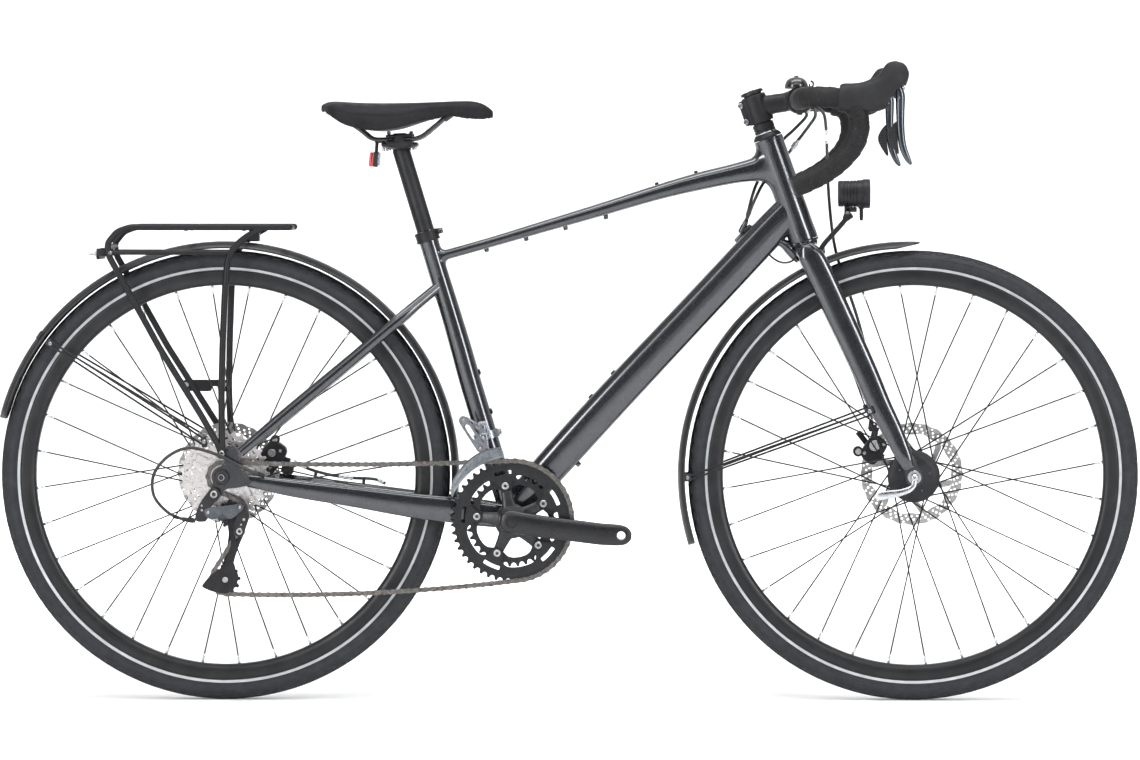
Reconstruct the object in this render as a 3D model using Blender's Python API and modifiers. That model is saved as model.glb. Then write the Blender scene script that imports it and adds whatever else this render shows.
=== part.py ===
"""Gravel and touring bicycle: aluminium frame, drop bar, disc brakes, mudguards and rear rack.

+X is forwards, +Y is the rider's left, +Z is up. The origin is on the ground, midway between
the ends of the bicycle. Lengths below are in millimetres and become metres where meshes are made.
"""

import math

import bpy
import bmesh
from mathutils import Matrix, Vector

for old in list(bpy.data.objects):
    bpy.data.objects.remove(old, do_unlink=True)

# ---------------------------------------------------------------- driving dimensions (mm)
AXLE_X = 533.3  # each axle's distance from the middle: the wheelbase is 1066.6
AXLE_Z = 349.0  # tyre radius, 700 x 38C
TYRE_R, TYRE_HALF_W = 349.0, 19.0
RIM_OUT_R, RIM_IN_R, RIM_HALF_W = 317.0, 295.0, 12.5
SPOKES, SPOKE_R = 32, 1.1
FRONT_OLD, REAR_OLD = 100.0, 135.0  # over-locknut widths
ROTOR_R = 80.0
FENDER_R, FENDER_HALF_W, FENDER_DEPTH, FENDER_T = 363.5, 23.0, 9.0, 1.6

BB_X, BB_Z = -87.0, 280.5
BB_SHELL_W, BB_SHELL_R = 68.0, 21.0
SEAT_ANGLE = 73.15
SEAT_TUBE_R, SEAT_BORE_R, SEATPOST_R = 15.5, 13.9, 13.6
SEAT_TUBE_TOP_Z = 728.0
HEAD_TOP, HEAD_BOTTOM = (308.1, 871.0), (364.2, 712.6)
HEAD_R, HEAD_BORE_R, STEERER_R = 23.0, 17.0, 14.3

CRANK_L, CRANK_ANGLE = 170.0, -7.1
CHAIN_PITCH = 12.7
RING_TEETH, SMALL_RING_TEETH = 44, 34
SPROCKETS = (11, 13, 15, 17, 20, 23, 26, 30, 34)
SPROCKET_STEP = 4.0
RING_Y, SMALL_RING_Y, COG_Y = -46.7, -40.2, -61.0
BCD_R = 55.0
PULLEY_TEETH = 11
PULLEY_UP, PULLEY_LOW = (-518.0, 291.0), (-529.0, 190.5)
CHAIN_HALF_W, CHAIN_HALF_H, CHAIN_SAG = 2.4, 3.7, 8.5
GAP = 0.35

BAR_X, BAR_Z, BAR_CLAMP_R, BAR_R, TAPE_R = 356.3, 930.0, 15.9, 12.6, 16.3
HOOD_Y = 206.0
LEVER_PIVOT = (492.0, 937.0)
LAMP_PIVOT = (431.0, 756.0)

MM = 0.001
REAR, FRONT = (-AXLE_X, AXLE_Z), (AXLE_X, AXLE_Z)
BB = (BB_X, BB_Z)
SEAT_DIR = Vector((-math.cos(math.radians(SEAT_ANGLE)), 0, math.sin(math.radians(SEAT_ANGLE))))
HEAD_DIR = Vector((HEAD_TOP[0] - HEAD_BOTTOM[0], 0, HEAD_TOP[1] - HEAD_BOTTOM[1])).normalized()


def pitch_r(teeth):
    """Pitch radius of a chain wheel."""
    return CHAIN_PITCH / (2 * math.sin(math.pi / teeth))


def on_seat(z, y=0.0):
    """Point of the seat tube's axis at a height."""
    return Vector((BB_X - (z - BB_Z) / math.tan(math.radians(SEAT_ANGLE)), y, z))


def on_head(along, forward=0.0, y=0.0):
    """Point by its distance above the head tube's top, along the steering axis, and forward of it."""
    ahead = Vector((HEAD_DIR.z, 0, -HEAD_DIR.x))
    return Vector((HEAD_TOP[0], y, HEAD_TOP[1])) + HEAD_DIR * along + ahead * forward


# ---------------------------------------------------------------- collections and materials
PARTS = bpy.data.collections.new("gravel_bike")
CUTTERS = bpy.data.collections.new("cutters")
for made in (PARTS, CUTTERS):
    bpy.context.scene.collection.children.link(made)


def material(name, colour, roughness, metallic):
    mat = bpy.data.materials.new(name)
    mat.use_nodes = True
    shader = mat.node_tree.nodes["Principled BSDF"]
    shader.inputs["Base Color"].default_value = (*colour, 1)
    shader.inputs["Roughness"].default_value = roughness
    shader.inputs["Metallic"].default_value = metallic
    return mat


PAINT = material("frame_paint", (0.065, 0.072, 0.085), 0.28, 0.75)
BLACK_METAL = material("black_anodised", (0.018, 0.018, 0.02), 0.42, 0.7)
BLACK_POWDER = material("black_powder_coat", (0.015, 0.015, 0.016), 0.55, 0.1)
BLACK_PLASTIC = material("black_plastic", (0.02, 0.02, 0.021), 0.5, 0.0)
FENDER_PLASTIC = material("fender_plastic", (0.02, 0.02, 0.021), 0.4, 0.0)
TYRE_RUBBER = material("tyre_rubber", (0.022, 0.022, 0.023), 0.85, 0.0)
SOFT_RUBBER = material("soft_rubber", (0.02, 0.02, 0.022), 0.75, 0.0)
SADDLE_SKIN = material("saddle_cover", (0.016, 0.016, 0.018), 0.6, 0.0)
BAR_TAPE = material("bar_tape", (0.02, 0.02, 0.021), 0.7, 0.0)
STEEL = material("steel", (0.55, 0.55, 0.56), 0.3, 1.0)
CHAIN_STEEL = material("chain_steel", (0.33, 0.31, 0.29), 0.4, 1.0)
SILVER = material("silver_alloy", (0.72, 0.72, 0.73), 0.25, 1.0)
GREY_ALLOY = material("grey_alloy", (0.22, 0.23, 0.25), 0.32, 0.9)
LEVER_GREY = material("lever_grey", (0.1, 0.11, 0.13), 0.25, 0.85)
REFLECTOR = material("red_reflector", (0.5, 0.01, 0.01), 0.15, 0.0)
HOUSING = material("cable_housing", (0.012, 0.012, 0.012), 0.4, 0.0)


# ---------------------------------------------------------------- making solids
def outwards(bm):
    """Turns every face outwards."""
    bmesh.ops.recalc_face_normals(bm, faces=bm.faces)
    if bm.calc_volume(signed=True) < 0:
        bmesh.ops.reverse_faces(bm, faces=bm.faces)


def put(name, bm):
    """A mesh object from a bmesh whose points are in millimetres."""
    bmesh.ops.scale(bm, vec=(MM, MM, MM), verts=bm.verts)
    mesh = bpy.data.meshes.new(name)
    bm.to_mesh(mesh)
    bm.free()
    obj = bpy.data.objects.new(name, mesh)
    PARTS.objects.link(obj)
    return obj


def baked(obj, matrix=None, weld=1e-6):
    """The object as its modifiers leave it, as one plain mesh object with its faces outwards."""
    bpy.context.view_layer.update()
    graph = bpy.context.evaluated_depsgraph_get()
    mesh = bpy.data.meshes.new_from_object(obj.evaluated_get(graph), depsgraph=graph)
    bm = bmesh.new()
    bm.from_mesh(mesh)
    bm.transform(obj.matrix_world)
    if matrix is not None:
        bm.transform(matrix)
    bmesh.ops.remove_doubles(bm, verts=bm.verts, dist=weld)
    outwards(bm)
    done = bpy.data.meshes.new(obj.name)
    bm.to_mesh(done)
    bm.free()
    new = bpy.data.objects.new(obj.name, done)
    PARTS.objects.link(new)
    bpy.data.objects.remove(obj, do_unlink=True)
    return new


def along(p, q):
    """Matrix whose local Z runs from p to q, centred between them."""
    p, q = Vector(p), Vector(q)
    return Matrix.Translation((p + q) / 2) @ (q - p).to_track_quat("Z", "Y").to_matrix().to_4x4()


def rod(p, q, r, r2=None, sides=14, name="rod"):
    bm = bmesh.new()
    length = (Vector(q) - Vector(p)).length
    bmesh.ops.create_cone(
        bm,
        cap_ends=True,
        segments=sides,
        radius1=r,
        radius2=r if r2 is None else r2,
        depth=length,
        matrix=along(p, q),
    )
    return put(name, bm)


def box(centre, size, turn=0.0, bevel=0.0, name="box"):
    """A box, turned about Y by the angle from +X towards +Z."""
    bm = bmesh.new()
    bmesh.ops.create_cube(bm, size=1.0)
    bmesh.ops.scale(bm, vec=size, verts=bm.verts)
    if bevel:
        bmesh.ops.bevel(bm, geom=bm.edges[:], offset=bevel, segments=1, affect="EDGES")
    bm.transform(Matrix.Translation(Vector(centre)) @ Matrix.Rotation(-math.radians(turn), 4, "Y"))
    return put(name, bm)


def tube(points, r, radii=None, resolution=2, name="tube"):
    """A curve with a round bevel and filled caps, made a mesh."""
    data = bpy.data.curves.new(name, "CURVE")
    data.dimensions = "3D"
    data.bevel_depth = r * MM
    data.bevel_resolution = resolution
    data.use_fill_caps = True
    spline = data.splines.new("POLY")
    spline.points.add(len(points) - 1)
    for i, p in enumerate(points):
        spline.points[i].co = (*(Vector(p) * MM), 1)
        if radii:
            spline.points[i].radius = radii[i] / r
    obj = bpy.data.objects.new(name, data)
    PARTS.objects.link(obj)
    return baked(obj)


def plate(outlines, y0, y1, name="plate"):
    """A flat outline in the XZ plane, with any holes as further outlines, from y0 to y1."""
    data = bpy.data.curves.new(name, "CURVE")
    data.dimensions = "2D"
    data.fill_mode = "BOTH"
    data.extrude = abs(y1 - y0) / 2 * MM
    for outline in outlines:
        spline = data.splines.new("POLY")
        spline.points.add(len(outline) - 1)
        for i, (x, z) in enumerate(outline):
            spline.points[i].co = (x * MM, z * MM, 0, 1)
        spline.use_cyclic_u = True
    obj = bpy.data.objects.new(name, data)
    obj.matrix_world = Matrix.Translation((0, (y0 + y1) / 2 * MM, 0)) @ Matrix.Rotation(math.pi / 2, 4, "X")
    PARTS.objects.link(obj)
    return baked(obj)


def circle(centre, r, count, start=0.0, end=360.0):
    """Points round a circle in the XZ plane, without its last point when it closes."""
    whole = abs(end - start) >= 360
    steps = count if whole else count - 1
    return [
        (
            centre[0] + r * math.cos(math.radians(start + (end - start) * i / steps)),
            centre[1] + r * math.sin(math.radians(start + (end - start) * i / steps)),
        )
        for i in range(count)
    ]


def turned(centre, profile, steps, start=0.0, sweep=360.0, closed=True, thick=0.0, name="turned"):
    """A profile of (radius, y) points turned about the Y line through centre (x, z) by a Screw."""
    mesh = bpy.data.meshes.new(name)
    verts = [(r * MM, 0, -y * MM) for r, y in profile]
    edges = [(i, i + 1) for i in range(len(verts) - 1)]
    if closed:
        edges.append((len(verts) - 1, 0))
    mesh.from_pydata(verts, edges, [])
    obj = bpy.data.objects.new(name, mesh)
    PARTS.objects.link(obj)
    screw = obj.modifiers.new("turn", "SCREW")
    screw.axis = "Z"
    screw.angle = math.radians(sweep)
    screw.steps = screw.render_steps = steps
    screw.use_merge_vertices = sweep >= 360
    screw.merge_threshold = 1e-5
    if thick:
        solid = obj.modifiers.new("wall", "SOLIDIFY")
        solid.thickness = thick * MM
        solid.offset = 0
        solid.use_even_offset = True
    place = (
        Matrix.Translation((centre[0] * MM, 0, centre[1] * MM))
        @ Matrix.Rotation(math.pi / 2, 4, "X")
        @ Matrix.Rotation(math.radians(start), 4, "Z")
    )
    return baked(obj, place, weld=1e-6)


def ring_on_axis(p, q, r_out, r_in, steps=20, name="ring"):
    """A plain ring whose axis runs from p to q."""
    p, q = Vector(p), Vector(q)
    half = (q - p).length / 2
    obj = turned((0, 0), [(r_out, -half), (r_out, half), (r_in, half), (r_in, -half)], steps, name=name)
    turn = (q - p).to_track_quat("Z", "Y").to_matrix().to_4x4() @ Matrix.Rotation(math.pi / 2, 4, "X")
    obj.data.transform(Matrix.Translation((p + q) / 2 * MM) @ turn)
    return obj


def shape(half_w, half_h, sides=10, power=2.0, flat_low=1.0):
    """A rounded section as (sideways, up) offsets: power 2 is an ellipse, more is squarer."""
    points = []
    for i in range(sides):
        a = 2 * math.pi * (i + 0.5) / sides
        c, s = math.cos(a), math.sin(a)
        u = half_w * math.copysign(abs(c) ** (2 / power), c)
        v = half_h * math.copysign(abs(s) ** (2 / power), s)
        points.append((u, v if v > 0 else v * flat_low))
    return points


def loft(path, sections, lateral=(0, 1, 0), closed=False, name="loft"):
    """A skin through unlike sections, each square to the path, with lateral as the sideways axis."""
    path = [Vector(p) for p in path]
    count = len(path)
    bm = bmesh.new()
    rings = []
    for i, p in enumerate(path):
        if closed:
            tangent = path[(i + 1) % count] - path[i - 1]
        else:
            tangent = path[min(i + 1, count - 1)] - path[max(i - 1, 0)]
        tangent.normalize()
        side = Vector(lateral)
        side = (side - tangent * side.dot(tangent)).normalized()
        up = side.cross(tangent).normalized()
        if not closed and (up.z < 0 if i == 0 else up.dot(before) < 0):
            up = -up
        before = up
        section = sections[i] if isinstance(sections[0], list) else sections
        rings.append([bm.verts.new(p + side * u + up * v) for u, v in section])
    sides = len(rings[0])
    for i in range(count if closed else count - 1):
        low, high = rings[i], rings[(i + 1) % count]
        for j in range(sides):
            k = (j + 1) % sides
            bm.faces.new((low[j], low[k], high[k], high[j]))
    if not closed:
        bm.faces.new(rings[0])
        bm.faces.new(rings[-1])
    outwards(bm)
    return put(name, bm)


def combined(first, others, operation):
    """A Boolean of the first object with each of the others in turn."""
    for other in others:
        for c in list(other.users_collection):
            c.objects.unlink(other)
        CUTTERS.objects.link(other)
        other.hide_render = True
        other.display_type = "WIRE"
        mod = first.modifiers.new(operation.lower(), "BOOLEAN")
        mod.operation = operation
        mod.solver = "EXACT"
        mod.object = other
        first = baked(first, weld=2e-7)
        bpy.data.objects.remove(other, do_unlink=True)
    return first


def union(first, *others):
    return combined(first, others, "UNION")


def cut(first, *others):
    return combined(first, others, "DIFFERENCE")


def smooth_path(points, count):
    """A Catmull-Rom curve through the points, read off at even steps."""
    pts = [Vector(p) for p in points]
    pts = [pts[0] * 2 - pts[1]] + pts + [pts[-1] * 2 - pts[-2]]
    out = []
    spans = len(pts) - 3
    for i in range(count):
        t = i / (count - 1) * spans
        k = min(int(t), spans - 1)
        t -= k
        a, b, c, d = pts[k : k + 4]
        out.append(
            0.5 * (2 * b + (c - a) * t + (2 * a - 5 * b + 4 * c - d) * t * t + (3 * b - a - 3 * c + d) * t**3)
        )
    return out


EMPTIES = {}


def pivot(name, at, parent=None):
    """An empty on a joint's axis, which its moving pieces are parented to."""
    empty = bpy.data.objects.new(name + "_pivot", None)
    PARTS.objects.link(empty)
    empty.empty_display_size = 0.02
    base = Vector((0, 0, 0)) if parent is None else EMPTIES[parent][1]
    if parent:
        empty.parent = EMPTIES[parent][0]
    empty.location = (Vector(at) - base) * MM
    EMPTIES[name] = (empty, Vector(at))


def piece(obj, name, mat, body=None, origin=None, smooth=35.0):
    """Names a finished solid, gives it its material and origin, and parents it to its body's pivot."""
    obj.name = name
    obj.data.name = name
    base = Vector((0, 0, 0)) if body is None else EMPTIES[body][1]
    at = Vector(origin) if origin is not None else base
    obj.data.transform(Matrix.Translation(-at * MM))
    if body:
        obj.parent = EMPTIES[body][0]
    obj.location = (at - base) * MM
    obj.data.materials.clear()
    obj.data.materials.append(mat)
    obj.data.shade_smooth()
    obj.data.set_sharp_from_angle(angle=math.radians(smooth))
    return obj


def mirrored(obj):
    """A copy mirrored to the other side of the middle plane."""
    data = obj.data.copy()
    data.transform(Matrix.Diagonal((1, -1, 1, 1)))
    data.flip_normals()
    new = bpy.data.objects.new(obj.name, data)
    PARTS.objects.link(new)
    return new


# ---------------------------------------------------------------- joint pivots
pivot("fork", (HEAD_TOP[0], 0, HEAD_TOP[1]))
pivot("seatpost", on_seat(SEAT_TUBE_TOP_Z))
pivot("front_wheel", (AXLE_X, 0, AXLE_Z), "fork")
pivot("rear_wheel", (-AXLE_X, 0, AXLE_Z))
pivot("cassette", (-AXLE_X, COG_Y, AXLE_Z))
pivot("crankset", (BB_X, 0, BB_Z))
pivot("fd_cage", (-134.0, -31.0, 427.0))
RD_B, RD_P, RD_C = (-552.0, -78.0, 296.0), (-507.5, -78.0, 302.0), (-505.5, -70.0, 266.2)
RD_PIN = Vector((0.212, 0.785, 0.583)).normalized()
pivot("rd_link", RD_B)
pivot("rd_knuckle", RD_P, "rd_link")
pivot("rd_cage", RD_C, "rd_knuckle")
pivot("rd_upper_pulley", (PULLEY_UP[0], COG_Y, PULLEY_UP[1]), "rd_cage")
pivot("rd_lower_pulley", (PULLEY_LOW[0], COG_Y, PULLEY_LOW[1]), "rd_cage")
for side, sign in (("right", -1), ("left", 1)):
    pivot("brake_lever_" + side, (LEVER_PIVOT[0], sign * HOOD_Y, LEVER_PIVOT[1]), "fork")
    pivot("shift_paddle_" + side, (495.0, sign * (HOOD_Y - 2), 894.0), "brake_lever_" + side)
FQR, RQR = (AXLE_X, -63.0, AXLE_Z), (-AXLE_X, 90.0, AXLE_Z)
pivot("front_qr_lever", FQR, "fork")
pivot("rear_qr_lever", RQR)
FRONT_ARM, REAR_ARM = (471.0, 65.0, 386.0), (-466.0, 69.0, 372.0)
pivot("front_caliper_arm", FRONT_ARM, "fork")
pivot("rear_caliper_arm", REAR_ARM)
pivot("headlight", (LAMP_PIVOT[0], 0, LAMP_PIVOT[1]), "fork")
BELL_Y = -52.0
STRIKER = (371.0, BELL_Y, 951.0)
pivot("bell_striker", STRIKER, "fork")


# ---------------------------------------------------------------- frame
def make_frame():
    head_low, head_high = Vector((HEAD_BOTTOM[0], 0, HEAD_BOTTOM[1])), on_head(0)
    seat_top = on_seat(SEAT_TUBE_TOP_Z)
    frame = rod(head_low, head_high, HEAD_R, sides=22, name="frame")
    # The top tube is slim and flat at the seat and deepens into the head tube.
    frame = union(
        frame,
        loft(
            [(-207, 0, 686.2), (-120, 0, 710.6), (-45.7, 0, 732.6), (47.5, 0, 760.2), (140.7, 0, 788.5),
             (200, 0, 804.2), (259.5, 0, 817.4), (290, 0, 823.5), (316, 0, 829)],
            [shape(11, 8, 8, 2.6), shape(13.5, 8.3, 8, 2.6), shape(15.5, 9.3, 8, 2.8), shape(16.5, 10.6, 8, 2.8),
             shape(17, 12.3, 8, 2.8), shape(17, 14.3, 8, 2.8), shape(17, 16, 8, 2.8), shape(17, 19, 8, 2.8),
             shape(16, 24, 8, 2.8)],
        ),
    )
    # The down tube is a deep shaped tube with a crease along each side.
    crease = [(21.5, 3), (20, 13), (12, 23), (-12, 23), (-20, 13), (-21.5, 3), (-20, -8), (-15, -20),
              (-8, -24.5), (8, -24.5), (15, -20), (20, -8)]
    down = [(-80, 0, 303), (-35.6, 0, 352.7), (47.5, 0, 444.7), (186, 0, 593), (324.3, 0, 741.0), (340, 0, 758)]
    scale = [0.86, 0.95, 1.0, 1.0, 0.97, 0.93]
    frame = union(
        frame,
        loft(down, [[(u * k, v * k) for u, v in crease] for k in scale]),
        rod(on_seat(BB_Z + 4), seat_top, SEAT_TUBE_R, sides=20),
        rod((BB_X, -BB_SHELL_W / 2, BB_Z), (BB_X, BB_SHELL_W / 2, BB_Z), BB_SHELL_R, sides=22),
    )
    outline = [(-486, 337), (-482, 352), (-494, 382), (-505, 398), (-524, 399), (-539, 392), (-545, 372),
               (-552, 356), (-556, 338), (-557, 320), (-552, 311), (-541, 311), (-536, 322), (-527, 331), (-508, 333)]
    plain = outline[:8] + [(-552, 340), (-540, 331), (-525, 330), (-508, 333)]
    for sign in (-1, 1):
        chain_stay = [(-96, sign * 21, 286), (-118, sign * 25.5, 288.5), (-150, sign * 28.3, 293),
                      (-186, sign * 34.2, 298.5), (-240, sign * 41, 306), (-334, sign * 49.5, 321),
                      (-430, sign * 60, 335), (-494, sign * 66.3, 345)]
        frame = union(
            frame,
            loft(
                chain_stay,
                [shape(6.5, 17, 8, 2.8), shape(6.8, 18, 8, 2.8), shape(7.3, 18.5, 8, 2.8), shape(7.6, 18.5, 8, 2.8),
                 shape(8, 17, 8, 2.6), shape(8, 13.5, 8, 2.4), shape(7.5, 10.5, 8, 2.2), shape(6, 8, 8, 2.0)],
            ),
            loft(
                [(-204, sign * 8, 637), (-232, sign * 22, 613.5), (-262, sign * 36.0, 589), (-330, sign * 44, 535.5),
                 (-440, sign * 59, 444), (-506, sign * 67.5, 388.5)],
                [shape(7, 7, 8), shape(7, 7, 8), shape(7.4, 7.3, 8), shape(7.4, 7.3, 8), shape(7.2, 7.3, 8), shape(6.5, 6.5, 8)],
            ),
            plate([outline if sign < 0 else plain], sign * 67.6, sign * 74.2),
        )
    frame = union(
        frame,
        rod((-247.5, -30, 600), (-247.5, 30, 600), 5.5, sides=8),
        rod((-152, -26, 297), (-152, 26, 297), 6, sides=8),
    )
    # Bottle bosses and cable stops stand a little proud of the tubes.
    down_dir = Vector((0.6825, 0, 0.7309))
    down_up = Vector((-0.7309, 0, 0.6825))
    for t in (0.3, 0.93):
        base = Vector((47.5, 0, 444.7)) + down_dir * (t * 80 - 14) + down_up * 20
        frame = union(frame, rod(base, base + down_up * 6.5, 4.5, sides=8))
    for z in (443.5, 504.5):
        base = on_seat(z) + Vector((SEAT_DIR.z, 0, -SEAT_DIR.x)) * 13
        frame = union(frame, rod(base, base + Vector((SEAT_DIR.z, 0, -SEAT_DIR.x)) * 4.5, 4.0, sides=8))
    stop_at = Vector((279.5, 8, 731.5)) - down_up * 1.5
    frame = union(
        frame,
        box(stop_at, (22, 16, 9), turn=47, bevel=1.2),
        box((14, 0, 366.5), (8, 12, 8), turn=47),
    )
    for x, z in ((-127.7, 699.9), (-66.3, 716.9), (-5.3, 733.7), (57.3, 750.7)):
        frame = union(frame, box((x, 0, z), (6.5, 7, 8), turn=16))
    for x, z in ((136, 800.2), (196.6, 818.0)):
        frame = union(frame, box((x, 0, z), (6.5, 6, 7), turn=16))
    far = SEAT_DIR * 40
    frame = cut(
        frame,
        rod(head_low - HEAD_DIR * 20, head_high + HEAD_DIR * 20, HEAD_BORE_R, sides=18),
        rod(on_seat(440), seat_top + far, SEAT_BORE_R, sides=20),
        rod((BB_X, -60, BB_Z), (BB_X, 60, BB_Z), 17.6, sides=18),
        rod((-AXLE_X, -90, AXLE_Z), (-AXLE_X, 90, AXLE_Z), 5.5, sides=12),
        rod((-544.5, -90, 323.5), (-544.5, -60, 323.5), 4.6, sides=12),
    )
    piece(frame, "frame", PAINT)


make_frame()

# Seat clamp: a ring round the top of the seat tube, with a bolt boss in front.
collar_low, collar_high = on_seat(711.5), on_seat(727.0)
ear = on_seat(722) + Vector((SEAT_DIR.z, 0, -SEAT_DIR.x)) * 21.2
clamp = ring_on_axis(collar_low, collar_high, 18.6, SEAT_TUBE_R + 0.3, 20, "seat_clamp")
clamp = union(clamp, box(ear, (9.5, 15, 9), turn=16.8, bevel=1.5))
clamp = cut(clamp, box(ear + Vector((1, 0, 0)), (16, 2.0, 30), turn=16.8))
piece(clamp, "seat_clamp", BLACK_METAL)

# Bottom bracket: two outboard cups on a sleeve through the shell.
half = BB_SHELL_W / 2
piece(
    turned(
        BB,
        [(22, -half - 9.6), (22, -half - GAP), (17.2, -half - GAP), (17.2, half + GAP), (22, half + GAP),
         (22, half + 9.6), (12.4, half + 9.6), (12.4, -half - 9.6)],
        18,
    ),
    "bottom_bracket",
    BLACK_METAL,
)


# ---------------------------------------------------------------- wheels
def make_wheel(which, centre, body, flanges, hub_profile):
    tyre = [(317.35, -12), (326, -18.4), (336, -18.4), (346, -11), (349, 0), (346, 11), (336, 18.4), (326, 18.4), (317.35, 12)]
    piece(turned(centre, tyre, 40), which + "_tyre", TYRE_RUBBER, body)
    rim = [(RIM_OUT_R, -RIM_HALF_W), (303, -12.0), (RIM_IN_R, -5), (RIM_IN_R, 5), (303, 12.0), (RIM_OUT_R, RIM_HALF_W)]
    piece(turned(centre, rim, 40), which + "_rim", BLACK_METAL, body)
    hub = turned(centre, hub_profile, 14)
    bm = bmesh.new()
    per_side = SPOKES // 2
    for s, (y, r, rim_y) in enumerate(flanges):
        for i in range(per_side):
            out = i % 2  # alternate spokes lead and trail, one outside and one inside the flange
            rim_a = 360.0 / SPOKES * (2 * i + s) + 4.0
            hub_a = rim_a + (62 if out else -62)
            y_hub = y + (1.9 if out else -1.9) * (1 if y > 0 else -1)
            a, b = math.radians(hub_a), math.radians(rim_a)
            p = Vector((centre[0] + r * math.cos(a), y_hub, centre[1] + r * math.sin(a)))
            q = Vector((centre[0] + (RIM_IN_R - 1.2) * math.cos(b), rim_y, centre[1] + (RIM_IN_R - 1.2) * math.sin(b)))
            bmesh.ops.create_cone(
                bm, cap_ends=True, segments=3, radius1=SPOKE_R, radius2=SPOKE_R, depth=(q - p).length, matrix=along(p, q)
            )
    hub = union(hub, put("spokes", bm))
    piece(hub, which + "_hub", BLACK_METAL, body)


def rotor(centre, y, inner, name, body):
    outline = [circle(centre, ROTOR_R, 36), circle(centre, inner, 18)]
    for i in range(6):
        a = 60 * i
        window = circle(centre, 64, 4, a + 7, a + 53) + circle(centre, inner + 9, 3, a + 60, a + 22)
        outline.append(window)
    piece(plate(outline, y - 0.9, y + 0.9), name, STEEL, body)


make_wheel(
    "front", FRONT, "front_wheel", [(-31.0, 36.5, -3.0), (27.0, 28.5, 3.0)],
    [(11, -48.5), (14, -45), (33, -40), (40, -36.5), (40, -26), (26, -22), (26, 20), (32, 23.5), (32, 30.5),
     (20.5, 33), (20.5, 44), (11, 48.5), (5.4, 48.5), (5.4, -48.5)],
)
make_wheel(
    "rear", REAR, "rear_wheel", [(-20.5, 28.0, -3.0), (33.5, 28.0, 3.0)],
    [(17, -25.6), (32, -24.3), (32, -16.7), (18, -13), (18, 27), (32, 29.5), (32, 37.5), (20.5, 40),
     (20.5, 54), (11, 65.5), (5.4, 65.5), (5.4, -25.6)],
)
rotor(FRONT, 39.6, 21.0, "front_rotor", "front_wheel")
rotor(REAR, 50.4, 21.0, "rear_rotor", "rear_wheel")

# Axles: hollow-bolt skewers with a nut on the plain side and a clamping cup on the lever's side.
piece(
    turned(FRONT, [(0, -61), (10.5, -61), (10.5, -57.2), (5.0, -57), (5.0, 57), (9.5, 57), (9.5, 65), (6, 68), (0, 68)],
           16, closed=False),
    "front_axle", SILVER, "fork",
)
piece(
    turned(REAR, [(0, -85), (6, -85), (9.0, -82.5), (9.0, -75.8), (5.0, -75.5), (5.0, 84.8), (10, 85), (10, 87.2), (0, 87.2)],
           16, closed=False),
    "rear_axle", BLACK_METAL,
)


def qr_lever(at, direction, outward, name, mat):
    """A cam lever: its knob is centred on the cam's axis and its blade curves away along direction."""
    at, d, o = Vector(at), Vector(direction).normalized(), Vector(outward)
    points = [at, at + d * 14 + o * 3, at + d * 30 + o * 5.5, at + d * 46 + o * 5, at + d * 58 + o * 3]
    across = d.cross(o)
    blade = loft(
        points, [shape(6, 4.5, 8), shape(5, 3.0, 8), shape(6, 2.2, 8), shape(7, 2.0, 8), shape(5, 1.6, 8)],
        lateral=across, name=name,
    )
    body = name
    knob = rod(at - across * 6.5, at + across * 6.5, 6.2, sides=12)
    piece(union(blade, knob), name, mat, body)


qr_lever((FQR[0], -67.8, FQR[2]), (-0.91, 0, -0.41), (0, -1, 0), "front_qr_lever", SILVER)
qr_lever((RQR[0], 93.8, RQR[2]), (-0.97, 0, 0.24), (0, 1, 0), "rear_qr_lever", BLACK_METAL)

# Cassette on its freehub body, smallest sprocket outside.
steps = []
for i, teeth in enumerate(SPROCKETS):
    tip = pitch_r(teeth) + 2.4 if i else pitch_r(teeth) - CHAIN_HALF_H - GAP
    outer = COG_Y - 1.1 if i == 0 else COG_Y + i * SPROCKET_STEP - 0.9
    inner = COG_Y + (i + 1) * SPROCKET_STEP - 0.9 if i < len(SPROCKETS) - 1 else COG_Y + i * SPROCKET_STEP + 0.9
    steps += [(tip, outer), (tip, inner)]
piece(
    turned(REAR, [(5.6, COG_Y - 4.6), (15, COG_Y - 4.6)] + steps + [(16.4, -26.0), (5.6, -26.0)], 16),
    "cassette", SILVER, "cassette",
)


# ---------------------------------------------------------------- crankset
def ring_outline(centre, tip_r, band_r, tab_r, tab_half):
    """A chainring's outline: a circle, and inside it a hole with five tabs that reach inwards."""
    inside = []
    for i in range(5):
        a = 29 + 72 * i
        w_in, w_out = math.degrees(tab_half / tab_r), math.degrees(tab_half * 1.35 / band_r)
        inside += [
            circle(centre, band_r, 2, a - w_out, a - w_out + 1)[0],
            circle(centre, tab_r, 2, a - w_in, a - w_in + 1)[0],
            circle(centre, tab_r, 2, a + w_in, a + w_in + 1)[0],
            circle(centre, band_r, 2, a + w_out, a + w_out + 1)[0],
        ]
        gap = 72 - 2 * w_out
        inside += [circle(centre, band_r, 2, a + w_out + gap * k / 3, 0)[0] for k in (1, 2)]
    return [circle(centre, tip_r, 40), inside]


big_tip = pitch_r(RING_TEETH) - CHAIN_HALF_H - GAP
piece(plate(ring_outline(BB, big_tip, 71.5, 48.5, 8), RING_Y - 1.4, RING_Y + 1.4), "chainring_large", BLACK_METAL, "crankset")
piece(
    plate(ring_outline(BB, pitch_r(SMALL_RING_TEETH) - 2.2, 56.0, 48.5, 8), SMALL_RING_Y - 1.2, SMALL_RING_Y + 1.2),
    "chainring_small", BLACK_METAL, "crankset",
)


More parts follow.
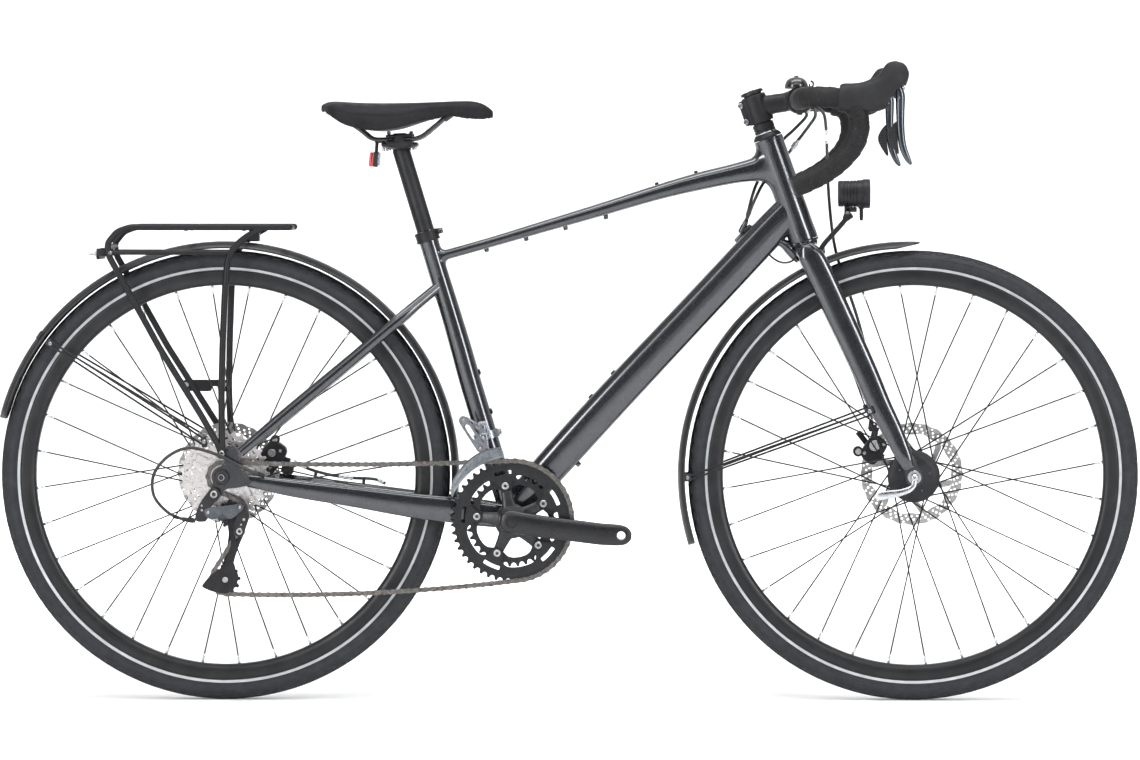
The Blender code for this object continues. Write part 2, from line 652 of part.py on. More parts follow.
def crank_arm(sign, angle):
    """An arm from the spindle to the pedal eye, its outer face rounded."""
    d = Vector((math.cos(math.radians(angle)), 0, math.sin(math.radians(angle))))
    c = Vector((BB_X, 0, BB_Z))
    spots = [(-16, 62, 13, 9), (0, 62.5, 18, 10), (25, 63, 17, 9), (70, 64, 15.5, 7.5), (130, 65.5, 15.2, 6.5),
             (164, 66, 15.8, 6.2), (178, 66, 13.5, 6), (186, 66, 6.5, 5)]
    path = [c + d * s + Vector((0, sign * y, 0)) for s, y, _, _ in spots]
    arm = loft(path, [shape(t, w, 10, 3.0) for _, _, w, t in spots])
    eye = c + d * CRANK_L
    arm = union(arm, rod(c + Vector((0, sign * 44.6, 0)), c + Vector((0, sign * 60, 0)), 18.5, 17, sides=16))
    return arm, rod(eye + Vector((0, -90, 0)), eye + Vector((0, 90, 0)), 7.1, sides=16)


arm, eye_cut = crank_arm(-1, CRANK_ANGLE)
arms = []
for i in range(5):
    a = math.radians(29 + 72 * i)
    c, d = Vector((BB_X, 0, BB_Z)), Vector((math.cos(a), 0, math.sin(a)))
    arms.append(
        loft(
            [c + d * 10 + Vector((0, -51, 0)), c + d * 30 + Vector((0, -48.5, 0)), c + d * 46.5 + Vector((0, -43.6, 0)),
             c + d * 62 + Vector((0, -43.4, 0))],
            [shape(5, 12, 6, 3), shape(4, 8.5, 6, 3), shape(1.4, 7.5, 6, 3), shape(1.35, 7, 6, 3)],
        )
    )
arm = union(arm, *arms, rod((BB_X, -60, BB_Z), (BB_X, 57, BB_Z), 12.0, sides=16))
piece(cut(arm, eye_cut), "crank_right", BLACK_METAL, "crankset")
arm, eye_cut = crank_arm(1, CRANK_ANGLE + 180)
piece(cut(arm, eye_cut, rod((BB_X, 30, BB_Z), (BB_X, 57.4, BB_Z), 12.4, sides=16)), "crank_left", BLACK_METAL, "crankset")


# ---------------------------------------------------------------- chain
def tangent_points(c1, r1, s1, c2, r2, s2):
    """Ends of the straight run that leaves circle 1 and meets circle 2. s is +1 for a clockwise turn."""
    dx, dz = c2[0] - c1[0], c2[1] - c1[1]
    dist = math.hypot(dx, dz)
    base = math.atan2(dz, dx)
    off = math.acos((s1 * r1 - s2 * r2) / dist)
    a = base + off
    n = (math.cos(a), math.sin(a))
    return (c1[0] + s1 * r1 * n[0], c1[1] + s1 * r1 * n[1]), (c2[0] + s2 * r2 * n[0], c2[1] + s2 * r2 * n[1])


def chain_path():
    """The chain's loop: (x, y, z) points and outward directions, round ring, sprocket and both pulleys."""
    wheels = [
        (REAR, pitch_r(11), 1, COG_Y, 8),
        (BB, pitch_r(RING_TEETH), 1, RING_Y, 20),
        (PULLEY_LOW, pitch_r(PULLEY_TEETH), 1, COG_Y, 8),
        (PULLEY_UP, pitch_r(PULLEY_TEETH), -1, COG_Y, 8),
    ]
    runs = []
    for i, (c, r, s, y, n) in enumerate(wheels):
        c2, r2, s2, y2, _ = wheels[(i + 1) % 4]
        runs.append(tangent_points(c, r, s, c2, r2, s2))
    points = []
    for i, (c, r, s, y, n) in enumerate(wheels):
        enter, leave = runs[i - 1][1], runs[i][0]
        a0 = math.atan2(enter[1] - c[1], enter[0] - c[0])
        a1 = math.atan2(leave[1] - c[1], leave[0] - c[0])
        turn = (a0 - a1) % (2 * math.pi) if s > 0 else -((a1 - a0) % (2 * math.pi))
        for k in range(n + 1):
            a = a0 - turn * k / n
            points.append(Vector((c[0] + r * math.cos(a), y, c[1] + r * math.sin(a))))
        # The upper run clears the second sprocket before it slants in, and the lower run hangs a little.
        if i == 0:
            points.append(Vector((-505, y, leave[1] + (runs[0][1][1] - leave[1]) * 0.06)))
        if i == 1:
            start, stop = points[-1], Vector((runs[1][1][0], COG_Y, runs[1][1][1]))
            for k in range(1, 6):
                t = k / 6
                points.append(start.lerp(stop, t) - Vector((0, 0, CHAIN_SAG * 4 * t * (1 - t))))
    return points


path = chain_path()
chain = loft(path, [(-CHAIN_HALF_W, -CHAIN_HALF_H), (CHAIN_HALF_W, -CHAIN_HALF_H), (CHAIN_HALF_W, CHAIN_HALF_H),
                    (-CHAIN_HALF_W, CHAIN_HALF_H)], closed=True, name="chain")
piece(chain, "chain", CHAIN_STEEL)


# ---------------------------------------------------------------- rear derailleur
knuckle_at = (-544.5, 323.5)


def pin_hole(at, r):
    """A cutter along the tilted pins of the parallelogram."""
    at = Vector(at)
    return rod(at - RD_PIN * 30, at + RD_PIN * 30, r, sides=14)


rd_body = rod((knuckle_at[0], -76, knuckle_at[1]), (knuckle_at[0], -88, knuckle_at[1]), 9.5, sides=14)
rd_body = union(
    rd_body,
    plate([[(-552, 329), (-537, 329), (-537, 317), (-546, 309), (-550, 303), (-551.8, 290), (-557, 281.6), (-560, 281.2), (-569, 280.8),
            (-574, 284), (-571, 296), (-564.5, 313)]], -87, -77),
    rod((knuckle_at[0], -66.5, knuckle_at[1]), (knuckle_at[0], -80, knuckle_at[1]), 4.2, sides=12),
    rod((-572, -82, 282), (-590, -82, 289.5), 4.0, sides=10),
)
piece(cut(rd_body, pin_hole(RD_B, 9.2)), "rd_body", GREY_ALLOY)
link = loft(
    [(-556.5, -79, 296), (-549, -79.5, 295.5), (-540, -80, 294.5), (-518, -80, 296), (-511, -79.5, 300), (-503, -79, 302)],
    [shape(4, 4.5, 8, 3), shape(5, 7.0, 8, 3), shape(6.5, 9.2, 8, 3), shape(6.5, 9.2, 8, 3), shape(5, 6.5, 8, 3), shape(4, 4.5, 8, 3)],
    name="link",
)
piece(link, "rd_link", GREY_ALLOY, "rd_link")
knuckle = union(
    rod((RD_C[0], -85, RD_C[2]), (RD_C[0], -67.6, RD_C[2]), 8.2, sides=14),
    plate([[(-513, 305), (-502, 307), (-495, 303), (-490.5, 295), (-490.5, 287), (-495, 274), (-499, 262), (-512, 263),
            (-514, 272), (-513, 281), (-509, 289)]], -86, -73),
)
knuckle = union(knuckle, rod((RD_C[0], -67.0, RD_C[2]), (RD_C[0], -70, RD_C[2]), 3.0, sides=10))
piece(cut(knuckle, pin_hole(RD_P, 9.2)), "rd_knuckle", GREY_ALLOY, "rd_knuckle")
up, low = PULLEY_UP, PULLEY_LOW
outer_plate = [(-497, 272), (-498.7, 263), (-506, 247), (-512, 230), (-516.5, 215), (-516, 206), (-511, 200), (-510.5, 189),
               (-515, 177.5), (-522, 170.8), (-531, 168.4), (-549, 172), (-564, 178.5), (-565, 182), (-552.5, 197),
               (-540.5, 205.5), (-532, 210), (-524, 233), (-519, 247), (-524, 272), (-527, 290), (-518, 300), (-509, 292)]
inner_plate = [(-502, 272), (-504, 258), (-512, 238), (-517, 215), (-518, 203), (-519, 190), (-522, 181), (-532, 179),
               (-541, 186), (-540, 198), (-533, 215), (-527, 240), (-524, 262), (-528, 284), (-526, 296), (-518, 301),
               (-509, 297), (-506, 286)]
cage = union(
    plate([outer_plate], -66.6, -64.9),
    plate([inner_plate], -57.3, -55.8),
    rod((up[0], -65.5, up[1]), (up[0], -56.4, up[1]), 3.0, sides=10),
    rod((low[0], -65.5, low[1]), (low[0], -56.4, low[1]), 3.0, sides=10),
)
piece(cage, "rd_cage", GREY_ALLOY, "rd_cage")
pulley_r = pitch_r(PULLEY_TEETH) - CHAIN_HALF_H - GAP
for centre, name in ((up, "rd_upper_pulley"), (low, "rd_lower_pulley")):
    piece(
        turned(centre, [(pulley_r, COG_Y - 1.1), (pulley_r, COG_Y + 1.1), (8, COG_Y + 2.6), (3.4, COG_Y + 2.6),
                        (3.4, COG_Y - 2.6), (8, COG_Y - 2.6)], 18),
        name, BLACK_PLASTIC, name,
    )

# ---------------------------------------------------------------- front derailleur
fd_low, fd_high = on_seat(404), on_seat(417)
fd_body = ring_on_axis(fd_low, fd_high, 18.6, SEAT_TUBE_R + 0.3, 20, "fd_body")
fd_body = union(
    fd_body,
    box((-128, -20.5, 411), (15, 11, 12), turn=17, bevel=1.5),
    box((-133, -25.2, 423), (15, 4.6, 20), turn=17),
    box((-108.3, 3, 416.5), (7, 12, 9), turn=17),
)
fd_body = cut(fd_body, rod(on_seat(380), on_seat(440), SEAT_TUBE_R + 0.3, sides=20))
piece(fd_body, "fd_body", GREY_ALLOY)


def sector(r0, r1, a0, a1, count, y0, y1):
    return plate([circle(BB, r1, count, a0, a1) + circle(BB, r0, count, a1, a0)], y0, y1)


fd_cage = union(
    sector(95.5, 115, 97, 158, 8, -54.4, -53.0),
    sector(90, 117, 99, 155, 8, -42.6, -41.2),
    sector(112.2, 116.5, 99.5, 116, 4, -53.6, -41.6),
    sector(99, 113.5, 152, 154.6, 3, -53.6, -41.6),
    box((-133.5, -33.4, 420), (11, 8, 28), turn=8, bevel=1.5),
    box((-129.5, -38.4, 399), (12, 8, 34), turn=8, bevel=1.5),
    box((-149, -35.0, 430), (30, 6, 10), turn=-32),
)
piece(fd_cage, "fd_cage", GREY_ALLOY, "fd_cage")


# ---------------------------------------------------------------- calipers
def caliper(centre, at, angle, rotor_y, y_in, y_out, arm_at, which, body, posts):
    """A single-piece caliper with a slot for the rotor, and a cable arm on its outer side."""
    block = box((at[0], (y_in + y_out) / 2, at[1]), (46, y_out - y_in, 34), turn=angle, bevel=4)
    slot = turned(centre, [(20, rotor_y - 2.2), (20, rotor_y + 2.2), (ROTOR_R + 2.5, rotor_y + 2.2), (ROTOR_R + 2.5, rotor_y - 2.2)], 40)
    block = union(block, *posts)
    block = cut(block, slot)
    piece(block, which + "_caliper", BLACK_METAL, body)


front_posts = [
    rod((462, 54, 408), (467, 54, 428), 5, sides=10),
    box((455, 49, 381), (22, 18, 16), turn=20, bevel=2),
]
caliper(FRONT, (466, 396), 50, 39.6, 26.5, 60.5, FRONT_ARM, "front", "fork", front_posts)
rear_posts = [rod((-452, 56, 372), (-432, 56, 366), 5, sides=10)]
caliper(REAR, (-461, 377.5), 55, 50.4, 38.5, 64.5, REAR_ARM, "rear", None, rear_posts)
front_arm = union(
    rod((FRONT_ARM[0], 61.2, FRONT_ARM[2]), (FRONT_ARM[0], 66.5, FRONT_ARM[2]), 9, sides=14),
    box((460.5, 64, 400), (34, 4, 9), turn=128, bevel=1),
)
piece(front_arm, "front_caliper_arm", BLACK_METAL, "front_caliper_arm")
rear_arm = union(
    rod((REAR_ARM[0], 65.2, REAR_ARM[2]), (REAR_ARM[0], 70.5, REAR_ARM[2]), 8.5, sides=14),
    box((-461, 68, 383), (26, 4, 8), turn=66, bevel=1),
)
piece(rear_arm, "rear_caliper_arm", BLACK_METAL, "rear_caliper_arm")


# ---------------------------------------------------------------- mudguards
def fender_profile():
    """The open C section, its lips turned towards the tyre."""
    w, d = FENDER_HALF_W, FENDER_DEPTH
    return [(FENDER_R - d, -w), (FENDER_R - 4.0, -w + 1.5), (FENDER_R - 0.8, -w * 0.45), (FENDER_R - 0.8, w * 0.45),
            (FENDER_R - 4.0, w - 1.5), (FENDER_R - d, w)]


def stay(p, q, r=1.9):
    return rod(p, q, r, sides=6)


rear_fender = turned(REAR, fender_profile(), 24, start=-8, sweep=173.7, closed=False, thick=FENDER_T)
bracket = [box((-820.1, 0, 566.5), (9, 2 * FENDER_HALF_W, 5), turn=53)]
for sign in (-1, 1):
    lug = Vector((-803, sign * 25.5, 553.5))
    bracket.append(box(lug + Vector((-3, 0, 2.3)), (34, 5, 9), turn=-37, bevel=1))
    bracket.append(stay(lug + Vector((2, sign * 0.5, 1)), (-560, sign * 78.5, 408.5)))
    bracket.append(stay(lug + Vector((-4, sign * 0.5, -5)), (-562, sign * 78.5, 399.5)))
    bracket.append(box((-560, sign * 78.2, 402), (12, 4, 14), turn=-37, bevel=1))
rear_fender = union(rear_fender, *bracket)
piece(rear_fender, "rear_fender", FENDER_PLASTIC)

front_fender = turned(FRONT, fender_profile(), 15, start=93.6, sweep=103.8, closed=False, thick=FENDER_T)
tongue = []
for a, w in ((88.3, 3.0), (90.0, 11), (92.5, 18), (95.5, 21.5)):
    r = FENDER_R - 1.4
    tongue.append((Vector((AXLE_X + r * math.cos(math.radians(a)), 0, AXLE_Z + r * math.sin(math.radians(a)))), w))
tongue_piece = loft([p for p, _ in tongue], [[(-w, -0.8), (w, -0.8), (w, 0.8), (-w, 0.8)] for _, w in tongue])
bracket = [tongue_piece, box((176.5, 0, 347), (6, 2 * FENDER_HALF_W + 1, 9), turn=0)]
for sign in (-1, 1):
    bracket.append(box((184, sign * 25.5, 346.5), (22, 5, 11), turn=4, bevel=1))
    bracket.append(stay((188, sign * 26, 349.5), (464, sign * 62.9, 454.5)))
    bracket.append(stay((188, sign * 26, 344), (464, sign * 62.9, 448)))
    bracket.append(box((464, sign * 63.2, 451), (10, 4, 14), turn=20, bevel=1))
front_fender = union(front_fender, *bracket)
piece(front_fender, "front_fender", FENDER_PLASTIC, "fork")


# ---------------------------------------------------------------- rear rack
def make_rack():
    tube_r = 4.2
    parts = []
    for sign in (-1, 1):
        back = 0 if sign < 0 else 6.0  # the left struts sit a little further back, behind the brake
        parts.append(
            tube([(-432.5, sign * 38, 733), (-428.5, sign * 48, 733), (-437, sign * 53, 733), (-676, sign * 53, 733),
                  (-696, sign * 53, 726), (-710, sign * 53, 708), (-707 - back, sign * 54, 690),
                  (-625 - back, sign * 60, 547.5), (-566 - back, sign * 68, 447), (-538, sign * 80, 399), (-534, sign * 81, 388)],
                 tube_r, resolution=1, name="rail")
        )
        parts.append(
            tube([(-476, sign * 53, 731), (-492 - back, sign * 53.5, 721), (-505 - back, sign * 54, 711),
                  (-515 - back, sign * 55, 700), (-523 - back, sign * 56.5, 683), (-525.7 - back, sign * 58, 636),
                  (-528.8 - back, sign * 66, 477), (-530.5, sign * 80, 405), (-531, sign * 81, 388)], tube_r, resolution=1, name="strut")
        )
        parts.append(tube([(-706, sign * 54, 695), (-519 - back, sign * 55.5, 694.6)], 3.4, resolution=1, name="side_rail"))
        parts.append(box((-532.5, sign * 81, 386), (12, 6.5, 18), turn=0, bevel=2.0))
    parts.append(plate([[(-608, 477), (-610, 494.5), (-532, 494.5), (-532, 476), (-551, 476), (-552, 484), (-560, 484), (-562, 476)]], 63, 67))
    parts.append(tube([(-432.5, -40, 733), (-432.5, 40, 733)], tube_r, resolution=1, name="front_bar"))
    for x in (-500, -590):
        parts.append(tube([(x, -54, 733), (x, 54, 733)], 3.6, resolution=1, name="cross"))
    parts.append(tube([(-709.5, -55, 704), (-709.5, 55, 704)], 3.6, resolution=1, name="rear_bar"))
    parts.append(tube([(-496, 0, 733), (-594, 0, 733)], 3.6, resolution=1, name="spine"))
    parts.append(box((-727, 0, 692.5), (4, 84, 15), turn=0, bevel=0.8))
    parts.append(box((-717, 0, 699), (20, 30, 5), turn=14, bevel=0.8))
    for sign in (-1, 1):
        parts.append(rod((-727, sign * 34, 692.5), (-742, sign * 34, 692.5), 5.5, sides=10))
    parts.append(box((-488, 0, 722), (16, 20, 21), turn=0, bevel=1))
    rack = parts[0]
    return union(rack, *parts[1:])


piece(make_rack(), "rear_rack", BLACK_POWDER)

# ---------------------------------------------------------------- seatpost and saddle
post_top = on_seat(855.0)
seatpost = rod(on_seat(588), post_top, SEATPOST_R, sides=24)
seatpost = union(
    seatpost,
    loft([(-290, 0, 862), (-276, 0, 860.5), (-262, 0, 859), (-248, 0, 860.5), (-234, 0, 862)],
         [shape(27, 3, 8, 4), shape(28, 5.5, 8, 4), shape(28, 6.5, 8, 4), shape(28, 5.5, 8, 4), shape(27, 3, 8, 4)]),
    box((-262, 0, 869), (44, 32, 22), turn=3, bevel=2),
    box((-262, 0, 877.8), (48, 58, 4.2), turn=5, bevel=1.5),
)
piece(seatpost, "seatpost", BLACK_METAL, "seatpost")

SADDLE = [  # x, half width, top, lower edge
    (-384.5, 22, 923.0, 914), (-379, 44, 928.0, 911.5), (-368, 60, 929.0, 908.5), (-357, 67, 928.5, 898), (-342, 73, 927.5, 890.5),
    (-318, 76, 926.3, 885), (-290, 71, 926.0, 882.5), (-262, 58, 926.4, 886), (-236, 43, 927.3, 894.5),
    (-212, 32, 928.6, 902), (-184, 25.5, 929.8, 908.5), (-162, 21.5, 930, 904), (-140, 17, 926.5, 903.2),
    (-126, 11, 917.5, 903.8), (-121, 5, 911.5, 905.5),
]


def saddle_section(w, top, low):
    """Half crowned skin and hollow underside, mirrored about the middle."""
    wall = min(7.0, w * 0.3)
    roof = max(low + 2.0, top - 20 if w > 20 else top - 0.55 * (top - low))
    right = [(w * 0.35, top), (w * 0.72, top - 2.2), (w * 0.94, top - 8 if top - 8 > low + 3 else (top + low) / 2),
             (w, low + (top - low) * 0.2), (w - wall * 0.4, low), (w - wall, low + 1.0), (w * 0.62, min(roof, top - 6))]
    return right + [(-u, v) for u, v in reversed(right)]


def saddle_loft(spots):
    bm = bmesh.new()
    rings = [[bm.verts.new((x, u, v)) for u, v in section] for x, section in spots]
    n = len(rings[0])
    for a, b in zip(rings, rings[1:]):
        for j in range(n):
            k = (j + 1) % n
            bm.faces.new((a[j], a[k], b[k], b[j]))
    bm.faces.new(rings[0])
    bm.faces.new(rings[-1])
    outwards(bm)
    return put("saddle", bm)


piece(
    saddle_loft([(x, saddle_section(w, t, b)) for x, w, t, b in SADDLE]), "saddle_cover", SADDLE_SKIN, "seatpost",
    origin=(-262, 0, 905),
)


def base_section(w, top, low):
    wall = min(7.0, w * 0.3)
    roof = max(low + 2.0, top - 20 if w > 20 else top - 0.55 * (top - low))
    roof = min(roof, top - 6)
    hw = max(w * 0.62 - 2.0, 3.0)
    return [(hw, roof - 0.6), (hw, roof - 3.8), (-hw, roof - 3.8), (-hw, roof - 0.6)]


base = saddle_loft([(x, base_section(w, t, b)) for x, w, t, b in SADDLE[2:13]])
for sign in (-1, 1):
    rail = [(-345, sign * 31, 903), (-335, sign * 28, 893), (-321, sign * 25, 883.5), (-307, sign * 22.6, 871.5),
            (-298, sign * 22, 869.2), (-238, sign * 22, 870), (-226, sign * 21, 874.5), (-203, sign * 17, 893.5), (-188, sign * 13, 907)]
    base = union(base, tube(rail, 3.5, resolution=1, name="rail"))
piece(base, "saddle_base", BLACK_PLASTIC, "seatpost", origin=(-262, 0, 890))

reflector = union(
    box((-298.5, 0, 854.5), (5, 10, 25), turn=-4, bevel=1),
    box((-293.2, 0, 866), (16, 10, 4), turn=-6),
    box((-300.5, 0, 838.5), (17, 36, 24), turn=-4, bevel=3),
)
reflector = cut(reflector, rod(on_seat(800), on_seat(900), SEATPOST_R + 0.4, sides=20),
                loft([(-290, 0, 862), (-276, 0, 860.5), (-262, 0, 859), (-248, 0, 860.5)],
                     [shape(28, 3.4, 8, 4), shape(28.5, 5.9, 8, 4), shape(28.5, 6.9, 8, 4), shape(28.5, 6, 8, 4)]))
piece(reflector, "rear_reflector", REFLECTOR, "seatpost", origin=(-300, 0, 840))


# ---------------------------------------------------------------- fork and what it carries
def make_fork():
    crown = Vector((368.0, 0, 697.2))
    bottom = Vector((HEAD_BOTTOM[0], 0, HEAD_BOTTOM[1]))
    fork = rod(bottom - HEAD_DIR * 16, on_head(72), STEERER_R, sides=24, name="fork")
    fork = union(
        fork,
        rod(bottom - HEAD_DIR * 14, bottom - HEAD_DIR * 0.6, 17, 22.5, sides=24),
        loft([crown + Vector((1, -34, -1)), crown + Vector((0, -20, 0)), crown, crown + Vector((0, 20, 0)), crown + Vector((1, 34, -1))],
             [shape(15, 12, 12, 2.4), shape(17, 14, 12, 2.2), shape(18, 14.4, 12, 2.2), shape(17, 14, 12, 2.2), shape(15, 12, 12, 2.4)],
             lateral=(1, 0, 0)),
    )
    for sign in (-1, 1):
        spots = [((364, 36, 708), 9.5, 12), ((371, 37.5, 694), 10.5, 17.5), ((380, 39, 677), 10.8, 18.5), ((415, 43.5, 601.5), 10.0, 17.0),
                 ((460, 49.5, 504), 9.2, 14.5), ((500, 54.8, 417), 8.0, 12.5), ((518.5, 57.2, 377), 7.0, 11.5), ((526.5, 57.4, 358.5), 5, 8.3)]
        leg = loft([(x, sign * y, z) for (x, y, z), _, _ in spots], [shape(w, h, 12, 2.3) for _, w, h in spots])
        tab = plate([[(513, 374), (519, 331), (533, 327.5), (548, 334), (553, 349), (548, 364), (531.5, 385)]], sign * 50.4, sign * 56.4)
        fork = union(fork, leg, tab)
    fork = cut(
        fork,
        rod((AXLE_X, -80, AXLE_Z), (AXLE_X, 80, AXLE_Z), 5.4, sides=16),
    )
    return fork


piece(make_fork(), "fork", PAINT, "fork")

piece(
    (lambda low, high: union(
        ring_on_axis(low, high, 16.6, STEERER_R + 0.35, 20, "headset_spacers"),
        cut(rod(on_head(0.6), on_head(9), 22.5, 18.5, sides=20), rod(on_head(-5), on_head(20), STEERER_R + 0.35, sides=20)),
    ))(on_head(6), on_head(26.5)),
    "headset_spacers", BLACK_METAL, "fork",
)


def make_stem():
    bar = Vector((BAR_X, 0, BAR_Z))
    stem = union(
        rod(on_head(27), on_head(69.5), 18.5, sides=20, name="stem"),
        loft([on_head(49, 4), on_head(48, 20), on_head(44, 44), bar - Vector((8, 0, -2))],
             [shape(16, 16, 10, 2.6), shape(15, 15, 10, 2.6), shape(15.5, 14.5, 10, 2.6), shape(18, 15, 10, 3)]),
        rod(bar - Vector((0, 24, 0)), bar + Vector((0, 24, 0)), 21, sides=20),
        box(on_head(48, -17), (10, 22, 38), turn=19.5, bevel=2.5),
        rod(on_head(61, -26), on_head(61, -18), 3.6, sides=8),
        rod(on_head(35, -26), on_head(35, -18), 3.6, sides=8),
    )
    return cut(
        stem,
        rod(on_head(20), on_head(75), STEERER_R + 0.35, sides=20),
        rod(bar - Vector((0, 40, 0)), bar + Vector((0, 40, 0)), BAR_CLAMP_R + 0.35, sides=20),
    )


piece(make_stem(), "stem", BLACK_METAL, "fork")
piece(
    union(rod(on_head(72.6), on_head(77.5), 18, 16.5, sides=20), rod(on_head(76), on_head(79), 5, sides=10)),
    "top_cap", BLACK_METAL, "fork",
)


def bar_half(sign):
    """Centre line of one side of the drop bar, from the stem outwards."""
    return [(BAR_X, sign * 28, BAR_Z), (BAR_X, sign * 36, BAR_Z), (BAR_X, sign * 46, BAR_Z), (BAR_X, sign * 72, BAR_Z),
            (BAR_X, sign * 72.8, BAR_Z), (357, sign * 160, 930.5), (361, sign * 180, 931),
            (372, sign * 196, 931.5), (388, sign * 204, 931.5), (408, sign * 206, 930), (424, sign * 206.5, 926),
            (436, sign * 207, 916), (441.5, sign * 207.5, 902), (442.5, sign * 208, 886), (439.5, sign * 209, 870),
            (432, sign * 210.5, 855), (419, sign * 212.5, 839.5), (403, sign * 214.5, 825.5), (385, sign * 216.5, 813.8),
            (366, sign * 218.2, 804.5), (343.6, sign * 219.8, 794.6)]


def bar_radii():
    return [BAR_CLAMP_R, BAR_CLAMP_R, BAR_R, BAR_R] + [TAPE_R] * 16 + [TAPE_R - 1]


left, right = bar_half(1), bar_half(-1)
piece(tube(right[::-1] + left, TAPE_R, radii=bar_radii()[::-1] + bar_radii(), resolution=3, name="handlebar"), "handlebar", BAR_TAPE, "fork")


def make_hood(sign):
    y = sign * HOOD_Y
    spots = [((419, 929.2), 18.8, 23), ((434, 930), 19, 22.5), ((452, 931), 18, 24), ((469, 935.5), 17, 25.5),
             ((483, 944.5), 16, 24), ((493, 955.5), 15, 22), ((499, 966), 14.5, 22.3), ((502.5, 976), 13, 20.5), ((505, 983.5), 8, 12)]
    hood = loft([(x, y, z) for (x, z), _, _ in spots], [shape(w, h, 12, 2.3) for _, w, h in spots], name="hood")
    wrap = tube([p for p in bar_half(sign)[7:18]], TAPE_R + 1.0, resolution=4, name="wrap")
    return cut(hood, wrap, box((506, y, 915), (46, 60, 72.5), turn=0))


def make_lever(sign):
    y = sign * HOOD_Y
    spots = [((497, 947.5), 8.0, 3.5), ((504, 942.5), 8.5, 6.3), ((506.5, 930), 8.0, 6.5), ((506.5, 905), 7.0, 6.3), ((507.5, 878), 6.5, 6.0),
             ((510.5, 856), 6.0, 5.8), ((516, 840), 5.5, 5.0), ((521.5, 830.5), 4.0, 3.0)]
    lever = loft([(x, y, z) for (x, z), _, _ in spots], [shape(w, h, 10, 2.4) for _, w, h in spots], name="lever")
    knuckle_piece = rod((LEVER_PIVOT[0], y - 8, LEVER_PIVOT[1]), (LEVER_PIVOT[0], y + 8, LEVER_PIVOT[1]), 5.5, sides=14)
    web = box((499, y, 936), (14, 14, 9), turn=0, bevel=1)
    return union(lever, knuckle_piece, web)


PADDLE = [(498.6, 896), (491, 887), (485.5, 876), (487, 866), (494, 854), (500, 845), (503.3, 846), (501.2, 860), (500, 875), (499.2, 890)]
for side, sign in (("right", -1), ("left", 1)):
    piece(make_hood(sign), "hood_" + side, SOFT_RUBBER, "fork", origin=(460, sign * HOOD_Y, 932))
    piece(make_lever(sign), "brake_lever_" + side, LEVER_GREY, "brake_lever_" + side)
    centre_y = sign * (HOOD_Y - 2)
    piece(plate([PADDLE], centre_y - 1.6, centre_y + 1.6), "shift_paddle_" + side, BLACK_PLASTIC, "shift_paddle_" + side)

# Bell: a clamp on the bar, a base and a dome, with a sprung striker.
bell = union(
    ring_on_axis((BAR_X, BELL_Y - 5, BAR_Z), (BAR_X, BELL_Y + 5, BAR_Z), BAR_R + 3.4, BAR_R + 0.4, 20, "bell"),
    rod((BAR_X - 1, BELL_Y, BAR_Z + 14), (BAR_X - 2, BELL_Y, 950), 6, sides=12),
)


def upright(profile, at, steps=20):
    """A turned shape about the vertical through at, from (radius, height) points."""
    obj = turned((0, 0), profile, steps, closed=False)
    obj.data.transform(Matrix.Translation(Vector(at) * MM) @ Matrix.Rotation(math.pi / 2, 4, "X"))
    return obj


dome = upright([(0, 0), (17.2, 0), (18.0, 3), (16.6, 10), (11, 15.5), (4.5, 17.8), (0, 18)], (BAR_X - 3.0, BELL_Y, 948.5), 16)
piece(union(bell, dome), "bell", BLACK_METAL, "fork", origin=(BAR_X, BELL_Y, BAR_Z))
striker = union(
    box((373.4, BELL_Y, 953.5), (2.2, 7, 8), turn=-8, bevel=0.5),
    rod((374.3, BELL_Y, 957), (372.6, BELL_Y, 957.3), 2.6, sides=10),
)
piece(striker, "bell_striker", SILVER, "bell_striker")

# Headlight on a bent strip from the crown.
lamp_bracket = loft(
    [(388.8, 0, 689), (389.0, 0, 700), (392, 0, 706.5), (398, 0, 712.5), (410, 0, 721.5), (422, 0, 733.5), (429.5, 0, 746.5)],
    [[(-7, -2.0), (7, -2.0), (7, 2.0), (-7, 2.0)]] * 5 + [[(-6.5, -2.2), (6.5, -2.2), (6.5, 2.2), (-6.5, 2.2)]] * 2,
)
fork_bolt = rod((386.6, 0, 697), (393, 0, 697), 4.5, sides=10)
ears = [box((LAMP_PIVOT[0] - 1.6, s * 6.2, LAMP_PIVOT[1] - 5), (24, 2.6, 12), turn=60) for s in (-1, 1)]
piece(union(lamp_bracket, fork_bolt, *ears), "headlight_bracket", BLACK_METAL, "fork", origin=(387, 0, 697))
lamp = rod((417, 0, 785.5), (456, 0, 785.5), 20.0, 21.2, sides=20)
lamp = union(
    lamp,
    rod((455, 0, 785.5), (466.5, 0, 785.5), 22.2, 22.6, sides=20),
    box((LAMP_PIVOT[0], 0, LAMP_PIVOT[1] + 4), (9, 8.6, 17), turn=0, bevel=1),
    rod((453, 0, 766), (453, 0, 744), 3.0, sides=10),
)
piece(lamp, "headlight", BLACK_PLASTIC, "headlight")

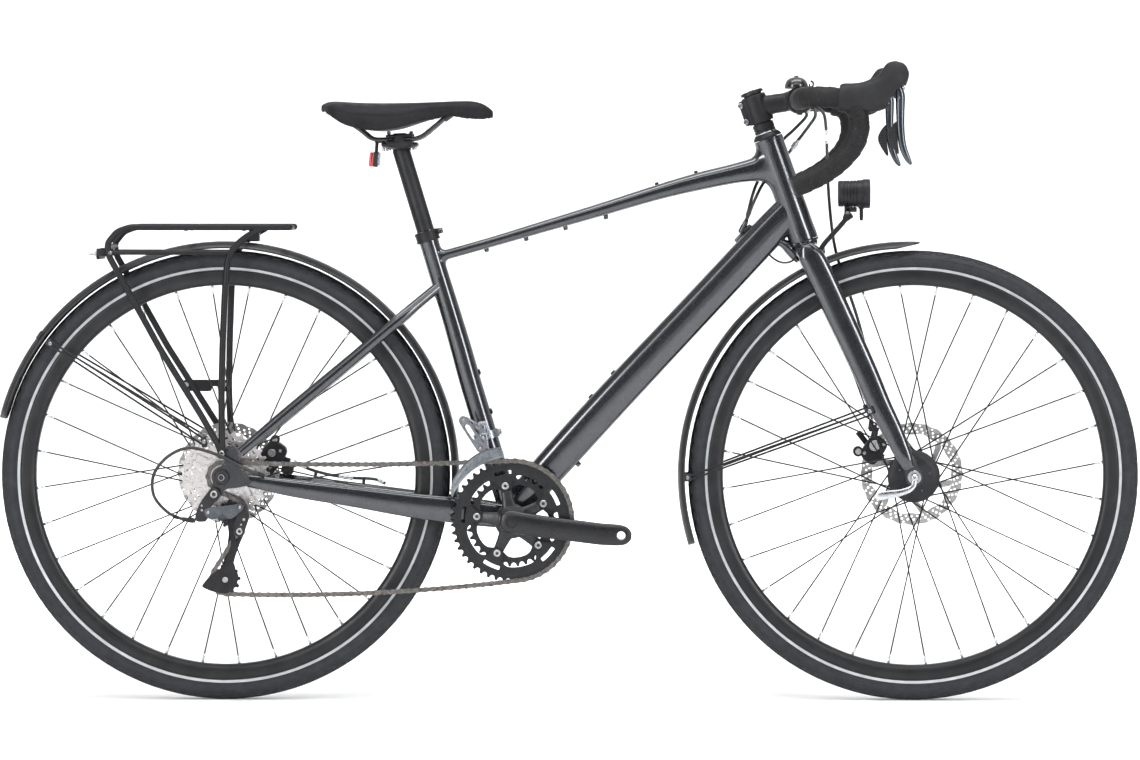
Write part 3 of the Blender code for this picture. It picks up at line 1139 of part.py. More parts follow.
# ---------------------------------------------------------------- cables
piece(
    tube(smooth_path([(396, 42, 911.5), (399.5, 42, 885), (400.5, 41, 862), (402, 40, 808), (407, 42, 745), (414, 50, 700), (421, 56.5, 655),
                      (438, 61.5, 590), (456, 65, 540), (457, 66.5, 500), (444, 58, 462), (448, 53, 436)], 22), 2.5, resolution=1, name="cable"),
    "front_brake_cable", HOUSING, "fork",
)
bundle = tube(
    smooth_path([(370.5, 38, 908.5), (348, 44, 884), (334, 46, 871), (318, 41, 847), (303, 31, 822), (290, 22, 803), (282, 16.5, 778),
                 (276.5, 13.5, 762), (271, 12, 742)], 14), 2.5, resolution=1, name="cable")
bundle = union(
    bundle,
    tube(
        smooth_path([(386, 35, 911.5), (374, 40, 893), (358.5, 45, 872), (346, 47, 855), (330, 41, 835), (313, 31, 815), (301, 22, 801),
                     (288, 14.5, 778), (279.5, 10, 753), (274, 9.5, 741)], 14), 2.5, resolution=1, name="cable"),
)
piece(bundle, "control_cables", HOUSING, "fork")
piece(
    tube(smooth_path([(-300, 49, 339.5), (-340, 52, 341), (-375, 55, 346), (-405, 57, 354), (-430.5, 56, 365)], 12), 2.5, name="cable"),
    "rear_brake_cable", HOUSING,
)
piece(
    tube(
        smooth_path([(-468, -70, 351), (-488, -80, 359), (-512, -89, 371), (-545, -91.5, 387), (-582, -89, 393), (-612, -87, 378), (-631, -85, 352),
                     (-631, -83, 322), (-616, -82, 298), (-603, -82, 287), (-590.5, -82, 281.0)], 22), 2.3, resolution=1, name="cable"),
    "rear_shift_cable", HOUSING,
)
piece(
    tube(smooth_path([(313, -8, 689.5), (318, -8.5, 684.5), (328, -9.5, 679.5), (338, -10.5, 679), (345, -11, 682), (349, -11, 687.5)], 12),
         1.6, name="cable"),
    "dynamo_wire", HOUSING, "fork",
)
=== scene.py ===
"""Visual model of a gravel and touring bicycle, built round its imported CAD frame.

Lengths are in millimetres in the lists below and become metres where meshes are made. +X is forwards,
+Y is the rider's left, +Z is up, and the drive side faces the camera.
"""

import math
import random

import bmesh
import bpy
import numpy as np
from mathutils import Matrix, Vector
from mathutils.geometry import tessellate_polygon


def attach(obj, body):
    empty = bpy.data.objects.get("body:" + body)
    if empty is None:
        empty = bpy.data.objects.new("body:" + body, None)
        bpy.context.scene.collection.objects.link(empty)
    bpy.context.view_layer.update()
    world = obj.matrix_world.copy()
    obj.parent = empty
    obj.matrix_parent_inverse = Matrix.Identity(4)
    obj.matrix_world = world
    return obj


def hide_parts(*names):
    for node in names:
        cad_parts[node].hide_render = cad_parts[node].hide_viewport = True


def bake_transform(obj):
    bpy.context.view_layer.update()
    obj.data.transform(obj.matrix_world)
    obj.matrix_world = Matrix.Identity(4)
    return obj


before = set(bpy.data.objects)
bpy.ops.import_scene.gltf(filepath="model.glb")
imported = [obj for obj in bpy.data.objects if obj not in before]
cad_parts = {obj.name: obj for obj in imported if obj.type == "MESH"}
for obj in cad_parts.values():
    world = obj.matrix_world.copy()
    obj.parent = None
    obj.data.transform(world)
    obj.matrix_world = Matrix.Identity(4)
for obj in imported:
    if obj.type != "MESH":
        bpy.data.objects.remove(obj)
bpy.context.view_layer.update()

MM = 0.001
AXLE_X, AXLE_Z = 533.3, 349.0
REAR, FRONT = (-AXLE_X, AXLE_Z), (AXLE_X, AXLE_Z)
BB = (-87.0, 280.5)
SEAT_ANGLE = 73.15
SEAT_DIR = Vector((-math.cos(math.radians(SEAT_ANGLE)), 0, math.sin(math.radians(SEAT_ANGLE))))
SEAT_FWD = Vector((SEAT_DIR.z, 0, -SEAT_DIR.x))
HEAD_TOP, HEAD_BOTTOM = (308.1, 871.0), (364.2, 712.6)
HEAD_DIR = Vector((HEAD_TOP[0] - HEAD_BOTTOM[0], 0, HEAD_TOP[1] - HEAD_BOTTOM[1])).normalized()
HEAD_FWD = Vector((HEAD_DIR.z, 0, -HEAD_DIR.x))
CRANK_ANGLE = -7.1
RING_Y, SMALL_RING_Y, COG_Y = -46.7, -40.2, -61.0
PULLEY_UP, PULLEY_LOW = (-518.0, 291.0), (-529.0, 190.5)
BAR_X, BAR_Z, HOOD_Y = 356.3, 930.0, 206.0
BAR_R, CLAMP_R, TAPE_R = 12.6, 15.9, 16.3
Y_AXIS = Vector((0, 1, 0))
rnd = random.Random(7)


def pitch_r(teeth):
    """Pitch radius of a chain wheel."""
    return 12.7 / (2 * math.sin(math.pi / teeth))


def on_seat(z, y=0.0):
    """Point of the seat tube's axis at a height."""
    return Vector((BB[0] - (z - BB[1]) / math.tan(math.radians(SEAT_ANGLE)), y, z))


def on_head(along, forward=0.0, y=0.0):
    """Point by its distance above the head tube's top, along the steering axis, and forward of it."""
    return Vector((HEAD_TOP[0], y, HEAD_TOP[1])) + HEAD_DIR * along + HEAD_FWD * forward


def polar(centre, r, degrees, y=0.0):
    a = math.radians(degrees)
    return Vector((centre[0] + r * math.cos(a), y, centre[1] + r * math.sin(a)))


# ---------------------------------------------------------------- gathering meshes
class Skin:
    """Closed skins in millimetres, gathered into one mesh."""

    def __init__(self):
        self.v, self.f, self.m = [], [], []

    def add(self, made, mat=0):
        verts, faces = made
        k = len(self.v)
        self.v.extend((p[0], p[1], p[2]) for p in verts)
        self.f.extend([i + k for i in face] for face in faces)
        self.m.extend([mat] * len(faces))
        return self

    def all(self, *made, mat=0):
        for one in made:
            self.add(one, mat)
        return self


def moved(made, matrix):
    verts, faces = made
    flip = matrix.determinant() < 0
    return [matrix @ Vector(p) for p in verts], [list(reversed(f)) for f in faces] if flip else faces


def mirror(made):
    return moved(made, Matrix.Diagonal((1, -1, 1, 1)))


def joined(*made):
    skin = Skin().all(*made)
    return skin.v, skin.f


def finish(skin, name, mats, body, replaces=(), angle=32, bevel=0.0, segments=2, subdivide=0, weld=0.0):
    """Makes the object, gives it its materials and normals, and lets it ride on its body."""
    mesh = bpy.data.meshes.new(name)
    mesh.from_pydata([(x * MM, y * MM, z * MM) for x, y, z in skin.v], [], skin.f)
    for mat in mats if isinstance(mats, (list, tuple)) else [mats]:
        mesh.materials.append(mat)
    mesh.polygons.foreach_set("material_index", skin.m)
    bm = bmesh.new()
    bm.from_mesh(mesh)
    if weld:
        bmesh.ops.remove_doubles(bm, verts=bm.verts, dist=weld * MM)
    bmesh.ops.recalc_face_normals(bm, faces=bm.faces)
    bm.to_mesh(mesh)
    bm.free()
    obj = bpy.data.objects.new(name, mesh)
    bpy.context.scene.collection.objects.link(obj)
    mesh.shade_smooth()
    if bevel:
        mod = obj.modifiers.new("edges", "BEVEL")
        mod.width = bevel * MM
        mod.segments = segments
        mod.limit_method = "ANGLE"
        mod.angle_limit = math.radians(angle)
        mod.use_clamp_overlap = True
        mod.harden_normals = True
    if subdivide:
        mod = obj.modifiers.new("subdivide", "SUBSURF")
        mod.levels = mod.render_levels = subdivide
    if not subdivide:
        mesh.set_sharp_from_angle(angle=math.radians(angle if not bevel else 180))
    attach(obj, body)
    if replaces:
        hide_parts(*replaces)
    return obj


# ---------------------------------------------------------------- shapes
def dense(points, count):
    """A centripetal-like smooth line through points of any size, read off at even lengths."""
    pts = np.array([list(p) for p in points], float)
    pts = np.vstack([2 * pts[0] - pts[1], pts, 2 * pts[-1] - pts[-2]])
    dims = min(3, pts.shape[1])
    out = []
    for k in range(1, len(pts) - 2):
        p0, p1, p2, p3 = pts[k - 1 : k + 3]
        d1, d2, d3 = (max(np.linalg.norm((b - a)[:dims]), 1e-6) ** 0.5 for a, b in ((p0, p1), (p1, p2), (p2, p3)))
        t1, t2, t3 = d1, d1 + d2, d1 + d2 + d3
        for t in np.linspace(t1, t2, 24, endpoint=False):
            a1 = (t1 - t) / t1 * p0 + t / t1 * p1
            a2 = (t2 - t) / (t2 - t1) * p1 + (t - t1) / (t2 - t1) * p2
            a3 = (t3 - t) / (t3 - t2) * p2 + (t - t2) / (t3 - t2) * p3
            b1 = (t2 - t) / t2 * a1 + t / t2 * a2
            b2 = (t3 - t) / (t3 - t1) * a2 + (t - t1) / (t3 - t1) * a3
            out.append((t2 - t) / (t2 - t1) * b1 + (t - t1) / (t2 - t1) * b2)
    out.append(pts[-2])
    out = np.array(out)
    steps = np.linalg.norm(np.diff(out[:, :dims], axis=0), axis=1)
    at = np.concatenate([[0], np.cumsum(steps)])
    want = np.linspace(0, at[-1], count)
    return np.stack([np.interp(want, at, out[:, i]) for i in range(out.shape[1])], 1)


def rounded_path(points, radius, count=7):
    """A polyline in space with its corners rounded."""
    pts = [Vector(p) for p in points]
    out = [pts[0]]
    for a, b, c in zip(pts, pts[1:], pts[2:]):
        u, v = (a - b), (c - b)
        cut = min(radius, u.length * 0.48, v.length * 0.48)
        p, q = b + u.normalized() * cut, b + v.normalized() * cut
        for i in range(count):
            t = i / (count - 1)
            out.append(p * (1 - t) ** 2 + b * 2 * t * (1 - t) + q * t * t)
    out.append(pts[-1])
    return out


def superellipse(w, h, count=40, power=2.0):
    points = []
    for i in range(count):
        a = 2 * math.pi * (i + 0.5) / count
        c, s = math.cos(a), math.sin(a)
        points.append((w * math.copysign(abs(c) ** (2 / power), c), h * math.copysign(abs(s) ** (2 / power), s)))
    return points


def softened(outline, times=2, share=0.25):
    """A closed outline with its corners cut round."""
    pts = [tuple(p) for p in outline]
    for _ in range(times):
        new = []
        for i, p in enumerate(pts):
            q = pts[(i + 1) % len(pts)]
            new.append(tuple(a + (b - a) * share for a, b in zip(p, q)))
            new.append(tuple(a + (b - a) * (1 - share) for a, b in zip(p, q)))
        pts = new
    return pts


def skinned(rings, closed=False, caps=True):
    verts, faces = [], []
    n = len(rings[0])
    for ring in rings:
        verts.extend(ring)
    count = len(rings)
    for i in range(count if closed else count - 1):
        a, b = i * n, ((i + 1) % count) * n
        for j in range(n):
            k = (j + 1) % n
            faces.append([a + j, a + k, b + k, b + j])
    if caps and not closed:
        faces.append(list(range(n))[::-1])
        faces.append([(count - 1) * n + j for j in range(n)])
    return verts, faces


def rings_along(path, sections, side=None, closed=False):
    """One ring of points per path point. sections is one list of (sideways, up) offsets, or one list for each point."""
    path = [Vector(p[:3]) for p in path]
    count = len(path)
    many = isinstance(sections[0][0], (list, tuple))
    rings, before = [], None
    for i, p in enumerate(path):
        if closed:
            tangent = path[(i + 1) % count] - path[i - 1]
        else:
            tangent = path[min(i + 1, count - 1)] - path[max(i - 1, 0)]
        tangent.normalize()
        if side is not None:
            across = Vector(side)
        elif before is None:
            across = Vector((0, 1, 0)) if abs(tangent.y) < 0.9 else Vector((1, 0, 0))
        else:
            across = before
        across = (across - tangent * across.dot(tangent)).normalized()
        up = across.cross(tangent).normalized()
        if side is not None:
            if (i == 0 and up.z < -1e-9) or (i and up.dot(last_up) < 0):
                up = -up
            last_up = up
        before = across
        section = sections[i] if many else sections
        rings.append([p + across * u + up * v for u, v in section])
    return rings


def sweep(path, sections, side=None, closed=False, caps=True):
    return skinned(rings_along(path, sections, side, closed), closed, caps)


def circle2(r, n):
    return [(r * math.cos(2 * math.pi * i / n), r * math.sin(2 * math.pi * i / n)) for i in range(n)]


def tube(path, r, n=16, closed=False, round_ends=False):
    """A round tube. r is one radius or one per point."""
    radii = list(r) if isinstance(r, (list, tuple, np.ndarray)) else [r] * len(path)
    path = [Vector(p[:3]) for p in path]
    if round_ends and not closed:
        for end in (0, -1):
            tip, inner = path[end], path[1 if end == 0 else -2]
            out = (tip - inner).normalized()
            extra, rr = [], radii[end]
            for a in (30, 60, 84):
                extra.append((tip + out * rr * math.sin(math.radians(a)), rr * math.cos(math.radians(a))))
            if end == 0:
                path = [p for p, _ in extra[::-1]] + path
                radii = [q for _, q in extra[::-1]] + radii
            else:
                path += [p for p, _ in extra]
                radii += [q for _, q in extra]
    unit = circle2(1, n)
    return sweep(path, [[(u * q, v * q) for u, v in unit] for q in radii], closed=closed)


def rod(p, q, r, r2=None, n=20, chamfer=0.0):
    """A straight round bar with chamfered ends."""
    p, q = Vector(p), Vector(q)
    r2 = r if r2 is None else r2
    d = (q - p).normalized()
    if not chamfer:
        return tube([p, q], [r, r2], n)
    return tube([p, p + d * chamfer, q - d * chamfer, q], [r - chamfer, r, r2, r2 - chamfer], n)


def axis_matrix(at, direction, spin=0.0):
    """Local Z along direction, at a point."""
    d = Vector(direction).normalized()
    return Matrix.Translation(Vector(at)) @ d.to_track_quat("Z", "Y").to_matrix().to_4x4() @ Matrix.Rotation(spin, 4, "Z")


def lathe(profile, n=48, matrix=None, start=0.0, sweep_deg=360.0):
    """A profile of (radius, height) turned about Z. A profile that doesn't start and end on the axis is closed on itself."""
    whole = sweep_deg >= 360
    rings = []
    count = n if whole else n + 1
    closed_profile = not (abs(profile[0][0]) < 1e-9 and abs(profile[-1][0]) < 1e-9)
    verts, faces = [], []
    m = len(profile)
    for i in range(count):
        a = math.radians(start + sweep_deg * i / n)
        verts += [Vector((r * math.cos(a), r * math.sin(a), z)) for r, z in profile]
    for i in range(n):
        a, b = i * m, ((i + 1) % count) * m
        for j in range(m if closed_profile else m - 1):
            k = (j + 1) % m
            quad = [a + j, b + j, b + k, a + k]
            if abs(profile[j][0]) < 1e-9:
                quad = [a + j, b + k, a + k]
            elif abs(profile[k][0]) < 1e-9:
                quad = [a + j, b + j, a + k]
            faces.append(quad)
    if not closed_profile:
        # The points on the axis are shared.
        first, last = 0, m - 1
        swap = {i * m: 0 for i in range(count)}
        swap.update({i * m + last: last for i in range(count)})
        faces = [[swap.get(i, i) for i in f] for f in faces]
        used = sorted({i for f in faces for i in f})
        number = {old: new for new, old in enumerate(used)}
        verts = [verts[i] for i in used]
        faces = [[number[i] for i in f] for f in faces]
    if not whole:
        faces.append([j for j in range(m)])
        faces.append([n * m + j for j in range(m)][::-1])
    if matrix is not None:
        verts = [matrix @ p for p in verts]
    return verts, faces


def about_y(centre, y=0.0):
    """Local Z becomes +Y through (x, z), and local X stays +X."""
    return Matrix.Translation((centre[0], y, centre[1])) @ Matrix(((1, 0, 0, 0), (0, 0, 1, 0), (0, 1, 0, 0), (0, 0, 0, 1)))


def ring_y(centre, profile, n=96, start=0.0, sweep_deg=360.0):
    """A profile of (radius, y) turned about the Y line through centre (x, z)."""
    return lathe(profile, n, about_y(centre), start, sweep_deg)


def plate(outline, y0, y1, holes=(), matrix=None):
    """A flat outline in the XZ plane with holes, from y0 to y1."""
    loops = [[Vector((x, 0, z)) for x, z in loop] for loop in (outline, *holes)]
    tris = tessellate_polygon(loops)
    flat = [p for loop in loops for p in loop]
    n = len(flat)
    verts = [p + Vector((0, y0, 0)) for p in flat] + [p + Vector((0, y1, 0)) for p in flat]
    faces = [list(t) for t in tris] + [[i + n for i in reversed(t)] for t in tris]
    base = 0
    for loop in loops:
        k = len(loop)
        for i in range(k):
            j = (i + 1) % k
            faces.append([base + i, base + j, n + base + j, n + base + i])
        base += k
    if matrix is not None:
        verts = [matrix @ p for p in verts]
    return verts, faces


def arc(centre, r, a0, a1, count):
    return [
        (centre[0] + r * math.cos(math.radians(a0 + (a1 - a0) * i / (count - 1))),
         centre[1] + r * math.sin(math.radians(a0 + (a1 - a0) * i / (count - 1))))
        for i in range(count)
    ]


def full(centre, r, count=32, start=0.0):
    return arc(centre, r, start, start + 360 - 360 / count, count)


def block(centre, size, turn=0.0, r=1.0, seg=2, rotation=None):
    """A box with rounded edges, turned about Y from +X towards +Z."""
    bm = bmesh.new()
    bmesh.ops.create_cube(bm, size=1.0)
    bmesh.ops.scale(bm, vec=size, verts=bm.verts)
    if r:
        bmesh.ops.bevel(bm, geom=bm.edges[:], offset=min(r, min(size) * 0.49), segments=seg, profile=0.5, affect="EDGES")
    spin = rotation if rotation is not None else Matrix.Rotation(-math.radians(turn), 4, "Y")
    bm.transform(Matrix.Translation(Vector(centre)) @ spin)
    bm.verts.ensure_lookup_table()
    verts = [v.co.copy() for v in bm.verts]
    faces = [[v.index for v in f.verts] for f in bm.faces]
    bm.free()
    return verts, faces


def bolt(at, direction, r=3.0, h=3.0, recess=1.5, depth=1.6, n=24, dome=0.0):
    """A cap screw: its underside's centre is at, and a hexagon socket is cut into its top."""
    def hexagon(a, size):
        a = (a + math.pi / 6) % (math.pi / 3) - math.pi / 6
        return size / math.cos(a)

    angles = [2 * math.pi * i / n for i in range(n)]
    c = min(0.45, r * 0.14)
    rings = []
    for size, z in ((r, 0), (r, h - c), (r - c, h), (r * 0.72, h + dome)):
        rings.append([(size * math.cos(a), size * math.sin(a), z) for a in angles])
    for grow, z in ((1.12, h + dome), (1.0, h + dome - 0.25), (1.0, h + dome - depth)):
        rings.append([(hexagon(a, recess * grow) * math.cos(a), hexagon(a, recess * grow) * math.sin(a), z) for a in angles])
    verts, faces = skinned(rings)
    m = axis_matrix(at, direction)
    return [m @ Vector(p) for p in verts], faces


def nut(at, direction, across=8.0, h=4.0, bore=0.0):
    """A hexagon nut with chamfered corners."""
    angles = [math.radians(15 * i) for i in range(24)]

    def hexagon(a, size):
        b = (a + math.pi / 6) % (math.pi / 3) - math.pi / 6
        return size / math.cos(b)

    half = across / 2
    rings = [
        [(min(hexagon(a, half), half * k) * math.cos(a), min(hexagon(a, half), half * k) * math.sin(a), z) for a in angles]
        for k, z in ((1.04, 0), (1.2, h * 0.12), (1.2, h * 0.86), (1.04, h))
    ]
    rings.append([(half * 0.6 * math.cos(a), half * 0.6 * math.sin(a), h) for a in angles])
    rings.append([(half * 0.55 * math.cos(a), half * 0.55 * math.sin(a), h - 0.4) for a in angles])
    verts, faces = skinned(rings)
    m = axis_matrix(at, direction)
    return [m @ Vector(p) for p in verts], faces


def fillet(rings, p, q, radius, size, start_inside=True, steps=7, n_keep=1):
    """A concave seam where a branch tube's skin meets a round main tube from p to q. rings run from inside the main
    tube outwards. It is a closed band that is tangent to both skins."""
    p, q = Vector(p), Vector(q)
    axis = (q - p).normalized()

    def depth(x):
        rel = x - p
        return (rel - axis * rel.dot(axis)).length - radius

    def on_main(x):
        rel = x - p
        along = axis * rel.dot(axis)
        return p + along + (rel - along).normalized() * radius

    count = len(rings[0])
    seam, centre = [], Vector((0, 0, 0))
    for j in range(count):
        line = [Vector(ring[j]) for ring in rings]
        hit = None
        for a, b in zip(line, line[1:]):
            da, db = depth(a), depth(b)
            if da < 0 <= db:
                hit = a.lerp(b, da / (da - db))
                out = (b - a).normalized()
        if hit is None:
            return None
        seam.append((hit, out))
        centre += hit / count
    bands = []
    for hit, out in seam:
        normal = (on_main(hit + (hit - p) * 0) - p)
        rel = hit - p
        normal = (rel - axis * rel.dot(axis)).normalized()
        away = hit - centre
        away = (away - normal * away.dot(normal)).normalized()
        # Where the branch leans over the main tube the seam is kept smaller.
        lean = max(0.35, min(1.0, 1.0 - 0.55 * max(0.0, out.dot(away))))
        a = hit + out * size * lean
        c = on_main(hit + away * size * lean)
        ring = []
        for k in range(steps + 1):
            t = k / steps
            ring.append(a * (1 - t) ** 2 + hit * 2 * t * (1 - t) + c * t * t)
        ring[0] = ring[0] - (away - out * away.dot(out)).normalized() * 0.12
        ring[-1] = ring[-1] - normal * 0.12
        ring.append(hit - normal * 1.2 - away * 1.2)
        bands.append(ring)
    return skinned(bands, closed=True)


# ---------------------------------------------------------------- materials
def add_node(tree, kind, **values):
    node = tree.nodes.new(kind)
    for key, value in values.items():
        if key in node.inputs:
            node.inputs[key].default_value = value
        else:
            setattr(node, key, value)
    return node


def ramp_between(tree, factor, low, high, a=0.0, b=1.0):
    """Maps a factor from [a, b] to [low, high] as a number."""
    node = tree.nodes.new("ShaderNodeMapRange")
    node.inputs["From Min"].default_value = a
    node.inputs["From Max"].default_value = b
    node.inputs["To Min"].default_value = low
    node.inputs["To Max"].default_value = high
    tree.links.new(factor, node.inputs["Value"])
    return node.outputs["Result"]


def mixed(tree, factor, one, two):
    """A colour between two colours, each a triple or a socket."""
    node = tree.nodes.new("ShaderNodeMix")
    node.data_type = "RGBA"
    tree.links.new(factor, node.inputs[0])
    for socket, value in ((node.inputs[6], one), (node.inputs[7], two)):
        if isinstance(value, tuple):
            socket.default_value = (*value, 1)
        else:
            tree.links.new(value, socket)
    return node.outputs[2]


class Surface:
    """A Principled material under construction, with object coordinates in metres."""

    def __init__(self, name, rough=0.5, metallic=0.0, coat=0.0, coat_rough=0.05, spec=0.5, sheen=0.0, ior=1.5):
        self.mat = bpy.data.materials.new(name)
        self.mat.use_nodes = True
        self.tree = self.mat.node_tree
        self.shader = self.tree.nodes["Principled BSDF"]
        s = self.shader.inputs
        s["Roughness"].default_value = rough
        s["Metallic"].default_value = metallic
        s["Coat Weight"].default_value = coat
        s["Coat Roughness"].default_value = coat_rough
        s["Specular IOR Level"].default_value = spec
        s["IOR"].default_value = ior
        if sheen:
            s["Sheen Weight"].default_value = sheen
            s["Sheen Roughness"].default_value = 0.4
        self.coords = self.tree.nodes.new("ShaderNodeTexCoord").outputs["Object"]
        self.height = None

    def link(self, a, b):
        self.tree.links.new(a, b)

    def noise(self, scale, detail=4.0, roughness=0.55, stretch=None, distortion=0.0):
        node = add_node(self.tree, "ShaderNodeTexNoise", Scale=scale, Detail=detail, Roughness=roughness, Distortion=distortion)
        self.link(self.stretched(stretch), node.inputs["Vector"])
        return node.outputs["Fac"]

    def voronoi(self, scale, feature="F1", stretch=None, output="Distance"):
        node = add_node(self.tree, "ShaderNodeTexVoronoi", Scale=scale, feature=feature)
        self.link(self.stretched(stretch), node.inputs["Vector"])
        return node.outputs[output]

    def stretched(self, stretch):
        if stretch is None:
            return self.coords
        node = self.tree.nodes.new("ShaderNodeMapping")
        node.inputs["Scale"].default_value = stretch
        self.link(self.coords, node.inputs["Vector"])
        return node.outputs["Vector"]

    def colour(self, one, two, factor, a=0.3, b=0.7):
        out = mixed(self.tree, ramp_between(self.tree, factor, 0, 1, a, b), one, two)
        self.link(out, self.shader.inputs["Base Color"])
        return out

    def over(self, base, colour, factor, a, b):
        """A further colour over the one so far."""
        out = mixed(self.tree, ramp_between(self.tree, factor, 0, 1, a, b), base, colour)
        self.link(out, self.shader.inputs["Base Color"])
        return out

    def rough(self, low, high, factor, a=0.3, b=0.7):
        self.link(ramp_between(self.tree, factor, low, high, a, b), self.shader.inputs["Roughness"])

    def bump(self, height, distance, strength=1.0):
        """Distance is in millimetres. Bumps add up."""
        node = add_node(self.tree, "ShaderNodeBump", Strength=strength, Distance=distance * MM)
        self.link(height, node.inputs["Height"])
        if self.height is not None:
            self.link(self.height, node.inputs["Normal"])
        self.height = node.outputs["Normal"]
        self.link(self.height, self.shader.inputs["Normal"])
        return self

    def coat_bump(self):
        if self.height is not None and "Coat Normal" in self.shader.inputs:
            self.link(self.height, self.shader.inputs["Coat Normal"])
        return self

    def maths(self, operation, a, b=None):
        node = self.tree.nodes.new("ShaderNodeMath")
        node.operation = operation
        for socket, value in zip(node.inputs, (a, b)):
            if value is None:
                continue
            if isinstance(value, (int, float)):
                socket.default_value = value
            else:
                self.link(value, socket)
        return node.outputs[0]

    def axes(self):
        node = self.tree.nodes.new("ShaderNodeSeparateXYZ")
        self.link(self.coords, node.inputs[0])
        return node.outputs

    def turned(self, centre):
        """Distance from and angle about the Y line through centre (x, z), in metres and radians."""
        x, _, z = self.axes()
        dx = self.maths("SUBTRACT", x, centre[0] * MM)
        dz = self.maths("SUBTRACT", z, centre[1] * MM)
        radius = self.maths("SQRT", self.maths("ADD", self.maths("MULTIPLY", dx, dx), self.maths("MULTIPLY", dz, dz)))
        return radius, self.maths("ARCTAN2", dz, dx)


def metal_paint(name, dark, light, flake=0.25, rough=0.3, metallic=0.75, coat=1.0, coat_rough=0.04):
    s = Surface(name, rough, metallic, coat, coat_rough)
    base = s.colour(dark, light, s.noise(28, 3), 0.25, 0.75)
    grains = s.voronoi(2600, output="Color")
    bw = s.tree.nodes.new("ShaderNodeRGBToBW")
    s.link(grains, bw.inputs[0])
    bright = tuple(min(1.0, c * (1 + 4 * flake)) for c in light)
    s.over(base, bright, bw.outputs[0], 0.7, 1.2)
    s.rough(rough - 0.015, rough + 0.02, s.noise(160, 3))
    s.bump(s.noise(420, 2), 0.0012)
    return s.mat


def plain_metal(name, dark, light, rough=0.35, metallic=1.0, grain=300, brushed=None, spread=0.1, coat=0.0):
    s = Surface(name, rough, metallic, coat)
    s.colour(dark, light, s.noise(45, 5, 0.65), 0.3, 0.7)
    s.rough(max(0.04, rough - spread), rough + spread, s.noise(grain * 0.5, 4, 0.6))
    s.bump(s.noise(grain * 3, 3, 0.6, brushed), 0.004)
    return s.mat


def moulded(name, dark, light, rough=0.5, texture=1200, depth=0.03, spec=0.45, coat=0.0):
    """Moulded plastic or rubber with a fine erosion texture and a little dust."""
    s = Surface(name, rough, 0.0, coat, 0.15, spec)
    base = s.colour(dark, light, s.noise(22, 5, 0.6), 0.3, 0.7)
    s.over(base, tuple(c * 1.7 + 0.004 for c in light), s.noise(90, 6, 0.7), 0.66, 0.95)
    s.rough(rough - 0.08, rough + 0.1, s.noise(70, 4))
    s.bump(s.voronoi(texture), depth)
    s.bump(s.noise(texture * 0.4, 3), depth * 0.6)
    return s.mat


# Dark anthracite paint with fine flakes under a clear coat.
PAINT = metal_paint("anthracite_paint", (0.037, 0.039, 0.044), (0.05, 0.053, 0.059), 0.08, 0.26, 0.82, 1.0, 0.03)
MATT_BAND = moulded("matt_paint", (0.012, 0.013, 0.016), (0.02, 0.021, 0.025), 0.4, 2200, 0.012, 0.5)
BLACK_GLOSS = plain_metal("black_gloss_paint", (0.012, 0.012, 0.013), (0.02, 0.02, 0.022), 0.28, 0.3, 500, coat=0.6)
ANODISED = plain_metal("black_anodised", (0.015, 0.015, 0.017), (0.027, 0.027, 0.03), 0.38, 0.75, 700)
ANODISED_SATIN = plain_metal("black_satin", (0.011, 0.011, 0.013), (0.022, 0.022, 0.025), 0.5, 0.6, 900)
CRANK_BLACK = plain_metal("black_forged", (0.0055, 0.0057, 0.007), (0.011, 0.0115, 0.014), 0.34, 0.2, 420)
POWDER = moulded("black_powder_coat", (0.006, 0.006, 0.007), (0.01, 0.01, 0.012), 0.45, 1500, 0.02, 0.24)
PLASTIC = moulded("black_moulded_plastic", (0.009, 0.009, 0.01), (0.016, 0.016, 0.018), 0.42, 1800, 0.02, 0.35)
FENDER = moulded("fender_plastic", (0.008, 0.008, 0.009), (0.014, 0.014, 0.016), 0.36, 2400, 0.012, 0.38)
RUBBER = moulded("soft_rubber", (0.008, 0.008, 0.0095), (0.0135, 0.0135, 0.0155), 0.6, 900, 0.03, 0.26)
SPOKE_BLACK = plain_metal("black_spoke", (0.008, 0.008, 0.009), (0.015, 0.015, 0.017), 0.4, 0.5, 600)
STEEL = plain_metal("steel", (0.34, 0.34, 0.35), (0.52, 0.52, 0.53), 0.27, 1.0, 500)
BRUSHED = plain_metal("brushed_steel", (0.38, 0.38, 0.39), (0.56, 0.555, 0.55), 0.3, 1.0, 260)
SILVER = plain_metal("silver_alloy", (0.44, 0.45, 0.47), (0.58, 0.59, 0.61), 0.25, 1.0, 420)
GREY_ALLOY = plain_metal("grey_alloy", (0.075, 0.083, 0.095), (0.125, 0.137, 0.155), 0.3, 0.9, 400, coat=0.3)
DARK_ALLOY = plain_metal("dark_alloy", (0.03, 0.032, 0.037), (0.055, 0.058, 0.066), 0.34, 0.8, 400, coat=0.3)
LEVER_GREY = metal_paint("lever_grey", (0.036, 0.042, 0.052), (0.055, 0.064, 0.077), 0.08, 0.25, 0.85, 0.8, 0.05)
FD_GREY = plain_metal("derailleur_silver", (0.17, 0.185, 0.205), (0.29, 0.31, 0.335), 0.3, 0.95, 380)


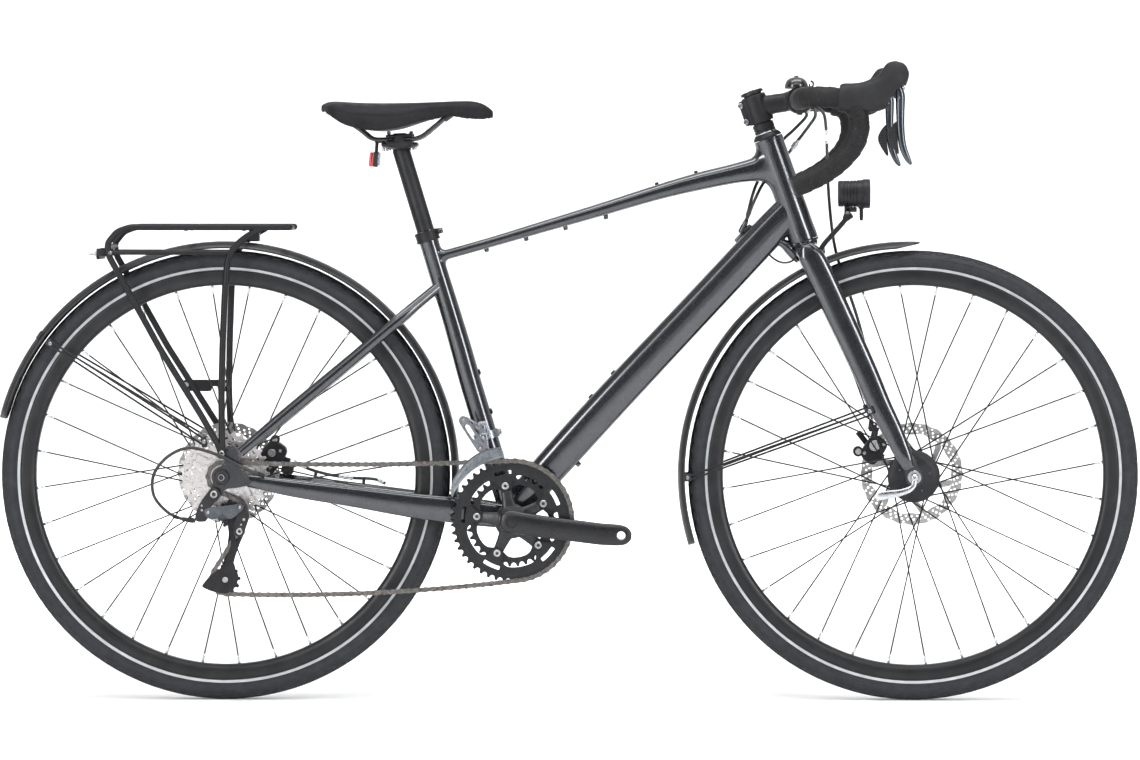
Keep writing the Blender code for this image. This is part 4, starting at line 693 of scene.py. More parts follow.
def make_surfaces():
    """The materials with a pattern of their own."""
    out = {}
    # Tyre: dull rubber, a fine casing weave on the walls, and dust on the tread.
    for which, centre in (("front", FRONT), ("rear", REAR)):
        s = Surface(which + "_tyre_rubber", 0.72, 0.0, spec=0.35)
        radius, angle = s.turned(centre)
        base = s.colour((0.010, 0.011, 0.0135), (0.016, 0.0175, 0.021), s.noise(30, 5, 0.6), 0.3, 0.7)
        base = s.over(base, (0.03, 0.03, 0.031), s.noise(120, 6, 0.7), 0.62, 0.95)
        ring = s.maths("SINE", s.maths("MULTIPLY", radius, 5200.0))
        threads = s.maths("SINE", s.maths("ADD", s.maths("MULTIPLY", angle, 900.0), s.maths("MULTIPLY", radius, 2600.0)))
        s.over(base, (0.026, 0.028, 0.032), threads, 0.2, 1.4)
        s.rough(0.6, 0.82, s.noise(80, 5))
        s.bump(ring, 0.02)
        s.bump(threads, 0.018)
        s.bump(s.noise(900, 3), 0.03)
        out[which + "_tyre"] = s.mat
    # The reflective band laminated to the tyre's wall: glass beads in a grey film.
    s = Surface("reflective_band", 0.42, 0.25, spec=0.6)
    s.colour((0.3, 0.31, 0.32), (0.42, 0.43, 0.44), s.noise(60, 4), 0.3, 0.7)
    s.bump(s.voronoi(2600), 0.02)
    out["band"] = s.mat
    # Saddle cover: coated microfibre with a fine pebble grain.
    s = Surface("saddle_skin", 0.6, 0.0, spec=0.12)
    base = s.colour((0.007, 0.007, 0.008), (0.012, 0.012, 0.014), s.noise(26, 5), 0.3, 0.7)
    s.over(base, (0.019, 0.019, 0.022), s.voronoi(900), 0.55, 0.9)
    s.rough(0.46, 0.64, s.noise(60, 4))
    s.bump(s.voronoi(900), 0.12)
    s.bump(s.noise(2600, 2), 0.02)
    out["saddle"] = s.mat
    s = Surface("saddle_panel", 0.5, 0.0, spec=0.25)
    base = s.colour((0.01, 0.01, 0.011), (0.017, 0.017, 0.019), s.noise(26, 5), 0.3, 0.7)
    # The perforations are darker dots over a bump: the dark in each hole is painted shade.
    dots = s.voronoi(320, "F1")
    s.over(base, (0.006, 0.006, 0.007), s.maths("SUBTRACT", 1.0, dots), 0.72, 0.85)
    s.rough(0.42, 0.58, s.noise(60, 4))
    s.bump(dots, 0.15)
    out["saddle_panel"] = s.mat
    # Bar tape: foamed cork with specks.
    s = Surface("bar_tape", 0.62, 0.0, spec=0.2)
    base = s.colour((0.006, 0.006, 0.0065), (0.011, 0.011, 0.012), s.noise(40, 5), 0.3, 0.7)
    s.over(base, (0.026, 0.026, 0.028), s.voronoi(700), 0.7, 0.9)
    s.rough(0.54, 0.72, s.noise(90, 4))
    s.bump(s.voronoi(700), 0.1)
    s.bump(s.noise(1800, 2), 0.04)
    out["tape"] = s.mat
    # Chain: bare steel under oil, browner between the plates.
    s = Surface("chain_steel", 0.36, 0.9, spec=0.5)
    base = s.colour((0.085, 0.079, 0.075), (0.21, 0.198, 0.188), s.noise(220, 4), 0.3, 0.7)
    s.over(base, (0.05, 0.04, 0.034), s.noise(90, 5), 0.6, 0.85)
    s.rough(0.28, 0.5, s.noise(300, 4))
    s.bump(s.noise(1500, 3), 0.02)
    out["chain"] = s.mat
    # Sprockets: nickel plate with warm oil haze.
    s = Surface("sprocket_nickel", 0.3, 1.0)
    base = s.colour((0.58, 0.56, 0.55), (0.78, 0.76, 0.755), s.noise(150, 4), 0.3, 0.7)
    s.over(base, (0.46, 0.42, 0.38), s.noise(70, 5), 0.6, 0.9)
    s.rough(0.22, 0.42, s.noise(300, 4))
    s.bump(s.noise(1300, 3), 0.02)
    out["sprocket"] = s.mat
    # Rotors: stainless steel with a circular grind on the braking track.
    for which, centre in (("front", FRONT), ("rear", REAR)):
        s = Surface(which + "_rotor_steel", 0.3, 1.0)
        radius, angle = s.turned(centre)
        s.colour((0.34, 0.335, 0.335), (0.52, 0.51, 0.505), s.noise(180, 5), 0.3, 0.7)
        grind = s.tree.nodes.new("ShaderNodeTexNoise")
        grind.noise_dimensions = "1D"
        grind.inputs["Scale"].default_value = 1.0
        grind.inputs["Detail"].default_value = 3
        s.link(s.maths("MULTIPLY", radius, 9000.0), grind.inputs["W"])
        s.rough(0.2, 0.42, grind.outputs["Fac"])
        s.bump(grind.outputs["Fac"], 0.02)
        out[which + "_rotor"] = s.mat
    # Cable housing: smooth vinyl, faintly ribbed by the coil inside.
    s = Surface("cable_housing", 0.34, 0.0, spec=0.5)
    s.colour((0.008, 0.008, 0.009), (0.014, 0.014, 0.016), s.noise(60, 4), 0.3, 0.7)
    s.rough(0.28, 0.42, s.noise(120, 4))
    s.bump(s.noise(420, 2), 0.04)
    out["housing"] = s.mat
    # Red lens with cube corners behind a smooth skin.
    s = Surface("red_lens", 0.12, 0.0, coat=1.0, coat_rough=0.03, spec=0.6)
    base = s.colour((0.24, 0.01, 0.009), (0.44, 0.02, 0.017), s.voronoi(420, output="Distance"), 0.2, 0.7)
    s.bump(s.voronoi(420), 0.2)
    out["red"] = s.mat
    s = Surface("clear_lens", 0.08, 0.0, coat=1.0, coat_rough=0.02, spec=0.8)
    s.colour((0.36, 0.38, 0.4), (0.62, 0.65, 0.68), s.voronoi(260), 0.2, 0.7)
    s.bump(s.voronoi(260), 0.25)
    s.shader.inputs["Transmission Weight"].default_value = 0.35
    out["clear"] = s.mat
    s = Surface("lamp_mirror", 0.1, 1.0)
    s.colour((0.7, 0.71, 0.73), (0.9, 0.9, 0.9), s.noise(60, 3), 0.3, 0.7)
    s.bump(s.noise(150, 2), 0.2)
    out["mirror"] = s.mat
    # Rim: satin anodised with faint turning marks.
    for which, centre in (("front", FRONT), ("rear", REAR)):
        s = Surface(which + "_rim_black", 0.4, 0.5, spec=0.5)
        radius, angle = s.turned(centre)
        s.colour((0.011, 0.0115, 0.0125), (0.021, 0.0215, 0.023), s.noise(24, 5), 0.3, 0.7)
        s.rough(0.32, 0.46, s.noise(90, 5))
        s.bump(s.maths("SINE", s.maths("MULTIPLY", radius, 9000.0)), 0.006)
        s.bump(s.noise(1400, 3), 0.01)
        out[which + "_rim"] = s.mat
    return out


M = make_surfaces()

# ---------------------------------------------------------------- stage, light and camera
ROOM = (0.1, 1.0, 1.1)  # the room's brightness in front, behind and above


def make_stage():
    floor = bpy.data.meshes.new("floor")
    # One smooth sheet: a floor that curves up far behind.
    rows = [(-14, 0)] + [(y, 0) for y in (-6, -2, 2, 5, 8)]
    rows += [(8 + 3 * math.sin(math.radians(a)), 3 - 3 * math.cos(math.radians(a))) for a in range(9, 91, 9)] + [(11, 12)]
    verts, faces = [], []
    for y, z in rows:
        verts += [(-16, y, z), (16, y, z)]
    for i in range(len(rows) - 1):
        faces.append((2 * i, 2 * i + 1, 2 * i + 3, 2 * i + 2))
    floor.from_pydata(verts, [], faces)
    floor.shade_smooth()
    obj = bpy.data.objects.new("floor", floor)
    bpy.context.scene.collection.objects.link(obj)
    s = Surface("floor_paper", 0.85, 0.0, spec=0.2)
    s.colour((0.93, 0.93, 0.932), (0.955, 0.955, 0.957), s.noise(1.5, 3), 0.3, 0.7)
    # Seen from behind, the sheet is clear, so the far side of the object can be looked at as well.
    nodes = s.mat.node_tree.nodes
    links = s.mat.node_tree.links
    end = next(n for n in nodes if n.bl_idname == "ShaderNodeOutputMaterial")
    front = end.inputs["Surface"].links[0].from_socket
    facing = nodes.new("ShaderNodeNewGeometry")
    clear = nodes.new("ShaderNodeBsdfTransparent")
    either = nodes.new("ShaderNodeMixShader")
    links.new(facing.outputs["Backfacing"], either.inputs[0])
    links.new(front, either.inputs[1])
    links.new(clear.outputs[0], either.inputs[2])
    links.new(either.outputs[0], end.inputs["Surface"])
    floor.materials.append(s.mat)

    # The room is bright above and behind the object, and dim on the camera's side, as in a studio.
    world = bpy.data.worlds.new("studio")
    bpy.context.scene.world = world
    world.use_nodes = True
    tree = world.node_tree
    sky = tree.nodes["Background"]
    where = tree.nodes.new("ShaderNodeTexCoord")
    split = tree.nodes.new("ShaderNodeSeparateXYZ")
    tree.links.new(where.outputs["Generated"], split.inputs[0])

    def fade(socket, a, b, low, high):
        node = tree.nodes.new("ShaderNodeMapRange")
        node.interpolation_type = "SMOOTHSTEP"
        for key, value in (("From Min", a), ("From Max", b), ("To Min", low), ("To Max", high)):
            node.inputs[key].default_value = value
        tree.links.new(socket, node.inputs["Value"])
        return node.outputs["Result"]

    both = tree.nodes.new("ShaderNodeMath")
    both.operation = "MAXIMUM"
    tree.links.new(fade(split.outputs["Y"], -0.25, 0.45, ROOM[0], ROOM[1]), both.inputs[0])
    tree.links.new(fade(split.outputs["Z"], 0.55, 0.95, ROOM[0], ROOM[2]), both.inputs[1])
    sky.inputs["Color"].default_value = (0.98, 0.99, 1.0, 1)
    tree.links.new(both.outputs[0], sky.inputs["Strength"])

    def softbox(name, at, aim, width, height, power, colour=(1, 1, 1)):
        data = bpy.data.lights.new(name, "AREA")
        data.shape = "RECTANGLE"
        data.size, data.size_y = width, height
        data.energy = power
        data.color = colour
        light = bpy.data.objects.new(name, data)
        bpy.context.scene.collection.objects.link(light)
        light.location = at
        light.rotation_mode = "QUATERNION"
        light.rotation_quaternion = (Vector(aim) - Vector(at)).to_track_quat("-Z", "Y")
        return light

    softbox("top", (0.1, -0.5, 3.4), (0, 0, 0.3), 3.8, 1.1, 92)
    softbox("strip_left", (-3.1, -3.6, 1.6), (-0.1, 0, 0.5), 1.0, 2.6, 125, (1.0, 0.99, 0.98))
    softbox("strip_right", (3.3, -3.2, 1.7), (0.2, 0, 0.55), 1.0, 2.6, 118, (0.98, 0.99, 1.0))
    softbox("high_front", (0.3, -3.6, 3.9), (0, 0, 0.45), 3.4, 0.34, 20)
    for x in (-3.2, 3.2):
        softbox("backdrop_%d" % x, (x, 2.6, 3.4), (x * 0.8, 9.5, 0.6), 3.0, 0.6, 420)
    softbox("floor_front", (0.0, -2.6, 2.6), (0, -1.2, 0), 5.0, 0.5, 30)

    data = bpy.data.cameras.new("camera")
    data.sensor_width = 36.0
    data.lens = 5178.7024 / 1140 * 36
    data.shift_x, data.shift_y = -0.04, -0.04
    data.clip_start, data.clip_end = 0.1, 100
    camera = bpy.data.objects.new("camera", data)
    bpy.context.scene.collection.objects.link(camera)
    yaw, pitch = 0.0134, 0.0273
    camera.location = (0.1797974, -8.03, 0.7866264)
    camera.rotation_mode = "XYZ"
    camera.rotation_euler = (math.pi / 2 - pitch, 0, yaw)
    bpy.context.scene.camera = camera
    bpy.context.scene.view_settings.view_transform = "Standard"
    bpy.context.scene.view_settings.look = "None"


make_stage()


# ---------------------------------------------------------------- frame
def stations(rows, count, power, side_count=44, closed=False):
    """Rows of (x, y, z, half width, half height) as an even path and its sections."""
    even = dense(rows, count)
    return [tuple(r[:3]) for r in even], [superellipse(r[3], r[4], side_count, power) for r in even]


def make_frame():
    head_low, head_high = Vector((HEAD_BOTTOM[0], 0, HEAD_BOTTOM[1])), on_head(0)
    seat_low, seat_top = on_seat(BB[1] + 4), on_seat(728)
    skin = Skin()
    length = (head_high - head_low).length
    # Head tube: a lathe with thickened ends and a bore for the headset.
    m = axis_matrix(head_low, HEAD_DIR)
    skin.add(lathe([(17.2, 0), (22.6, 0), (23.3, 0.6), (23.3, 10), (23.0, 14), (22.9, 30), (22.7, length * 0.5), (22.9, length - 26),
                    (23.0, length - 12), (23.3, length - 9), (23.3, length - 0.6), (22.6, length), (17.2, length)], 72, m))
    # Top tube.
    rows = [(-207, 0, 686.2, 11, 8), (-120, 0, 710.6, 13.5, 8.3), (-45.7, 0, 732.6, 15.5, 9.3), (47.5, 0, 760.2, 16.5, 10.6),
            (140.7, 0, 788.5, 17, 12.3), (200, 0, 804.2, 17, 14.3), (259.5, 0, 817.4, 17, 16), (290, 0, 823.5, 17, 19), (316, 0, 829, 16, 24)]
    path, sections = stations(rows, 60, 2.7, 56)
    top = rings_along(path, sections, (0, 1, 0))
    skin.add(skinned(top))
    skin.add(fillet(list(reversed(top)), head_low, head_high, 22.95, 17) or fillet(list(reversed(top)), head_low, head_high, 22.95, 13) or ([], []))
    skin.add(fillet(top, seat_low, seat_top, 15.5, 9))
    # Down tube with a crease along each side.
    crease = [(21.5, 4), (20.5, 15), (12.5, 27), (-12.5, 27), (-20.5, 15), (-21.5, 4), (-20.5, -9), (-15.5, -21.5), (-8, -26), (8, -26),
              (15.5, -21.5), (20.5, -9)]
    crease = softened(crease, 3, 0.22)
    rows = [(-80, 0, 303, 0.9), (-35.6, 0, 352.7, 1.0), (47.5, 0, 444.7, 1.04), (186, 0, 593, 1.0), (324.3, 0, 741.0, 0.97),
            (340, 0, 758, 0.93)]
    even = dense(rows, 60)
    down = rings_along([r[:3] for r in even], [[(u * r[3], v * r[3]) for u, v in crease] for r in even], (0, 1, 0))
    skin.add(skinned(down))
    skin.add(fillet(list(reversed(down)), head_low, head_high, 22.95, 15) or fillet(list(reversed(down)), head_low, head_high, 22.95, 12) or ([], []))
    skin.add(fillet(down, (BB[0], -34, BB[1]), (BB[0], 34, BB[1]), 21, 8) or ([], []))
    # The weld pool under the down tube, where it meets the head tube.
    rows = [(322, 0, 712, 12, 6), (333, 0, 707.5, 14, 8), (342, 0, 699, 14.5, 9), (349, 0, 689, 13, 7.5), (355, 0, 680.5, 9, 4)]
    path, sections = stations(rows, 24, 2.3, 32)
    skin.add(sweep(path, sections, (0, 1, 0)))
    # Seat tube with its collar end; the collar's slot is not cut.
    seat_len = (seat_top - seat_low).length
    skin.add(lathe([(0, 0), (15.5, 0), (15.5, seat_len - 22), (15.9, seat_len - 18), (15.9, seat_len - 0.5), (15.4, seat_len),
                    (13.9, seat_len), (13.9, seat_len - 60), (0, seat_len - 60)], 64, axis_matrix(seat_low, SEAT_DIR)))
    # It swells a little towards the bottom bracket.
    swell = [(292, -1.4, 16.6), (350, -1.8, 17.2), (410, -2.0, 17.2), (458, -2.0, 17.1), (496, -1.75, 17.3), (543, -0.6, 17.0), (590, 0, 16.3),
             (635, 0, 15.75), (660, 0, 15.45)]
    even = dense([(on_seat(z).x + dx, 0, z, r) for z, dx, r in swell], 60)
    skin.add(skinned(rings_along([p[:3] for p in even], [circle2(p[3], 64) for p in even], (0, 1, 0))))
    # Bottom bracket shell.
    skin.add(ring_y(BB, [(17.6, -34), (20.4, -34), (21, -33.4), (21, 33.4), (20.4, 34), (17.6, 34)], 72))
    bb_p, bb_q = Vector((BB[0], -40, BB[1])), Vector((BB[0], 40, BB[1]))
    seat_rings = [[p for p in ring] for ring in rings_along([seat_low + SEAT_DIR * t for t in (0, 10, 20, 24, 28, 40, 60)], circle2(15.5, 48), (0, 1, 0))]
    skin.add(fillet(seat_rings, bb_p, bb_q, 21, 7) or ([], []))
    for sign in (-1, 1):
        rows = [(-96, sign * 21, 285.5, 6.5, 17.5), (-118, sign * 25.5, 288, 6.8, 18.8), (-150, sign * 28.3, 292, 7.3, 19.7),
                (-186, sign * 34.2, 297.3, 7.6, 20), (-240, sign * 41, 303.8, 8, 19.3), (-334, sign * 49.5, 318.3, 8, 16.3),
                (-430, sign * 60, 332.3, 7.5, 13.3), (-494, sign * 66.3, 343.5, 6, 9.5)]
        path, sections = stations(rows, 60, 2.5, 40)
        chain_stay = rings_along(path, sections, (0, 1, 0))
        skin.add(skinned(chain_stay))
        made = fillet(chain_stay, bb_p, bb_q, 21, 5)
        if made:
            skin.add(made)
        rows = [(-204, sign * 8, 640.5, 8, 8), (-232, sign * 22, 617, 8, 8.2), (-262, sign * 36.0, 591, 8, 9), (-329, sign * 44, 534, 8, 9.3),
                (-439, sign * 59, 442.5, 7.6, 9.3), (-505, sign * 67.5, 387, 6.5, 7.5)]
        path, sections = stations(rows, 70, 2.0, 36)
        seat_stay = rings_along(path, sections, (0, 1, 0))
        skin.add(skinned(seat_stay))
        made = fillet(seat_stay, seat_low, seat_top, 15.5, 7)
        if made:
            skin.add(made)
    # Bridges between the stays.
    skin.add(rod((-247.5, -30, 600), (-247.5, 30, 600), 5.5, n=28))
    skin.add(rod((-152, -26, 297), (-152, 26, 297), 6, n=28))
    finish(skin, "frame_tubes", PAINT, "frame", ["frame"], angle=40)

    # Dropouts, cut from plate, with the derailleur hanger on the right.
    plates = Skin()
    outline = [(-488, 337), (-490, 347), (-501, 353), (-504, 368), (-508, 386), (-513, 397), (-524, 398), (-531, 391), (-527, 376), (-534, 366),
               (-546, 361), (-550, 350), (-546, 338), (-552, 330), (-555, 318), (-551, 311), (-541, 311), (-536, 320), (-528, 331), (-508, 333)]
    plain = outline[:12] + [(-544, 338), (-534, 332), (-522, 331), (-508, 333)]
    for sign in (-1, 1):
        shape2 = softened(outline if sign < 0 else plain, 2, 0.2)
        plates.add(plate(shape2, sign * 67.6, sign * 74.2, [full(REAR, 5.6, 28)]))
    finish(plates, "frame_dropouts", PAINT, "frame", bevel=0.9, segments=3)
    details = Skin()
    for sign in (-1, 1):
        # The eyes for the mudguard's and rack's screws; the raised pads where the stays meet the plates are not made.
        details.add(rod((-530, sign * 74, 389), (-530, sign * 76.2, 389), 6.4, n=28, chamfer=0.5))
    # Bottle bosses: threaded inserts with a flange and a low-head screw each.
    down_dir, down_up = Vector((0.6825, 0, 0.7309)), Vector((-0.7309, 0, 0.6825))
    bosses = Skin()
    for t in (0.3, 0.93):
        base = Vector((47.5, 0, 444.7)) + down_dir * (t * 80 - 14) + down_up * 24
        bosses.add(rod(base, base + down_up * 4.3, 5.2, n=28, chamfer=0.5))
        bosses.add(bolt(base + down_up * 3.9, down_up, 4.3, 2.4, 1.6, 1.4))
    for z in (443.5, 504.5):
        base = on_seat(z) + SEAT_FWD * 14.4
        bosses.add(rod(base, base + SEAT_FWD * 2.4, 5.0, n=28, chamfer=0.5))
        bosses.add(bolt(base + SEAT_FWD * 1.9, SEAT_FWD, 3.9, 1.9, 1.5, 1.2))
    finish(bosses, "bottle_bosses", ANODISED, "frame")
    # Cable stops on the down tube and housing guides along the tubes.
    details.add(block((270.5, 8, 723.5), (36, 12.4, 8.5), turn=47, r=3.0, seg=3))
    details.add(block((268.5, 8, 731), (15, 12.6, 9), turn=66, r=3.0, seg=3))
    for y in (4, 12):
        details.add(rod((266, y, 724), (274.2, y, 742.5), 4.1, n=24, chamfer=0.8))
    details.add(block((14, 0, 366.5), (8, 12, 8), turn=47, r=1.5))
    for x, z in ((-127.7, 699.9), (-66.3, 716.9), (-5.3, 733.7), (57.3, 750.7)):
        details.add(block((x, 0, z + 1.2), (6.5, 7, 5.2), turn=16, r=1.1))
        details.add(rod(Vector((x, 0, z - 2.0)) - Vector((3.4, 0, 1.0)), Vector((x, 0, z - 2.0)) + Vector((3.4, 0, 1.0)), 2.9, n=20, chamfer=0.5))
    for x, z in ((136, 800.2), (196.6, 818.0)):
        details.add(block((x, 0, z), (6.5, 6, 6.4), turn=16, r=1.3))
    finish(details, "frame_stops", PAINT, "frame", angle=40)
    stop_tips = Skin()
    for y in (4, 12):
        stop_tips.add(rod((273.8, y, 741.6), (275.6, y, 745.6), 3.3, n=20, chamfer=0.5))
    finish(stop_tips, "frame_stop_ferrules", ANODISED, "frame")


make_frame()


def make_seat_clamp():
    low, high = on_seat(711.5), on_seat(727.0)
    length = (high - low).length
    skin = Skin()
    m = axis_matrix(low, SEAT_DIR)
    skin.add(lathe([(15.9, 0.2), (18.2, 0), (18.6, 0.4), (18.6, 3.6), (18.1, 4.2), (18.1, length - 4.2), (18.6, length - 3.6),
                    (18.6, length - 0.4), (18.2, length), (15.9, length - 0.2)], 72, m))
    ear = on_seat(722) + SEAT_FWD * 21.0
    for y in (-4.3, 4.3):
        skin.add(block(ear + Vector((0, y, 0)), (9.6, 6.4, 8.8), turn=16.85, r=1.8, seg=3))
    finish(skin, "seat_clamp_ring", ANODISED_SATIN, "frame", ["seat_clamp"])
    screw = Skin()
    at = ear + SEAT_FWD * 1.2
    screw.add(bolt(at + Vector((0, -7.2, 0)), (0, -1, 0), 2.9, 1.1, 1.5, 0.9))
    screw.add(rod(at + Vector((0, -7.2, 0)), at + Vector((0, 7.2, 0)), 1.9, n=16))
    finish(screw, "seat_clamp_screw", STEEL, "frame")


make_seat_clamp()


def make_bottom_bracket():
    for sign, name in ((-1, "right"), (1, "left")):
        skin = Skin()
        outline = []
        # The cup's rim has sixteen tool notches.
        for i in range(16):
            a = 22.5 * i
            outline += [polar(BB, 22.0, a + d) for d in (0, 3.5, 7, 11.4)] + [polar(BB, 20.4, a + d) for d in (12.2, 14, 17, 20, 21.7)]
        shape2 = [(p.x, p.z) for p in outline]
        y0, y1 = sign * 34.4, sign * 41.0
        skin.add(plate(shape2, min(y0, y1), max(y0, y1), [full(BB, 16, 40)]))
        skin.add(ring_y(BB, [(12.6, sign * 34.5), (20.2, sign * 34.5), (20.2, sign * 42.6), (19.2, sign * 43.5), (12.6, sign * 43.5)], 64))
        finish(skin, "bottom_bracket_cup_" + name, ANODISED, "frame", ["bottom_bracket"], bevel=0.4)


make_bottom_bracket()


# ---------------------------------------------------------------- fork, headset and stem
def remeshed(skin, voxel, smooth, name):
    """The skin as one blended body: its pieces are fused on a fine grid, and the grid's steps smoothed away."""
    mesh = bpy.data.meshes.new(name)
    mesh.from_pydata([(x * MM, y * MM, z * MM) for x, y, z in skin.v], [], skin.f)
    obj = bpy.data.objects.new(name, mesh)
    bpy.context.scene.collection.objects.link(obj)
    mod = obj.modifiers.new("fuse", "REMESH")
    mod.mode = "VOXEL"
    mod.voxel_size = voxel * MM
    mod.use_smooth_shade = True
    mod = obj.modifiers.new("smooth", "SMOOTH")
    mod.factor = 0.5
    mod.iterations = smooth
    bpy.context.view_layer.update()
    graph = bpy.context.evaluated_depsgraph_get()
    done = bpy.data.meshes.new_from_object(obj.evaluated_get(graph), depsgraph=graph)
    bpy.data.objects.remove(obj, do_unlink=True)
    bpy.data.meshes.remove(mesh)
    return done


def make_fork():
    crown = Vector((368.0, 0, 697.2))
    bottom = Vector((HEAD_BOTTOM[0], 0, HEAD_BOTTOM[1]))
    raw = Skin()
    raw.add(rod(bottom - HEAD_DIR * 14, bottom - HEAD_DIR * 1.0, 17.6, 22.4, n=48))
    rows = [(369.5, -37, 695, 16.6, 13), (368.6, -22, 697, 18.8, 14.8), (368.3, 0, 697.2, 20, 15.4), (368.6, 22, 697, 18.8, 14.8), (369.5, 37, 695, 16.6, 13)]
    path, sections = stations(rows, 20, 2.2, 40)
    raw.add(sweep(path, sections, (1, 0, 0)))
    for sign in (-1, 1):
        rows = [(366.5, sign * 36, 706, 8.5, 11), (371.5, sign * 37.5, 694, 10.6, 18.2), (381, sign * 39, 677, 11.0, 20), (416.3, sign * 43.5, 601.5, 10.4, 20.2),
                (436.6, sign * 46.2, 558, 10, 19.4), (461.2, sign * 49.5, 504, 9.6, 18.6), (481, sign * 52.3, 458, 9, 17.5), (501.5, sign * 54.8, 417, 8.2, 15.5),
                (519.5, sign * 57.2, 377, 7.2, 12), (526.0, sign * 57.4, 361, 5.2, 8.6)]
        path, sections = stations(rows, 60, 2.25, 40)
        raw.add(sweep(path, sections, (0, 1, 0)))
    done = remeshed(raw, 1.15, 14, "fork_shell")
    bm = bmesh.new()
    bm.from_mesh(done)
    # The middle of each leg is matt: two clean cuts square to the leg part the finishes.
    leg = Vector((0.415, 0, -0.91)).normalized()
    cuts = [Vector((400.5, 0, 632.5)) * MM, Vector((473.5, 0, 476.5)) * MM]
    for at in cuts:
        bmesh.ops.bisect_plane(bm, geom=bm.verts[:] + bm.edges[:] + bm.faces[:], dist=1e-7, plane_co=at, plane_no=leg)
    for face in bm.faces:
        c = face.calc_center_median()
        inside = (c - cuts[0]).dot(leg) > 0 and (c - cuts[1]).dot(leg) < 0
        face.material_index = 1 if inside else 0
        face.smooth = True
    bm.to_mesh(done)
    bm.free()
    done.materials.clear()
    done.materials.append(PAINT)
    done.materials.append(MATT_BAND)
    obj = bpy.data.objects.new("fork_blades", done)
    bpy.context.scene.collection.objects.link(obj)
    done.set_sharp_from_angle(angle=math.radians(60))
    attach(obj, "fork")
    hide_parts("fork")
    # Dropout plates, the steerer inside the head tube, and the small eyes of mudguard and lamp.
    tabs = Skin()
    outline = softened([(512, 380), (519.5, 352), (521, 340), (528, 335), (537, 334.5), (545, 340), (547, 349), (544, 358), (538, 367), (532, 386)], 3, 0.22)
    for sign in (-1, 1):
        tabs.add(plate(outline, sign * 50.4, sign * 56.4, [full(FRONT, 5.5, 28)]))
    finish(tabs, "fork_dropouts", PAINT, "fork", bevel=1.0, segments=3)
    eyes = Skin()
    for sign in (-1, 1):
        eyes.add(rod((466, sign * 50, 452), (466, sign * 61, 452), 4.6, n=24, chamfer=0.8))
    finish(eyes, "fork_eyelets", PAINT, "fork")
    steerer = Skin()
    steerer.add(rod(bottom - HEAD_DIR * 12, on_head(72), 14.3, n=40, chamfer=0.8))
    finish(steerer, "steerer", ANODISED_SATIN, "fork")
    seat = Skin()
    m = axis_matrix(bottom - HEAD_DIR * 4.6, HEAD_DIR)
    seat.add(lathe([(14.5, 0), (21.6, 0), (22.9, 0.8), (23.2, 2.4), (22.6, 4.2), (14.5, 4.2)], 64, m))
    finish(seat, "headset_lower_ring", BLACK_GLOSS, "fork")


make_fork()


def make_headset():
    skin = Skin()
    m = axis_matrix(on_head(0.6), HEAD_DIR)
    skin.add(lathe([(14.7, 0), (22.2, 0), (22.6, 0.4), (22.5, 1.6), (21.6, 3.4), (19.5, 6.4), (17.6, 8.2), (16.8, 8.6), (14.7, 8.6)], 72, m))
    for low, high in ((10.0, 14.8), (15.1, 24.9)):
        m = axis_matrix(on_head(low), HEAD_DIR)
        h = high - low
        skin.add(lathe([(14.7, 0), (16.2, 0), (16.6, 0.4), (16.6, h - 0.4), (16.2, h), (14.7, h)], 64, m))
    finish(skin, "headset_stack", ANODISED_SATIN, "fork", ["headset_spacers"])
    line = Skin()
    m = axis_matrix(on_head(8.8), HEAD_DIR)
    line.add(lathe([(14.8, 0), (16.9, 0), (17.1, 0.25), (17.1, 1.2), (16.9, 1.45), (14.8, 1.45)], 64, m))
    finish(line, "headset_silver_washer", SILVER, "fork")
    cap = Skin()
    m = axis_matrix(on_head(71.0), HEAD_DIR)
    cap.add(lathe([(0, 0), (14.5, 0), (14.8, 1.6), (18.0, 1.7), (18.1, 3.2), (17.0, 6.0), (15.2, 6.9), (7.4, 7.1), (6.9, 6.1), (0, 6.0)], 64, m))
    finish(cap, "top_cap_disc", ANODISED, "fork", ["top_cap"])
    screw = Skin()
    screw.add(bolt(on_head(76.6), HEAD_DIR, 4.4, 2.6, 2.4, 2.0))
    finish(screw, "top_cap_bolt", STEEL, "fork")


make_headset()


